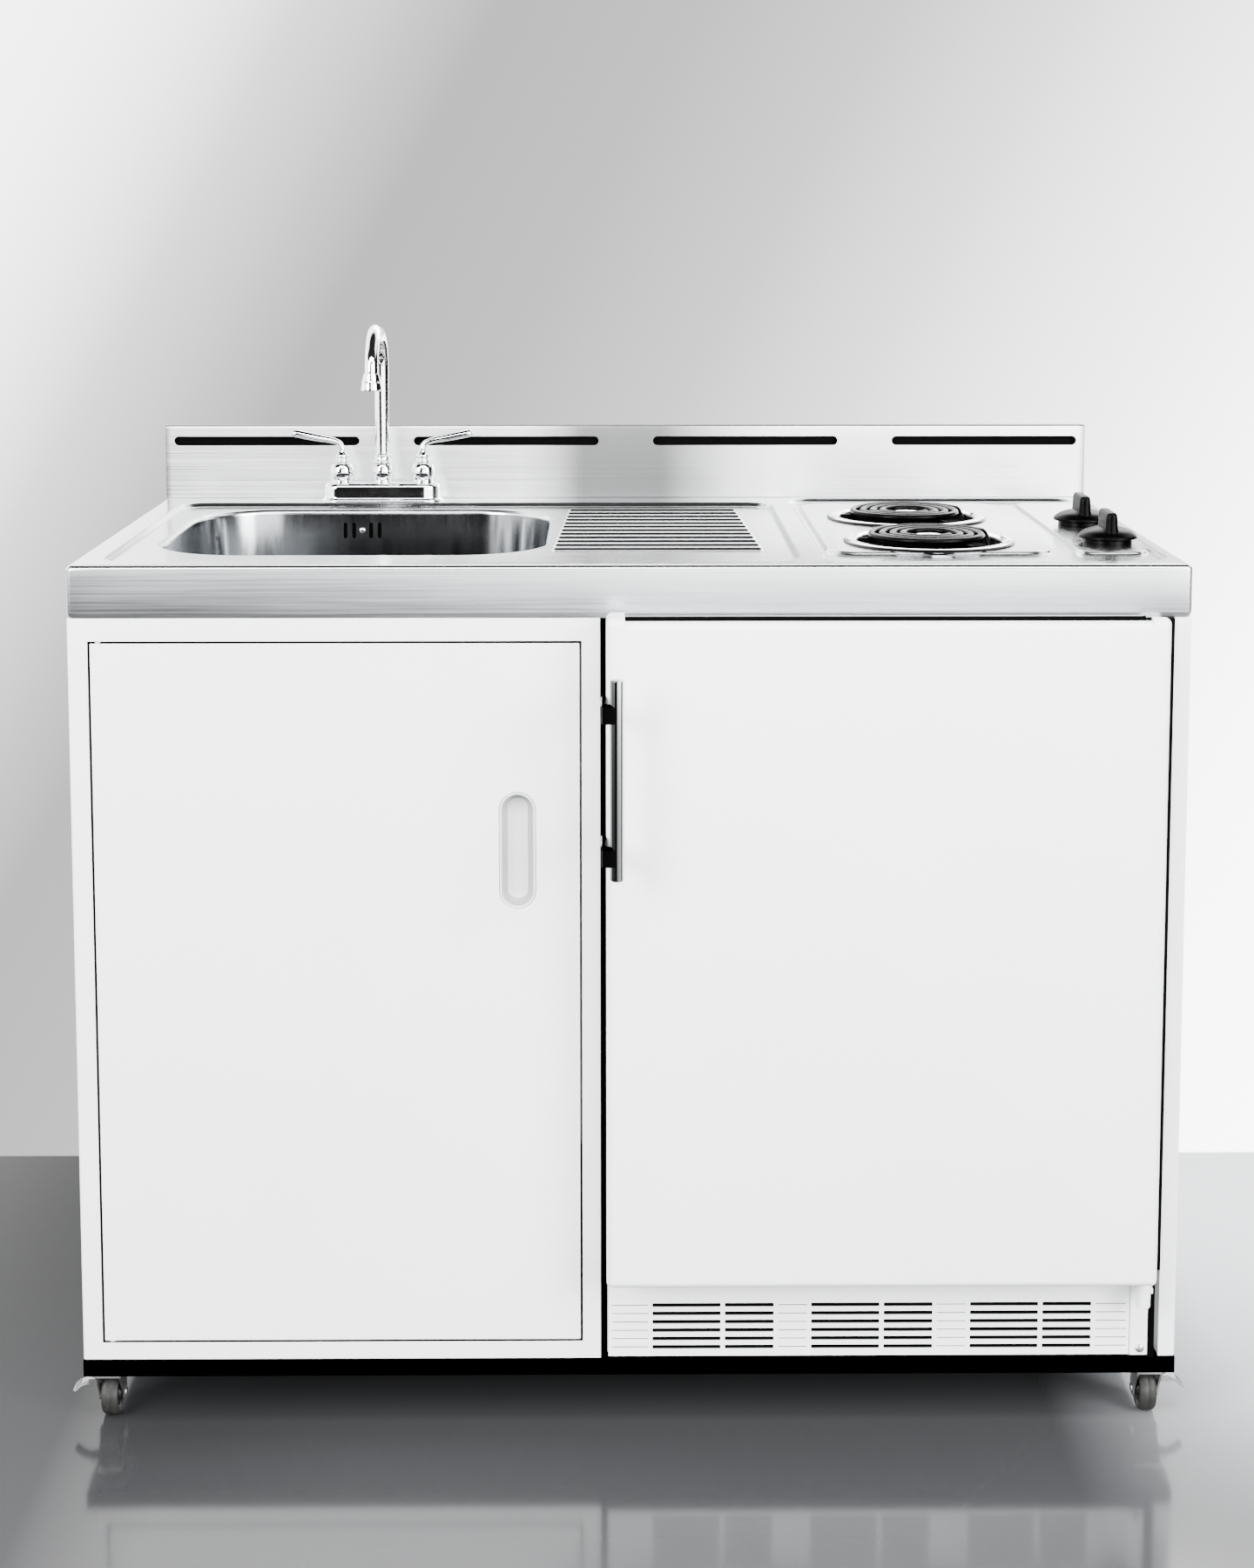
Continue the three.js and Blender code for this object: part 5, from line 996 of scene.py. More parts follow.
def makeBasin(b):
    top, floor, wall = b["top"], b["floor"], b["wall"]
    cx, cy, hole = b["drain"]
    draft = lambda z: b["draft"] * (top - z) / (top - floor)

    def skin(grow, low):
        r = b["floorRadius"] + grow
        rings = []
        for k in range(10):
            a = k / 9 * math.pi / 2
            z = low + r * (1 - math.cos(a))
            rings.append(level(basinLoop(grow - draft(z) - r * (1 - math.sin(a))), z))
        lip = level(basinLoop(grow - draft(low) - r), low)
        towards = [math.atan2(y - cy, x - cx) for x, y, _ in lip]
        drain = [(cx + hole * math.cos(a), cy + hole * math.sin(a), low) for a in towards]
        inner = []
        for k in range(5):
            t = k / 5
            inner.append([(
                p[0] + (q[0] - p[0]) * t, p[1] + (q[1] - p[1]) * t,
                low + 1.1 * math.sin(t * math.pi) * (grow == 0)) for p, q in zip(drain, lip)])
        return inner + rings

    inside = skin(0, floor)
    inside += [level(basinLoop(-draft(z)), z) for z in (890, 915, 940, 960)]
    edge = [
        (0.05, top), (2.0, top + 0.4), (8.2, 973.5), (b["flange"], 973.6), (b["flange"], 971.6),
        (9, 971.4), (3.4, 966.8), (wall, 962)]
    lip = [level(basinLoop(grow), z) for grow, z in edge]
    outside = list(reversed(skin(wall, floor - wall) + [
        level(basinLoop(wall - draft(z)), z) for z in (890, 915, 940)]))
    shell = loft(inside + lip + outside, closed=True)
    z0, z1 = b["slotZ"]
    half = b["slotWidth"] / 2
    rear = worktop["bowl"][3]
    slots = [slab((x - half, x + half, z0, z1, half), rear - 30, rear + 12, "y", 6) for x in b["slots"]]
    makePiece("sinkBowl", carved(shell, *slots), "bowl", "sink_bowl", sharp=35)
    x, z, r = b["screw"]
    face = rear - draft(z)
    head = lathe(x, z, [
        (0, face - 2.6, 0), (r * 0.6, face - 2.5, 1), (r, face - 1, 0.8), (r, face - 0.1, 0),
        (0, face - 0.1, 0)], 4, 28, axis="y")
    slot = box(x - 3, x + 3, face - 4, face - 1.7, z - 0.5, z + 0.5)
    makePiece("overflowScrew", carved(head, slot), "chrome", sharp=40)


makeBasin(basin)

waste = {
    "axis": (-319, 323.5), "drain": 45, "flange": 57, "top": 826.3, "bottom": 782, "nut": 823.7,
    "tail": 756, "pipe": 19, "basketHoles": ((3.4, 6, 11), (2.2, 12, 20), (2.2, 18, 28)), "bend": 42,
    "leg": 590, "outlet": 625, "slip": 7, "wall": 633, "housing": (-371, -311, 526, 544, 935, 963),
    "hose": 9, "tee": 716}


# A turned profile of (radius, height, share) whose rim carries ribs where share is above zero.
def fluted(a, b, profile, ribs, depth, axis="z", sides=None):
    sides = sides or ribs * 6
    rings = []
    for radius, height, share in profile:
        ring = []
        for k in range(sides):
            angle = 2 * math.pi * k / sides
            r = max(radius - depth * share * (0.5 - 0.5 * math.cos(angle * ribs)), leastRadius)
            ring.append(placeAlong[axis](a + r * math.cos(angle), b + r * math.sin(angle), height))
        rings.append(ring)
    return loft(rings)


def slipNut(a, b, low, high, radius, axis="z"):
    profile = [
        (0, low, 0), (radius - 3.5, low, 0), (radius - 1.2, low + 1.2, 0), (radius - 1, low + 3.5, 0),
        (radius, low + 4.5, 1), (radius, high - 3, 1), (radius - 1.5, high - 0.6, 0.4),
        (radius - 4, high, 0), (0, high, 0)]
    return fluted(a, b, profile, 14, 1.8, axis)


def makeWaste(w):
    x, y = w["axis"]
    d, top, bottom, nut, tail = w["drain"], w["top"], w["bottom"], w["nut"], w["tail"]
    inner = d - 5.5
    profile = softened([
        (w["pipe"] - 3, tail, 0), (w["pipe"], tail, 0), (w["pipe"], bottom, 1), (d - 6, bottom, 4),
        (d - 2.5, bottom + 8, 3), (d - 2.5, nut - 14, 0), (d - 0.5, nut - 14, 0),
        (d - 0.5, top - 0.5, 0), (w["flange"], top + 0.1, 0), (w["flange"], top + 1.1, 0.6),
        (w["flange"] - 4, top + 2.5, 2), (d - 2.5, top + 2.1, 1.5), (inner, top - 6, 2),
        (inner, bottom + 10, 3), (d - 9, bottom + 2.5, 3), (w["pipe"] - 3, bottom + 2.5, 1)], 4,
        closed=True)
    makePiece(
        "strainerBody", turned(x, y, profile, 72, closed=True), "chrome", "strainer_body",
        sharp=40)
    ringNut = fluted(x, y, [
        (d - 3, nut - 14, 0), (d + 5, nut - 14, 0), (d + 8, nut - 12, 1), (d + 8, nut - 2, 1),
        (d + 5, nut, 0), (d - 3, nut, 0)], 10, 3, sides=120)
    opening = rod(x, y, d - 0.4, nut - 16, nut + 2, 72)
    makePiece("strainerNut", carved(ringNut, opening), "zinc", sharp=35)

    r = inner - 0.3
    floor = bottom + 2.8
    cup = lathe(x, y, [
        (0, floor, 0), (r - 8, floor, 4), (r - 1, floor + 8, 4), (r - 1, top - 7, 0),
        (r, top - 6.8, 0.3), (r, top - 5, 0.5), (r - 2.5, top - 5, 0.5), (r - 3, floor + 9, 4),
        (r - 9, floor + 2, 4), (4.5, floor + 2, 1.5), (2.6, floor + 20, 3), (7, floor + 22, 1.5),
        (7, floor + 27, 2.5), (0, floor + 29, 0)], 4, 60)
    holes = [
        rod(
            x + reach * math.cos(2 * math.pi * (k + 0.5) / count),
            y + reach * math.sin(2 * math.pi * (k + 0.5) / count), size / 2, floor - 2, floor + 5, 12)
        for size, count, reach in w["basketHoles"] for k in range(count)]
    makePiece(
        "strainerBasket", carved(cup, merged(*holes)), "bowl", "strainer_basket",
        body="strainer_basket", sharp=40)

    bend, leg, out, wall = w["bend"], w["leg"], w["outlet"], w["wall"]
    line = [(y, tail - 0.3), (y, tail - 40), (y, leg)]
    line += [
        (y + bend - bend * math.cos(a), leg - bend * math.sin(a))
        for a in (math.pi * k / 20 for k in range(1, 21))]
    elbow = out - leg
    line += [
        (y + 2 * bend + elbow - elbow * math.cos(a), leg + elbow * math.sin(a))
        for a in (math.pi * k / 20 for k in range(1, 10))]
    line += [(y + 2 * bend + elbow, out), (wall - 80, out), (wall, out)]
    pipe = swept([(x, b, c) for b, c in line], lambda t: roundSection(w["pipe"], 36), (1, 0, 0))
    bore = rod(x, out, w["pipe"] - 3, wall - 60, wall + 4, 36, axis="y")
    nutRadius = w["pipe"] + w["slip"]
    tee = lathe(x, w["tee"], [
        (0, y, 0), (w["hose"] + 3, y, 0), (w["hose"] + 3, y + 29, 0), (w["hose"] + 3, y + 30.8, 0),
        (w["hose"] - 1, y + 30.8, 0), (w["hose"] - 2, y + 20, 0), (0, y + 20, 0)], 3, 32, axis="y")
    nuts = [
        slipNut(x, y, tail - 24, tail - 0.4, nutRadius), slipNut(x, y, leg + 4, leg + 28, nutRadius),
        slipNut(x, out, y + 2 * bend + elbow + 4, y + 2 * bend + elbow + 26, nutRadius, "y")]
    makePiece(
        "trapPipe", merged(carved(pipe, bore), tee, *nuts), "pipe", "p_trap", sharp=38)

    hx0, hx1, hy0, hy1, hz0, hz1 = w["housing"]
    shell = slab((hx0, hx1, hz0, hz1, 3), hy0, hy1, "y", 5)
    hollow = slab((hx0 + 2, hx1 - 2, hz0 + 2, hz1 - 2, 2), hy0 - 2, hy1 - 2, "y", 5)
    bowlOut = loft([level(basinLoop(
        basin["wall"] + 0.3 - basin["draft"] * (basin["top"] - z) / 143), z) for z in (850, 969)])
    hoseY = hy1 - 7
    path = curvePoints([
        (-341, hoseY, hz0 + 1), (-341, hoseY, 879), (-341, hoseY + 4, 806),
        (-330, hoseY - 40, w["tee"] + 12), (x, y + 91, w["tee"]), (x, y + 31.3, w["tee"])], 56)
    ribbedAt = lambda t: roundSection(w["hose"] - 0.1 - (
        0.9 - 0.9 * math.cos(2 * math.pi * 56 * t) if 0.06 < t < 0.94 else 0), 20)
    makePiece(
        "overflowHousing", carved(shell, hollow, bowlOut), "pipe", "overflow_duct",
        bevel=0.4)
    makePiece(
        "overflowShade", box(hx0 + 3, hx1 - 3, 530, 531, hz0 + 3, hz1 - 3), "inside",
        bevel=0.3)
    makePiece("overflowHose", swept(path, ribbedAt, (1, 0, 0)), "pipe", sharp=60)


makeWaste(waste)
print("bowl and waste made")

tap = {
    "axis": (-320, 587), "handles": (-373, -267), "foot": 981, "plate": (-399.5, -240.5, 563, 611, 23.5),
    "top": 1005, "bonnet": 1031, "stem": 5, "stemTop": 1043, "reach": 66, "riser": 9, "bend": 69,
    "arch": 49, "crown": 1216, "drop": 8, "mouth": 13.2, "shank": 10, "shankNut": 21}


def makeTap(t):
    x, y = t["axis"]
    foot, top, bonnet = t["foot"], t["top"], t["bonnet"]
    profile = softened([
        (0, foot, 0), (0, foot + 2.2, 1.2), (-3, foot + 4.2, 2.4), (-3.6, top - 4, 3),
        (-6.5, top - 0.6, 3), (-11, top, 0)], 5)
    plate = loft([level(roundLoop(t["plate"], grow, 20, (14, 1)), z) for grow, z in profile])
    barrel = [
        (13.6, top - 1, 0), (14.2, top + 1.4, 0.8), (13.4, top + 3.4, 1), (15.8, top + 9, 4),
        (16, bonnet - 9, 4), (13.2, bonnet - 1.6, 4), (9.8, bonnet, 1), (0, bonnet, 0)]
    bells = [lathe(at, y, [(0, top - 1, 0)] + barrel, 6, 56) for at in t["handles"]]
    bells.append(lathe(x, y, [(0, top - 1, 0)] + [(r * 0.88, z, soft) for r, z, soft in barrel], 6, 56))
    stems = [lathe(at, y, [
        (0, bonnet - 1, 0), (t["stem"], bonnet - 1, 0), (t["stem"], t["stemTop"], 0.6),
        (0, t["stemTop"], 0)], 3, 24) for at in t["handles"]]
    makePiece("faucetBase", merged(plate, *bells, *stems), "chrome", "faucet_base", sharp=50)

    for side, at in zip(("left", "right"), t["handles"]):
        out = -1 if side == "left" else 1
        z = bonnet + 0.4
        hub = lathe(at, y, [
            (t["stem"] + 0.3, z, 0), (8.8, z, 0.4), (9.8, z + 1.2, 0.8), (9.8, z + 3.2, 0.8),
            (8.4, z + 4.4, 0.8), (8.4, z + 6.4, 0.8), (9.4, z + 7.6, 0.8), (9.2, z + 10, 1.6),
            (6, z + 13, 2.5), (4.6, z + 17, 2), (0, z + 17.4, 0), (0, z + 12.4, 0),
            (t["stem"] + 0.3, z + 12.4, 0)], 4, 48, closed=True)
        reach = t["reach"]
        line = curvePoints([
            (at, y, z + 12), (at, y, z + 18), (at + out * 3, y, z + 24.5), (at + out * 12, y, z + 28.5),
            (at + out * 30, y, z + 32), (at + out * 50, y, z + 36), (at + out * reach, y, z + 39.2)], 9)

        def paddle(share):
            grow = ease((share - 0.36) / 0.5)
            neck = ease((share - 0.15) / 0.2)
            high = 4.5 - 0.9 * neck + 1.5 * grow
            wide = 4.5 - 0.5 * neck + 2.6 * grow
            tip = max(0, (share - 0.92) / 0.08)
            round1 = math.sqrt(max(0.004, 1 - tip * tip))
            return [(a * wide * round1, b * high * round1) for a, b in roundSection(1, 28)]

        makePiece(
            "lever_" + side + "_hub", hub, "chrome", "lever_" + side, body="lever_" + side,
            sharp=50)
        makePiece(
            "lever_" + side + "_arm", swept(line, paddle, (0, 1, 0)), "chrome",
            body="lever_" + side, sharp=70)
        r, nut = t["shank"], t["shankNut"]
        low, high, under = foot - 55, foot + 7, unit["slab"]
        turns = [(0, low, 0), (r - 1, low, 0)]
        count = int((high - low) / 2)
        for k in range(count):
            turns += [(r, low + 0.6 + k * 2, 0), (r - 0.9, low + 1.6 + k * 2, 0)]
        thread = turned(at, y, [(a, min(b, high)) for a, b, _ in turns] + [(0, high)], 24)
        wing = fluted(at, y, [
            (r - 1, under - 11, 0), (nut - 4, under - 11, 0), (nut - 4, under - 8.3, 0),
            (nut, under - 8, 1), (nut, under - 1.4, 1), (nut - 2, under - 0.3, 0),
            (r - 1, under - 0.3, 0)], 6, 5)
        makePiece("faucetShank_" + side, merged(thread, wing), "zinc", "shank_" + side, sharp=40)

    r, bend, rise = t["riser"], t["bend"], t["arch"]
    bendZ = t["crown"] - r - rise
    line = [(x, y, bonnet - 17.6), (x, y, bonnet + 20), (x, y, bendZ - 40), (x, y, bendZ - 2)]
    line += [
        (x, y - bend + bend * math.cos(a), bendZ + rise * math.sin(a))
        for a in (math.pi * k / 40 for k in range(41))]
    line += [(x, y - 2 * bend, bendZ - t["drop"])]
    tube = swept(line, lambda share: roundSection(r - 0.9 * ease((share - 0.55) / 0.4), 40), (1, 0, 0))
    collar = lathe(x, y, [
        (0, bonnet + 0.4, 0), (12.4, bonnet + 0.4, 0), (12.6, bonnet + 2.4, 1), (10.8, bonnet + 4, 1),
        (10.2, bonnet + 8, 1), (10.9, bonnet + 9.6, 0.8), (9.3, bonnet + 12, 1), (8.6, bonnet + 12, 0),
        (0, bonnet + 12, 0)], 4, 48)
    mouthY, mouthZ = y - 2 * bend, bendZ - t["drop"]
    bore = rod(x, mouthY, r - 2.2, mouthZ - 3, mouthZ + 7, 28)
    makePiece(
        "spoutNeck", merged(carved(tube, bore), collar), "chrome", "spout", body="spout",
        sharp=50)
    m, z1 = t["mouth"], mouthZ + 6
    z0 = z1 - 20
    head = softened([
        (r - 0.6, z1 + 1.5, 0), (r + 0.6, z1 + 1.6, 0.6), (r + 1.4, z1 - 3, 2), (m - 1.6, z1 - 8, 3),
        (m - 0.8, z1 - 9.4, 0.5), (m - 1.3, z1 - 10.2, 0.5), (m - 0.4, z0 + 4, 2), (m, z0 + 2, 0.8),
        (m - 0.4, z0, 0.6), (m - 2.6, z0, 0.5), (m - 3.2, z0 + 3, 0.5), (2.6, z0 + 3.6, 0.5),
        (2.6, mouthZ - 0.4, 0), (r - 0.6, mouthZ - 0.4, 0)], 4, closed=True)
    makePiece(
        "aeratorHead", turned(x, mouthY, head, 48, closed=True), "chrome", "aerator",
        body="spout", sharp=50)


makeTap(tap)
print("faucet made")

hob = {
    "x": 348, "rings": {"front": 194, "rear": 408}, "plateau": 980, "pan": 99, "well": 83.5, "trim": 4,
    "depth": 26, "sheet": 1.2, "turns": 3.85, "inner": 25, "outer": 71.5, "tube": 3.8, "lift": 8,
    "legDrop": 19, "legGap": 18, "terminal": 100, "armHigh": 7, "armThick": 2.4, "medallion": 19,
    "tray": (216, 592, 70, 560, 932, 974), "knobX": 552, "knobs": {"front": 176, "rear": 334},
    "switch": (42, 933.5, 978)}


def coilLine(h):
    half, tip = h["legGap"] / 2, h["terminal"] + 12
    high, low = h["plateau"] + h["lift"], h["plateau"] - h["legDrop"]
    steps = round(h["turns"] * 54)
    spiral = []
    for i in range(steps + 1):
        r = h["inner"] + (h["outer"] - h["inner"]) * i / steps
        a = -math.pi / 6 - i / steps * h["turns"] * 2 * math.pi
        spiral.append(Vector((r * math.cos(a), r * math.sin(a), high)))

    def bend(p, q, r, s, steps=14):
        return [
            p * (1 - t) ** 3 + q * 3 * t * (1 - t) ** 2 + r * 3 * t * t * (1 - t) + s * t ** 3
            for t in (k / steps for k in range(steps + 1))]

    enter = spiral[0] + (spiral[0] - spiral[1]).normalized() * 9
    leave = spiral[-1] + (spiral[-1] - spiral[-2]).normalized() * 12
    inner = bend(
        Vector((h["inner"] + 22, -half, low)), Vector((h["inner"] + 8, -half, low)), enter, spiral[0])
    outer = bend(spiral[-1], leave, Vector((h["outer"], half, low)), Vector((h["outer"] + 8.5, half, low)))
    return [Vector((tip, -half, low))] + inner + spiral[1:] + outer[1:] + [Vector((tip, half, low))]


def makeHob(h):
    x, top = h["x"], h["plateau"]
    r, well, t, floor = h["pan"], h["well"], h["sheet"], top - h["depth"]
    half = h["legGap"] / 2 + h["tube"] + 3
    low, high = top - h["legDrop"], top + h["lift"]
    line = coilLine(h)
    tube = h["tube"]
    flat = [(a * tube, min(b * tube, tube * 0.68)) for a, b in roundSection(1, 16)]
    seat = high - tube + 0.6
    for spot, y in h["rings"].items():
        profile = softened([
            (r, top + 0.05, 0), (r, top + t, 0.5), (r - 3.5, top + h["trim"] - 0.3, 2.5),
            (r - 8, top + h["trim"], 3), (well + 4.5, top + h["trim"] - 0.2, 2),
            (well, top + h["trim"] - 3, 2), (well - 1.5, top - 9, 4), (well - 10, floor + 4, 7),
            (well - 21, floor + 0.6, 5), (18, floor, 0.6), (15.4, floor - 1, 0.4), (15.4, floor - t, 0),
            (well - 20, floor - t, 5), (well - 9, floor + 2.4, 7), (well, top - 10, 4),
            (well + t, top - 0.5, 0.5), (r - 1, top + 0.05, 0)], 5, closed=True)
        pan = turned(x, y, profile, 96, closed=True)
        slot = slab(
            (y - half, y + half, low - tube - 2, low + tube + 5, 4), x + well - 22, x + well + 4, "x", 6)
        # The pan's well and its outer flank are painted near black, as painted shade.
        makePiece(
            "dripPan_" + spot, carved(pan, slot), "chrome", "drip_pan_" + spot, sharp=45,
            second="panPaintedShade",
            where=lambda a, b, c, y=y: math.hypot(a - x, b - y) < well + 0.6 and c > floor - 0.2
            or math.hypot(a - x, b - y) > r - 2.6)
        placed = [(p.x + x, p.y + y, p.z) for p in line]
        makePiece(
            "coilTube_" + spot, swept(placed, lambda share: flat, (0, 1, 0)), "oxide",
            "coil_" + spot, sharp=48, second="sheen", where=lambda a, b, c: c > high + tube * 0.55)
        arms = []
        for turn in (60, 180, 300):
            a = math.radians(turn)
            flatArm = [(9, -1), (well - 1, -1), (well - 1, 1), (9, 1)]
            outline = [(
                x + s * math.cos(a) - d * h["armThick"] / 2 * math.sin(a),
                y + s * math.sin(a) + d * h["armThick"] / 2 * math.cos(a)) for s, d in flatArm]
            arms.append(extruded(outline, seat - h["armHigh"], seat, "z"))
        makePiece("coilArms_" + spot, merged(*arms), "black", bevel=0.35)
        m = h["medallion"]
        dish = softened([
            (0, seat - 3, 0), (m - 4, seat - 3, 1), (m, seat + 1, 1), (m, seat + 2.4, 0.8),
            (m - 3, seat + 3.2, 1), (m - 6, seat + 2.2, 2), (0, seat + 1.8, 0)], 4)
        makePiece("coilBadge_" + spot, turned(x, y, dish, 48), "chrome", sharp=50)

    x0, x1, y0, y1, z0, z1 = h["tray"]
    sheet = 1.5
    shell = slab((x0, x1, y0, y1, 3), z0, z1 - 0.1, "z", 4)
    inside = slab((x0 + sheet, x1 - sheet, y0 + sheet, y1 - sheet, 2), z0 + sheet, z1 + 5, "z", 4)
    blocks = [slab(
        (x + h["terminal"], x + h["terminal"] + 30, y - 19, y + 19, 2), z0 + 0.5, unit["slab"] - 0.3,
        "z", 3) for y in h["rings"].values()]
    bores = [rod(
        y + side * h["legGap"] / 2, low, tube + 0.4, x + h["terminal"] - 4, x + h["terminal"] + 16, 20,
        axis="x") for y in h["rings"].values() for side in (-1, 1)]
    makePiece("hobTray", carved(shell, inside), "galvanised", "hob_box", bevel=0.4)
    makePiece("hobTerminals", carved(merged(*blocks), merged(*bores)), "black", bevel=0.6)

    size, low, high = h["switch"]
    for spot, y in h["knobs"].items():
        kx = h["knobX"]
        hs = size / 2
        body = slab((kx - hs, kx + hs, y - hs, y + hs, 2), low, unit["slab"] - 0.3, "z", 4)
        neck = lathe(kx, y, [
            (3.4, low + 20, 0), (5.5, low + 20, 0), (7.4, unit["slab"] - 0.5, 0), (7.4, high, 0.6),
            (3.4, high, 0)], 3, 32, closed=True)
        makePiece(
            "switchBody_" + spot, merged(carved(body, rod(kx, y, 3.4, low + 13, high + 4, 24)), neck),
            "black", "switch_" + spot, bevel=0.5, sharp=40)


makeHob(hob)
print("hob made")

knobShape = {
    "x": 552, "base": 987, "skirt": 33.5, "dome": 1000, "top": 1018, "wide": 15, "long": 56, "bore": 3.4,
    "shaft": (3, 946.4, 1005), "bezel": (28, 980.05, 986.4)}


def makeKnobs(k):
    x, base, r, dome, top = k["x"], k["base"], k["skirt"], k["dome"], k["top"]
    for spot, y in hob["knobs"].items():
        profile = softened([
            (k["bore"], base + 3, 0), (r - 3, base + 3, 0), (r - 2.2, base, 0.8), (r, base, 0.8),
            (r, base + 2.6, 0.8), (r - 2.4, base + 5.4, 2.5), (r * 0.8, base + 8.6, 5),
            (r * 0.52, dome - 1.2, 5), (r * 0.3, dome, 3), (0, dome + 0.1, 0)], 5)
        skirt = turned(x, y, [(0, base + 3)] + profile[1:], 72)
        w, l = k["wide"] / 2, k["long"] / 2

        def grip(inset, z):
            return level(roundLoop((x - w, x + w, y - l, y + l, w - 0.4), -inset, 10, (1, 10)), z)

        blade = loft([
            grip(-0.6, base + 4), grip(-0.4, base + 8), grip(0.4, base + 14), grip(0.9, top - 7),
            grip(1.4, top - 3), grip(2.2, top - 1.2), grip(3.4, top - 0.2), grip(4.4, top)])
        hub = rod(x, y, 8, base + 0.2, base + 5, 32)
        bore = rod(x, y, k["bore"], base - 2, 1008.6, 24)
        solid = carved(skirt, blade, hub, operation="UNION")
        makePiece(
            "knob_" + spot, carved(solid, bore), "black", "knob_" + spot,
            body="knob_" + spot, sharp=38)
        mark = extruded(softened([
            (x - 0.9, top - 10, 0.4), (x + 0.9, top - 10, 0.4), (x + 0.9, top - 1.4, 0.4),
            (x - 0.9, top - 1.4, 0.4)], 3, closed=True), y - l + 0.1, y - l + 6, "y")
        makePiece("knobPointer_" + spot, mark, "black", body="knob_" + spot, bevel=0.2)
        line, low, high = k["shaft"]
        flat = [(a, min(b, line * 0.6)) for a, b in circleLoop(0, 0, line, 32)]
        shaft = merged(
            extruded([(x + a, y + b) for a, b in circleLoop(0, 0, line, 32)], low, 984, "z"),
            extruded([(x + a, y + b) for a, b in flat], 983.5, high, "z"))
        makePiece(
            "switchShaft_" + spot, shaft, "zinc", "switch_shaft_" + spot,
            body="switch_shaft_" + spot, bevel=0.25)
        ring, z0, z1 = k["bezel"]
        makePiece("knobBezel_" + spot, lathe(x, y, [
            (8.4, z0, 0), (ring, z0, 0), (ring - 0.4, z1 - 0.4, 0.6), (ring - 1.6, z1, 0.5),
            (8.4, z1 - 0.5, 0)], 3, 64, closed=True), "black", sharp=40)


makeKnobs(knobShape)

cooler = {
    "case": (-25, 577, 0, 540, 89, 916), "cavity": (10, 542, -1, 505, 223, 881), "hump": (375, 328),
    "plinth": 188, "edge": 6, "feet": (60, 480), "shelves": (560, 332), "ledge": 8, "ledgeFront": 110,
    "freezer": (60, 492, 130, 485, 730.7, 880.7), "drawer": (24, 528, 95, 369, 223.3, 321.3),
    "compressor": (387, 474, 93.3, 60)}


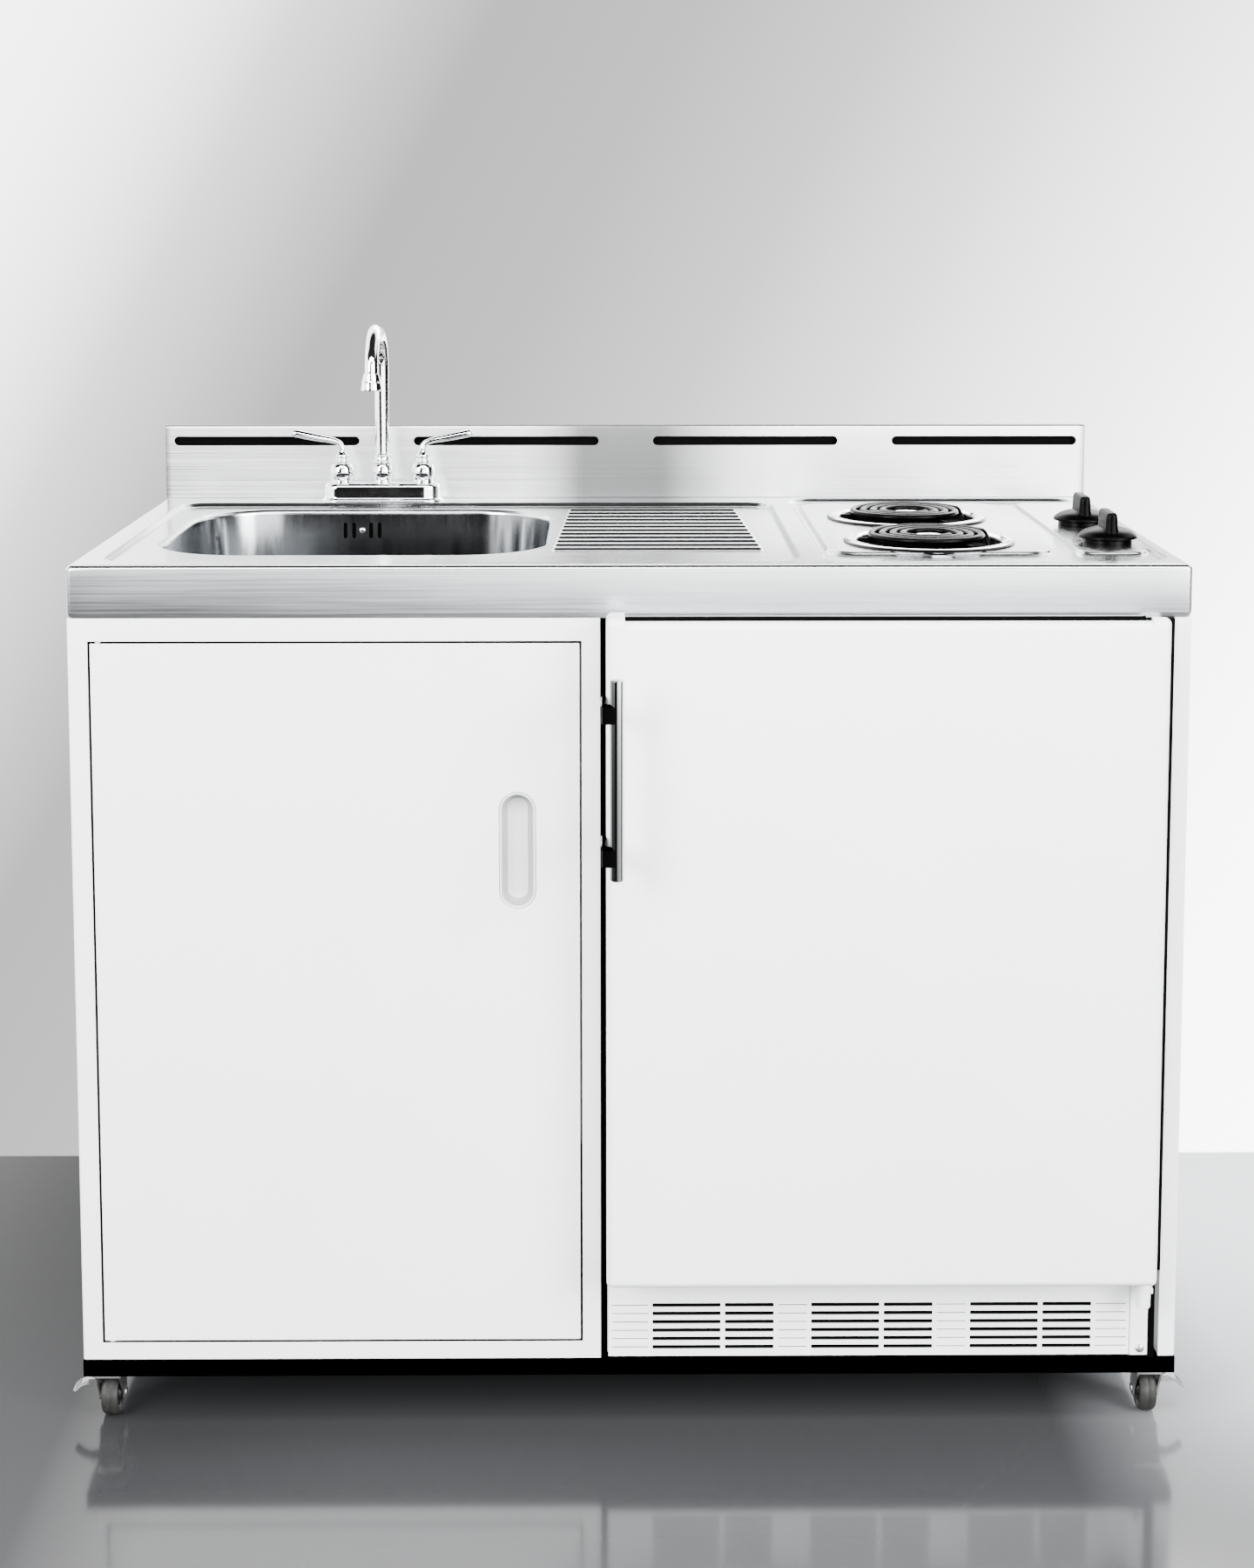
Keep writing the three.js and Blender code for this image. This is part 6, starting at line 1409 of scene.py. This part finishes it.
def makeCooler(c):
    x0, x1, y0, y1, z0, z1 = c["case"]
    cx0, cx1, cy0, cy1, cz0, cz1 = c["cavity"]
    humpFront, humpTop = c["hump"]
    e, plinth = c["edge"], c["plinth"]
    case = carved(
        box(x0, x1, y0, y1, z0, z1), box(cx0, cx1, cy0 - 4, humpFront, cz0, cz1),
        box(cx0, cx1, humpFront - 1, cy1, humpTop, cz1), box(x0 - 3, x1 + 3, -4, 10.3, z0 - 3, plinth),
        box(x0 + e, x1 - e, 10, y1 - 120, z0 + 4, plinth - 8),
        box(x0 + e, x1 - e, humpFront + 35, y1 + 4, z0 + 4, humpTop - 35))
    makePiece("coolerCase", case, "fridge", "fridge_cabinet", bevel=1.1)
    feet = [lathe(x, y, [
        (0, unit["platform"], 0), (15, unit["platform"], 1), (16, unit["platform"] + 1.6, 0.4),
        (14, z0 + 0.6, 0), (0, z0 + 0.6, 0)], 3, 28) for x in (x0 + 40, x1 - 40) for y in c["feet"]]
    makePiece("coolerFeet", merged(*feet), "black", sharp=40)
    t = 1.2
    lining = carved(
        box(cx0 + 0.1, cx1 - 0.1, 0.4, cy1 - 0.1, cz0 + 0.1, cz1 - 0.1),
        slab((cx0 + t, cx1 - t, cz0 + t, cz1 - t, 9), -4, humpFront - t, "y", 6),
        slab((cx0 + t, cx1 - t, humpTop + t, cz1 - t, 9), humpFront - 40, cy1 - t, "y", 6))
    steps = []
    for z in c["shelves"]:
        for a, b in ((cx0 + 0.4, cx0 + c["ledge"]), (cx1 - c["ledge"], cx1 - 0.4)):
            steps.append(box(a, b, c["ledgeFront"], cy1 - 0.6, z - 7, z))
    makePiece("coolerLining", merged(lining, *steps), "liner", bevel=0.8)

    fx0, fx1, fy0, fy1, fz0, fz1 = c["freezer"]
    chest = carved(slab((fx0, fx1, fz0, fz1, 6), fy0, fy1, "y", 5), slab(
        (fx0 + 3, fx1 - 3, fz0 + 3, fz1 - 3, 4), fy0 - 4, fy1 - 3, "y", 5))
    channels = [swept(
        [(fx0 + 26, fy0 + 30 + 44 * k, fz0 - 0.2), (fx1 - 26, fy0 + 30 + 44 * k, fz0 - 0.2)],
        lambda s: [(a * 1.6, b) for a, b in roundSection(2.2, 12)], (0, 1, 0)) for k in range(7)]
    makePiece(
        "freezerChest", merged(chest, *channels), "galvanised", "freezer_box", bevel=0.5)
    plate = loft([upright(roundLoop((fx0, fx1, fz0, fz1 - 1.6, 7), grow, 6), y) for y, grow in (
        (fy0 - 0.3, 0), (fy0 - 6.6, 0), (fy0 - 8, -0.5), (fy0 - 8.3, -1.8), (fy0 - 8.3, -9),
        (fy0 - 7.4, -11), (fy0 - 7.4, -13))])
    mid = (fx0 + fx1) / 2
    grip = extruded(softened([
        (fy0 - 7, fz1 - 22, 0), (fy0 - 14.6, fz1 - 22, 2), (fy0 - 16.3, fz1 - 18.5, 2),
        (fy0 - 15.6, fz1 - 14, 1.6), (fy0 - 12, fz1 - 15.6, 2), (fy0 - 7, fz1 - 15, 0)], 4, closed=True),
        mid - 40, mid + 40, "x")
    makePiece(
        "freezerFlap", merged(plate, grip), "liner", "freezer_flap", bevel=0.5, sharp=45)

    z = c["shelves"][0] + 0.3
    sx0, sx1, sy0, sy1 = cx0 + 1.6, cx1 - 1.6, c["ledgeFront"] + 2, cy1 - 1.8
    rods = []
    rim = roundLoop((sx0 + 2.6, sx1 - 2.6, sy0 + 2.6, sy1 - 2.6, 12), 0, 6)
    rim = [(a, b, z + 2.6) for a, b in rim]
    rods.append(swept(rim + rim[:2], lambda s: roundSection(2.5, 12), (0, 0, 1)))
    for k in range(1, 27):
        x = sx0 + (sx1 - sx0) * k / 27
        rods.append(rod(x, z + 3.4, 1.5, sy0 + 1.5, sy1 - 1.5, 10, axis="y"))
    for y in (sy0 + 95, (sy0 + sy1) / 2, sy1 - 95):
        rods.append(rod(y, z + 1.4, 1.3, sx0 + 1.5, sx1 - 1.5, 10, axis="x"))
    makePiece("wireShelf", merged(*rods), "liner", "wire_shelf", sharp=50)
    z = c["shelves"][1] + 0.3
    glass = slab((sx0, sx1, sy0, sy1, 6), z, z + 5, "z", 5)
    makePiece("crisperShelf", glass, "clear", "crisper_shelf", bevel=1.2)
    dx0, dx1, dy0, dy1, dz0, dz1 = c["drawer"]

    def drawerRing(grow, z, radius):
        return level(roundLoop((dx0, dx1, dy0, dy1, radius), grow, 8), z)

    shell = loft([
        drawerRing(-12, dz0 + 0.1, 20), drawerRing(-8, dz0 + 3, 20), drawerRing(-2.4, dz1 - 8, 18),
        drawerRing(-2.2, dz1 - 3, 18), drawerRing(0, dz1 - 2.4, 18), drawerRing(0, dz1, 18),
        drawerRing(-4.2, dz1, 18), drawerRing(-4.6, dz1 - 4, 18), drawerRing(-10, dz0 + 5, 20),
        drawerRing(-14, dz0 + 2.6, 20)])
    makePiece("crisperDrawer", shell, "clear", "crisper_drawer", sharp=45)

    x, y, z, r = c["compressor"]
    can = lathe(x, y, [
        (0, z + 11.6, 0), (r * 0.66, z + 13, 6), (r * 0.96, z + 28, 8), (r * 0.96, z + 56, 1),
        (r, z + 57, 0.5), (r, z + 60, 0.5), (r * 0.96, z + 61, 0.8), (r * 0.95, z + 84, 8),
        (r * 0.6, z + 102, 14), (0, z + 106, 0)], 6, 64)
    base = box(x - 78, x + 78, y - 40, y + 40, z, z + 3.4)
    flanges = [box(
        x - 78, x + 78, y + s * 40 - 2 * (s > 0), y + s * 40 + 2 * (s < 0), z, z + 9) for s in (-1, 1)]
    posts = [lathe(x + sx * 62, y + sy * 26, [
        (0, z + 3, 0), (9, z + 3, 1), (9, z + 7, 1), (6, z + 9, 1), (8, z + 11, 1), (8, z + 14, 1),
        (0, z + 15, 0)], 3, 24) for sx in (-1, 1) for sy in (-1, 1)]
    makePiece("compressorCan", can, "kettle", "compressor", sharp=40)
    makePiece("compressorTray", merged(base, *flanges), "galvanised", bevel=0.5)
    relay = slab((y - 20, y + 20, z + 36, z + 82, 6), x + r - 12, x + r + 14, "x", 5)
    makePiece("compressorRelay", merged(relay, *posts), "black", bevel=1.2, sharp=40)
    for index, (lift, way) in enumerate(((88, -1), (70, -1))):
        route = curvePoints([
            (x + way * (r - 10), y - 14 + 28 * index, z + lift - 20),
            (x + way * (r + 6), y - 14 + 28 * index, z + lift - 6),
            (x + way * (r + 14), y - 14 + 30 * index, z + lift + 20),
            (x + way * (r + 20), y - 16 + 24 * index, z + lift + 60),
            (x + way * (r + 20), y - 16 + 24 * index, z + lift + 92)], 10)
        makePiece(
            "coolerPipe_%d" % index, swept(route, lambda s: roundSection(3.2, 14), (0, 1, 0)), "copper",
            sharp=60)


makeCooler(cooler)
print("cooler case made")

coolerDoor = {
    "place": (-26, 576, 191.5, 931), "front": -55, "rear": -7, "corner": 7, "edge": 9, "ear": 20,
    "lip": 927, "hinge": (566, -27), "pin": 4, "gasket": (-17, 560, 197.5, 900.5),
    "liner": (23, 521, 235, 869), "bins": (263, 473, 683), "binDeep": 62, "binHigh": 70,
    "bar": (-14.3, -100, 7.5, 661, 875), "brackets": {"upper": (829.3, 847.3), "lower": (676.8, 694.8)}}


def makeCoolerDoor(d):
    x0, x1, z0, z1 = d["place"]
    front, rear, e = d["front"], d["rear"], d["edge"]
    place = (x0, x1, z0, z1, d["corner"])
    rings = [(rear, -0.8), (rear - 0.8, 0), (front + e, 0)]
    rings += [
        (front + e - e * math.sin(a), -e + e * math.cos(a))
        for a in (math.pi / 2 * k / 9 for k in range(1, 10))]
    body = loft([upright(roundLoop(place, grow, 6), y) for y, grow in rings])
    lip = d["lip"]
    edge = [
        (front + 8 - 8 * math.cos(a), lip - 8 + 8 * math.sin(a))
        for a in (math.pi / 2 * k / 7 for k in range(8))]
    dip = softened([
        (rear - 34, lip, 2), (rear - 30, lip - 9.1, 3), (rear - 24, lip - 13, 3),
        (rear - 17, lip - 13, 3), (rear - 11, lip - 9.1, 3), (rear - 7, lip, 2)], 4)
    groove = extruded(
        [(front - 6, lip - 8)] + edge + dip + [(rear + 4, lip), (rear + 4, z1 + 5), (front - 6, z1 + 5)],
        x0 + d["ear"], x1 - d["ear"], "x")
    hx, hy = d["hinge"]
    notch = box(hx - 12, x1 + 4, hy - 15, rear + 4, 915.6, z1 + 5)
    pins = [rod(hx, hy, d["pin"] + 0.3, a, b, 24) for a, b in ((z0 - 3, z0 + 17), (899.6, 919))]
    makePiece(
        "coolerDoor", carved(body, groove, notch, *pins), "fridge", "fridge_door",
        body="fridge_door", bevel=0.6, sharp=40)

    # Painted shadow: a dark strip on the rear wall of the door's top groove.
    grip = [(a, b + 0.25) for a, b in dip if a > rear - 18]
    grip = extruded(
        grip + [(a, b + 0.35) for a, b in reversed(grip)], x0 + d["ear"] + 0.2, x1 - d["ear"] - 0.2, "x")
    makePiece("gripShadow", grip, "inside", body="fridge_door", sharp=50)

    gx0, gx1, gz0, gz1 = d["gasket"]
    seal = (gx0, gx1, gz0, gz1, 16)
    profile = softened([
        (0, rear + 0.3, 0), (0, rear + 2.2, 0.5), (-1.6, rear + 2.9, 0.6), (0, rear + 3.7, 0.8),
        (-1.4, rear + 6.6, 1.2), (-7.5, rear + 5.6, 2), (-13.6, rear + 6.6, 1.2), (-15, rear + 3.7, 0.8),
        (-13.4, rear + 2.9, 0.6), (-15, rear + 2.2, 0.5), (-15, rear + 0.3, 0)], 3, closed=True)
    makePiece(
        "doorGasket", loft([upright(roundLoop(seal, grow, 6), y) for grow, y in profile], closed=True),
        "seal", "door_gasket", body="fridge_door", sharp=50)

    lx0, lx1, lz0, lz1 = d["liner"]
    y = rear + 0.3
    panel = loft([upright(roundLoop((lx0, lx1, lz0, lz1, 14), grow, 8), y + at) for at, grow in (
        (0, 0), (5.2, 0), (6.4, -0.6), (10.5, -3), (11.6, -4), (12, -5.5), (12, -14), (10.2, -17),
        (10.2, -19))])
    makePiece("doorLiner", panel, "liner", "door_liner", body="fridge_door", sharp=45)
    deep, high, t = d["binDeep"], d["binHigh"], 2.6
    for index, z in enumerate(d["bins"]):
        bx0, bx1 = lx0 + 6, lx1 - 6

        def tray(inset, at):
            return level(roundLoop((bx0, bx1, y + 9, y + deep, 7), -inset, 7), at)

        shell = loft([
            tray(1.6, z), tray(0, z + 2), tray(0, z + high - 4), tray(-0.3, z + high - 3),
            tray(-0.3, z + high - 0.6), tray(0.6, z + high), tray(t, z + high - 0.4), tray(t, z + 4),
            tray(t + 1.6, z + t)])
        window = slab((bx0 + 24, bx1 - 24, z + 27, z + high - 20, 8), y + deep - 8, y + deep + 6, "y", 6)
        makePiece(
            "doorBin_%d" % (index + 1), carved(shell, window), "liner",
            body="fridge_door", bevel=0.4, sharp=45)

    bx, by, r, low, high = d["bar"]
    # The handle bar carries painted reflection stripes.
    makePiece(
        "handleBar", lathe(bx, by, [(0, low, 0), (r, low, 1.4), (r, high, 1.4), (0, high, 0)], 6, 48),
        "satinBarPaintedReflection", "handle_bar", body="fridge_door", sharp=40)
    left = x0 - 0.3
    for spot, (low, high) in d["brackets"].items():
        outline = softened([
            (left, -16, 0.8), (left - 4.4, -16, 2), (left - 4.4, by - r, 3), (bx, by - r, 0),
            (bx, by + r + 3.4, 0), (left + 1, by + r + 3.4, 2), (left - 0.6, by + r + 8, 3),
            (left, front - 3, 0.6)], 5, closed=True)
        shape = carved(extruded(outline, low, high, "z"), rod(bx, by, r + 0.2, low - 4, high + 4, 48))
        screws = [lathe(at, (low + high) / 2, [
            (0, left - 6, 0), (2, left - 6, 0.8), (3.6, left - 4.6, 0.5), (3.6, left - 4, 0),
            (0, left - 4, 0)], 3, 24, axis="x") for at in (-24, -42)]
        # The brackets' tops are painted pitch black, as painted shade.
        makePiece(
            "handleBracket_" + spot, shape, "black", "handle_bracket_" + spot,
            body="fridge_door", bevel=0.7, sharp=40, second="boardBlackAndShade", where=lambda x, y, z: z > high - 1)
        makePiece(
            "handleScrews_" + spot, merged(*screws), "zinc", body="fridge_door",
            sharp=40)


makeCoolerDoor(coolerDoor)

hinges = {"plateLeft": 557.5, "right": 577, "foot": 91, "knee": 178.5, "pin": 4, "leaf": 3, "top": 916}


def makeHinges(h):
    x, y = coolerDoor["hinge"]
    left, right, knee = h["plateLeft"], h["right"], h["knee"]
    z0, under = h["foot"], coolerDoor["place"][2]
    plates = merged(
        box(left, right, -4, -0.3, z0, knee), box(left, right, -0.6, 9.9, z0, 186),
        box(x - 8, right, y, -0.3, knee - 6, knee),
        lathe(x, y, [
            (0, knee - 20, 0), (8, knee - 20, 1.2), (8, under - 0.5, 0.8), (0, under - 0.5, 0)], 4, 40),
        lathe(x, y, [
            (0, knee, 0), (h["pin"], knee, 0), (h["pin"], under + 14, 1), (0, under + 14, 0)], 4, 32))
    makePiece("hingeLower", plates, "fridge", "hinge_lower", bevel=0.6)
    bolt = lathe(right - 8.4, z0 + 8, [
        (0, -6.6, 0), (2.4, -6.6, 0.8), (4.8, -5, 0.6), (4.8, -3.9, 0), (0, -3.9, 0)], 3, 28, axis="y")
    cross = box(right - 10.6, right - 6.2, -7.5, -5.7, z0 + 7.5, z0 + 8.5)
    makePiece("hingeBolt", carved(bolt, cross), "zinc", sharp=40)
    top, leaf = h["top"], h["leaf"]
    arm = extruded(softened([
        (x - 45, 14, 4), (x - 10, 14, 1), (x - 10, y, 0), (x + 10, y, 0), (x + 10, 70, 4),
        (x - 45, 70, 4)], 5, closed=True), top, top + leaf, "z")
    eye = rod(x, y, 10, top, top + leaf, 40)
    pin = lathe(x, y, [(0, 902.6, 0), (h["pin"], 902.6, 1), (h["pin"], top + 1, 0), (0, top + 1, 0)], 4, 32)
    makePiece("hingeUpper", merged(arm, eye, pin), "zinc", "hinge_upper", bevel=0.35, sharp=40)


makeHinges(hinges)

grille = {
    "place": (-24, 557.2, -2, 10, 91, 186), "banks": 3, "rows": 6, "first": 0.0843, "step": 0.3045,
    "wide": 0.2323, "rib": 0.58, "ribWide": 5, "pitch": 9.7, "slit": 4.2, "drop": 36}


def makeGrille(g):
    x0, x1, y0, y1, z0, z1 = g["place"]
    width, face = x1 - x0, 2.2
    shell = carved(box(x0, x1, y0, y1, z0, z1), box(x0 + 5, x1 - 5, y0 + face, y1 + 4, z0 + 5, z1 - 6))
    tools, scores, fields = [], [], [x0 + 4]
    for bank in range(g["banks"]):
        a = x0 + (g["first"] + bank * g["step"]) * width
        b = a + g["wide"] * width
        mid = a + (b - a) * g["rib"]
        fields += [a - 5, b + 5]
        for row in range(g["rows"]):
            z = z1 - g["drop"] - row * g["pitch"]
            half = g["slit"] / 2
            for left, right in ((a, mid - g["ribWide"] / 2), (mid + g["ribWide"] / 2, b)):
                tools.append(slab((left, right, z - half, z + half, 0.8), y0 - 3, y0 + face + 2, "y", 3))
    fields.append(x1 - 4)
    for row in range(g["rows"]):
        z = z1 - g["drop"] - row * g["pitch"]
        for left, right in zip(fields[::2], fields[1::2]):
            scores.append(extruded([
                (y0 - 3, z - 0.7), (y0 + 0.8, z - 0.4), (y0 + 0.8, z + 0.4), (y0 - 3, z + 0.7)], left,
                right, "x"))
    # The inner faces of the slots are painted grey, as painted shade.
    makePiece(
        "kickGrille", carved(shell, merged(*tools), merged(*scores)), "fridge",
        "kick_grille", bevel=0.25, bevelSteps=2, second="slitShade",
        where=lambda x, y, z: y > y0 + 0.3 and z0 + 8 < z < z1 - 20)
    # Painted shadow: dark slanted strips and a dark sheet behind the grille's slots.
    slats = []
    for row in range(g["rows"] + 1):
        z = z1 - g["drop"] - (row - 0.5) * g["pitch"]
        slats.append(extruded([
            (y0 + face + 0.4, z - 1), (y1 - 1, z + 2.4), (y1 - 1, z + 3.6), (y0 + face + 0.4, z + 0.6)],
            x0 + 6, x1 - 6, "x"))
    makePiece("grilleSlatShadow", merged(*slats), "inside", bevel=0.2)
    makePiece(
        "grilleShade", box(x0 + 6, x1 - 6, y1 + 0.4, y1 + 1.6, z0 + 5, z1 - 6), "inside",
        bevel=0.4)


makeGrille(grille)
print("cooler door, hinges and grille made")

caster = {
    "trail": 14, "radius": 25, "wide": 20, "axle": 4, "sheet": 2.5, "yoke": 53, "plate": 65, "race": 16,
    "kingpin": 5, "ear": 9, "pedal": 22, "pin": 1.6}


def makeCaster(c, spot, x, y):
    axleY, r, half = y + c["trail"], c["radius"], c["wide"] / 2
    forkHalf, sheet, yoke, plate = half + 2, c["sheet"], c["yoke"], c["plate"]
    side = softened([
        (y - 14, yoke + 4, 0), (y - 14, yoke, 2), (axleY - 8.5, r + 2, 6), (axleY - 7, r - 7.6, 6),
        (axleY, r - 9, 4), (axleY + 7, r - 7.6, 6), (axleY + 8.5, r + 2, 6), (y + 17, yoke, 3),
        (y + 17, yoke + 4, 0)], 5)
    legs = [extruded(side, at, at + sheet, "x") for at in (x - forkHalf - sheet, x + forkHalf)]
    crown = slab((x - forkHalf - sheet, x + forkHalf + sheet, y - 14, y + 17, 3), yoke, yoke + 4, "z", 4)
    bolt = lathe(axleY, r, [
        (0, x - forkHalf - sheet - 1.4, 0), (5, x - forkHalf - sheet - 1.4, 1),
        (5, x - forkHalf - sheet, 0), (c["axle"], x - forkHalf - sheet, 0),
        (c["axle"], x + forkHalf + sheet, 0), (5, x + forkHalf + sheet, 0),
        (5, x + forkHalf + sheet + 1.4, 1), (0, x + forkHalf + sheet + 1.4, 0)], 3, 28, axis="x")
    hole = rod(x, y, c["kingpin"] + 0.4, yoke - 3, plate + 3, 24)
    parts = [*legs, bolt, carved(crown, hole)]
    outward = -1 if spot.endswith("left") else 1
    face = x + outward * (forkHalf + sheet)
    pinX, pedalZ = face + outward * 5, r + 22
    if spot.startswith("front"):
        for yEar in (y - c["ear"], y + c["ear"]):
            parts.append(box(
                min(face - outward, pinX + outward * 3), max(face - outward, pinX + outward * 3),
                yEar - 1, yEar + 1, pedalZ - 4, pedalZ + 4))
        parts.append(rod(pinX, pedalZ, c["pin"], y - c["ear"], y + c["ear"], 20, axis="y"))
    makePiece(
        "casterFork_" + spot, merged(*parts), "zinc", "caster_fork_" + spot,
        body="caster_fork_" + spot, bevel=0.4)
    race = lathe(x, y, [
        (c["kingpin"] + 0.4, yoke + 4, 0), (c["race"] - 1, yoke + 4, 0), (c["race"], yoke + 6, 1),
        (c["race"], yoke + 8.4, 1), (c["race"] - 2, yoke + 9, 0.5), (c["race"], yoke + 9.8, 0.5),
        (c["race"] - 1, plate - 0.4, 0.8), (c["kingpin"] + 0.4, plate - 0.4, 0)], 4, 48, closed=True)
    makePiece("casterRace_" + spot, race, "hub", body="caster_fork_" + spot, sharp=45)

    tyre = lathe(axleY, r, [
        (17.6, x - half + 1.8, 0), (20.4, x - half + 0.6, 0.8), (r - 2.4, x - half + 0.4, 1.6),
        (r, x - half + 3.6, 2.4), (r, x - 1.2, 0), (r - 0.5, x - 0.5, 0), (r - 0.5, x + 0.5, 0),
        (r, x + 1.2, 0), (r, x + half - 3.6, 2.4), (r - 2.4, x + half - 0.4, 1.6),
        (20.4, x + half - 0.6, 0.8), (17.6, x + half - 1.8, 0)], 4, 64, closed=True, axis="x")
    core = lathe(axleY, r, [
        (c["axle"] + 0.3, x - half - 1, 0), (8.6, x - half - 1, 0.8), (9.4, x - half + 0.6, 0.6),
        (10.4, x - half + 2.8, 1.5), (16.4, x - half + 2.6, 1), (17.7, x - half + 1.4, 0.4),
        (17.7, x + half - 1.4, 0.4), (16.4, x + half - 2.6, 1), (10.4, x + half - 2.8, 1.5),
        (9.4, x + half - 0.6, 0.6), (8.6, x + half + 1, 0.8), (c["axle"] + 0.3, x + half + 1, 0)], 4, 48,
        closed=True, axis="x")
    makePiece(
        "casterTyre_" + spot, tyre, "tread", "caster_wheel_" + spot,
        body="caster_wheel_" + spot, sharp=45)
    makePiece("casterHub_" + spot, core, "hub", body="caster_wheel_" + spot, sharp=45)
    if not spot.startswith("front"):
        return
    reach = c["pedal"]
    tab = softened([
        (0, pedalZ + 1.6, 1.5), (reach * 0.6, pedalZ - 3.4, 4), (reach, pedalZ - 11.6, 1.2),
        (reach - 3, pedalZ - 13, 0.8), (reach * 0.52, pedalZ - 6.2, 4), (0, pedalZ - 3, 1)], 5,
        closed=True)
    outline = [(pinX + outward * a, b) for a, b in tab]
    plateShape = extruded(outline, y - 6.5, y + 6.5, "y")
    grips = [
        rod(pinX + outward * reach * f, pedalZ - dz, 0.7, y - 5.6, y + 5.6, 12, axis="y")
        for f, dz in ((0.66, 4), (0.76, 5.9), (0.86, 7.8))]
    hub = lathe(pinX, pedalZ, [
        (c["pin"] + 0.3, y - 7.4, 0), (3.6, y - 7.4, 0.8), (3.6, y + 7.4, 0.8),
        (c["pin"] + 0.3, y + 7.4, 0)], 3, 32, closed=True, axis="y")
    bore = rod(pinX, pedalZ, c["pin"] + 0.3, y - 12, y + 12, 24, axis="y")
    makePiece(
        "casterBrake_" + spot, merged(carved(plateShape, bore), hub, *grips), "brakeTab",
        "caster_brake_" + spot, body="caster_brake_" + spot, bevel=0.4, sharp=40)


for spot, (x, y) in carcass["casters"].items():
    makeCaster(caster, spot, x, y)
print("casters made")
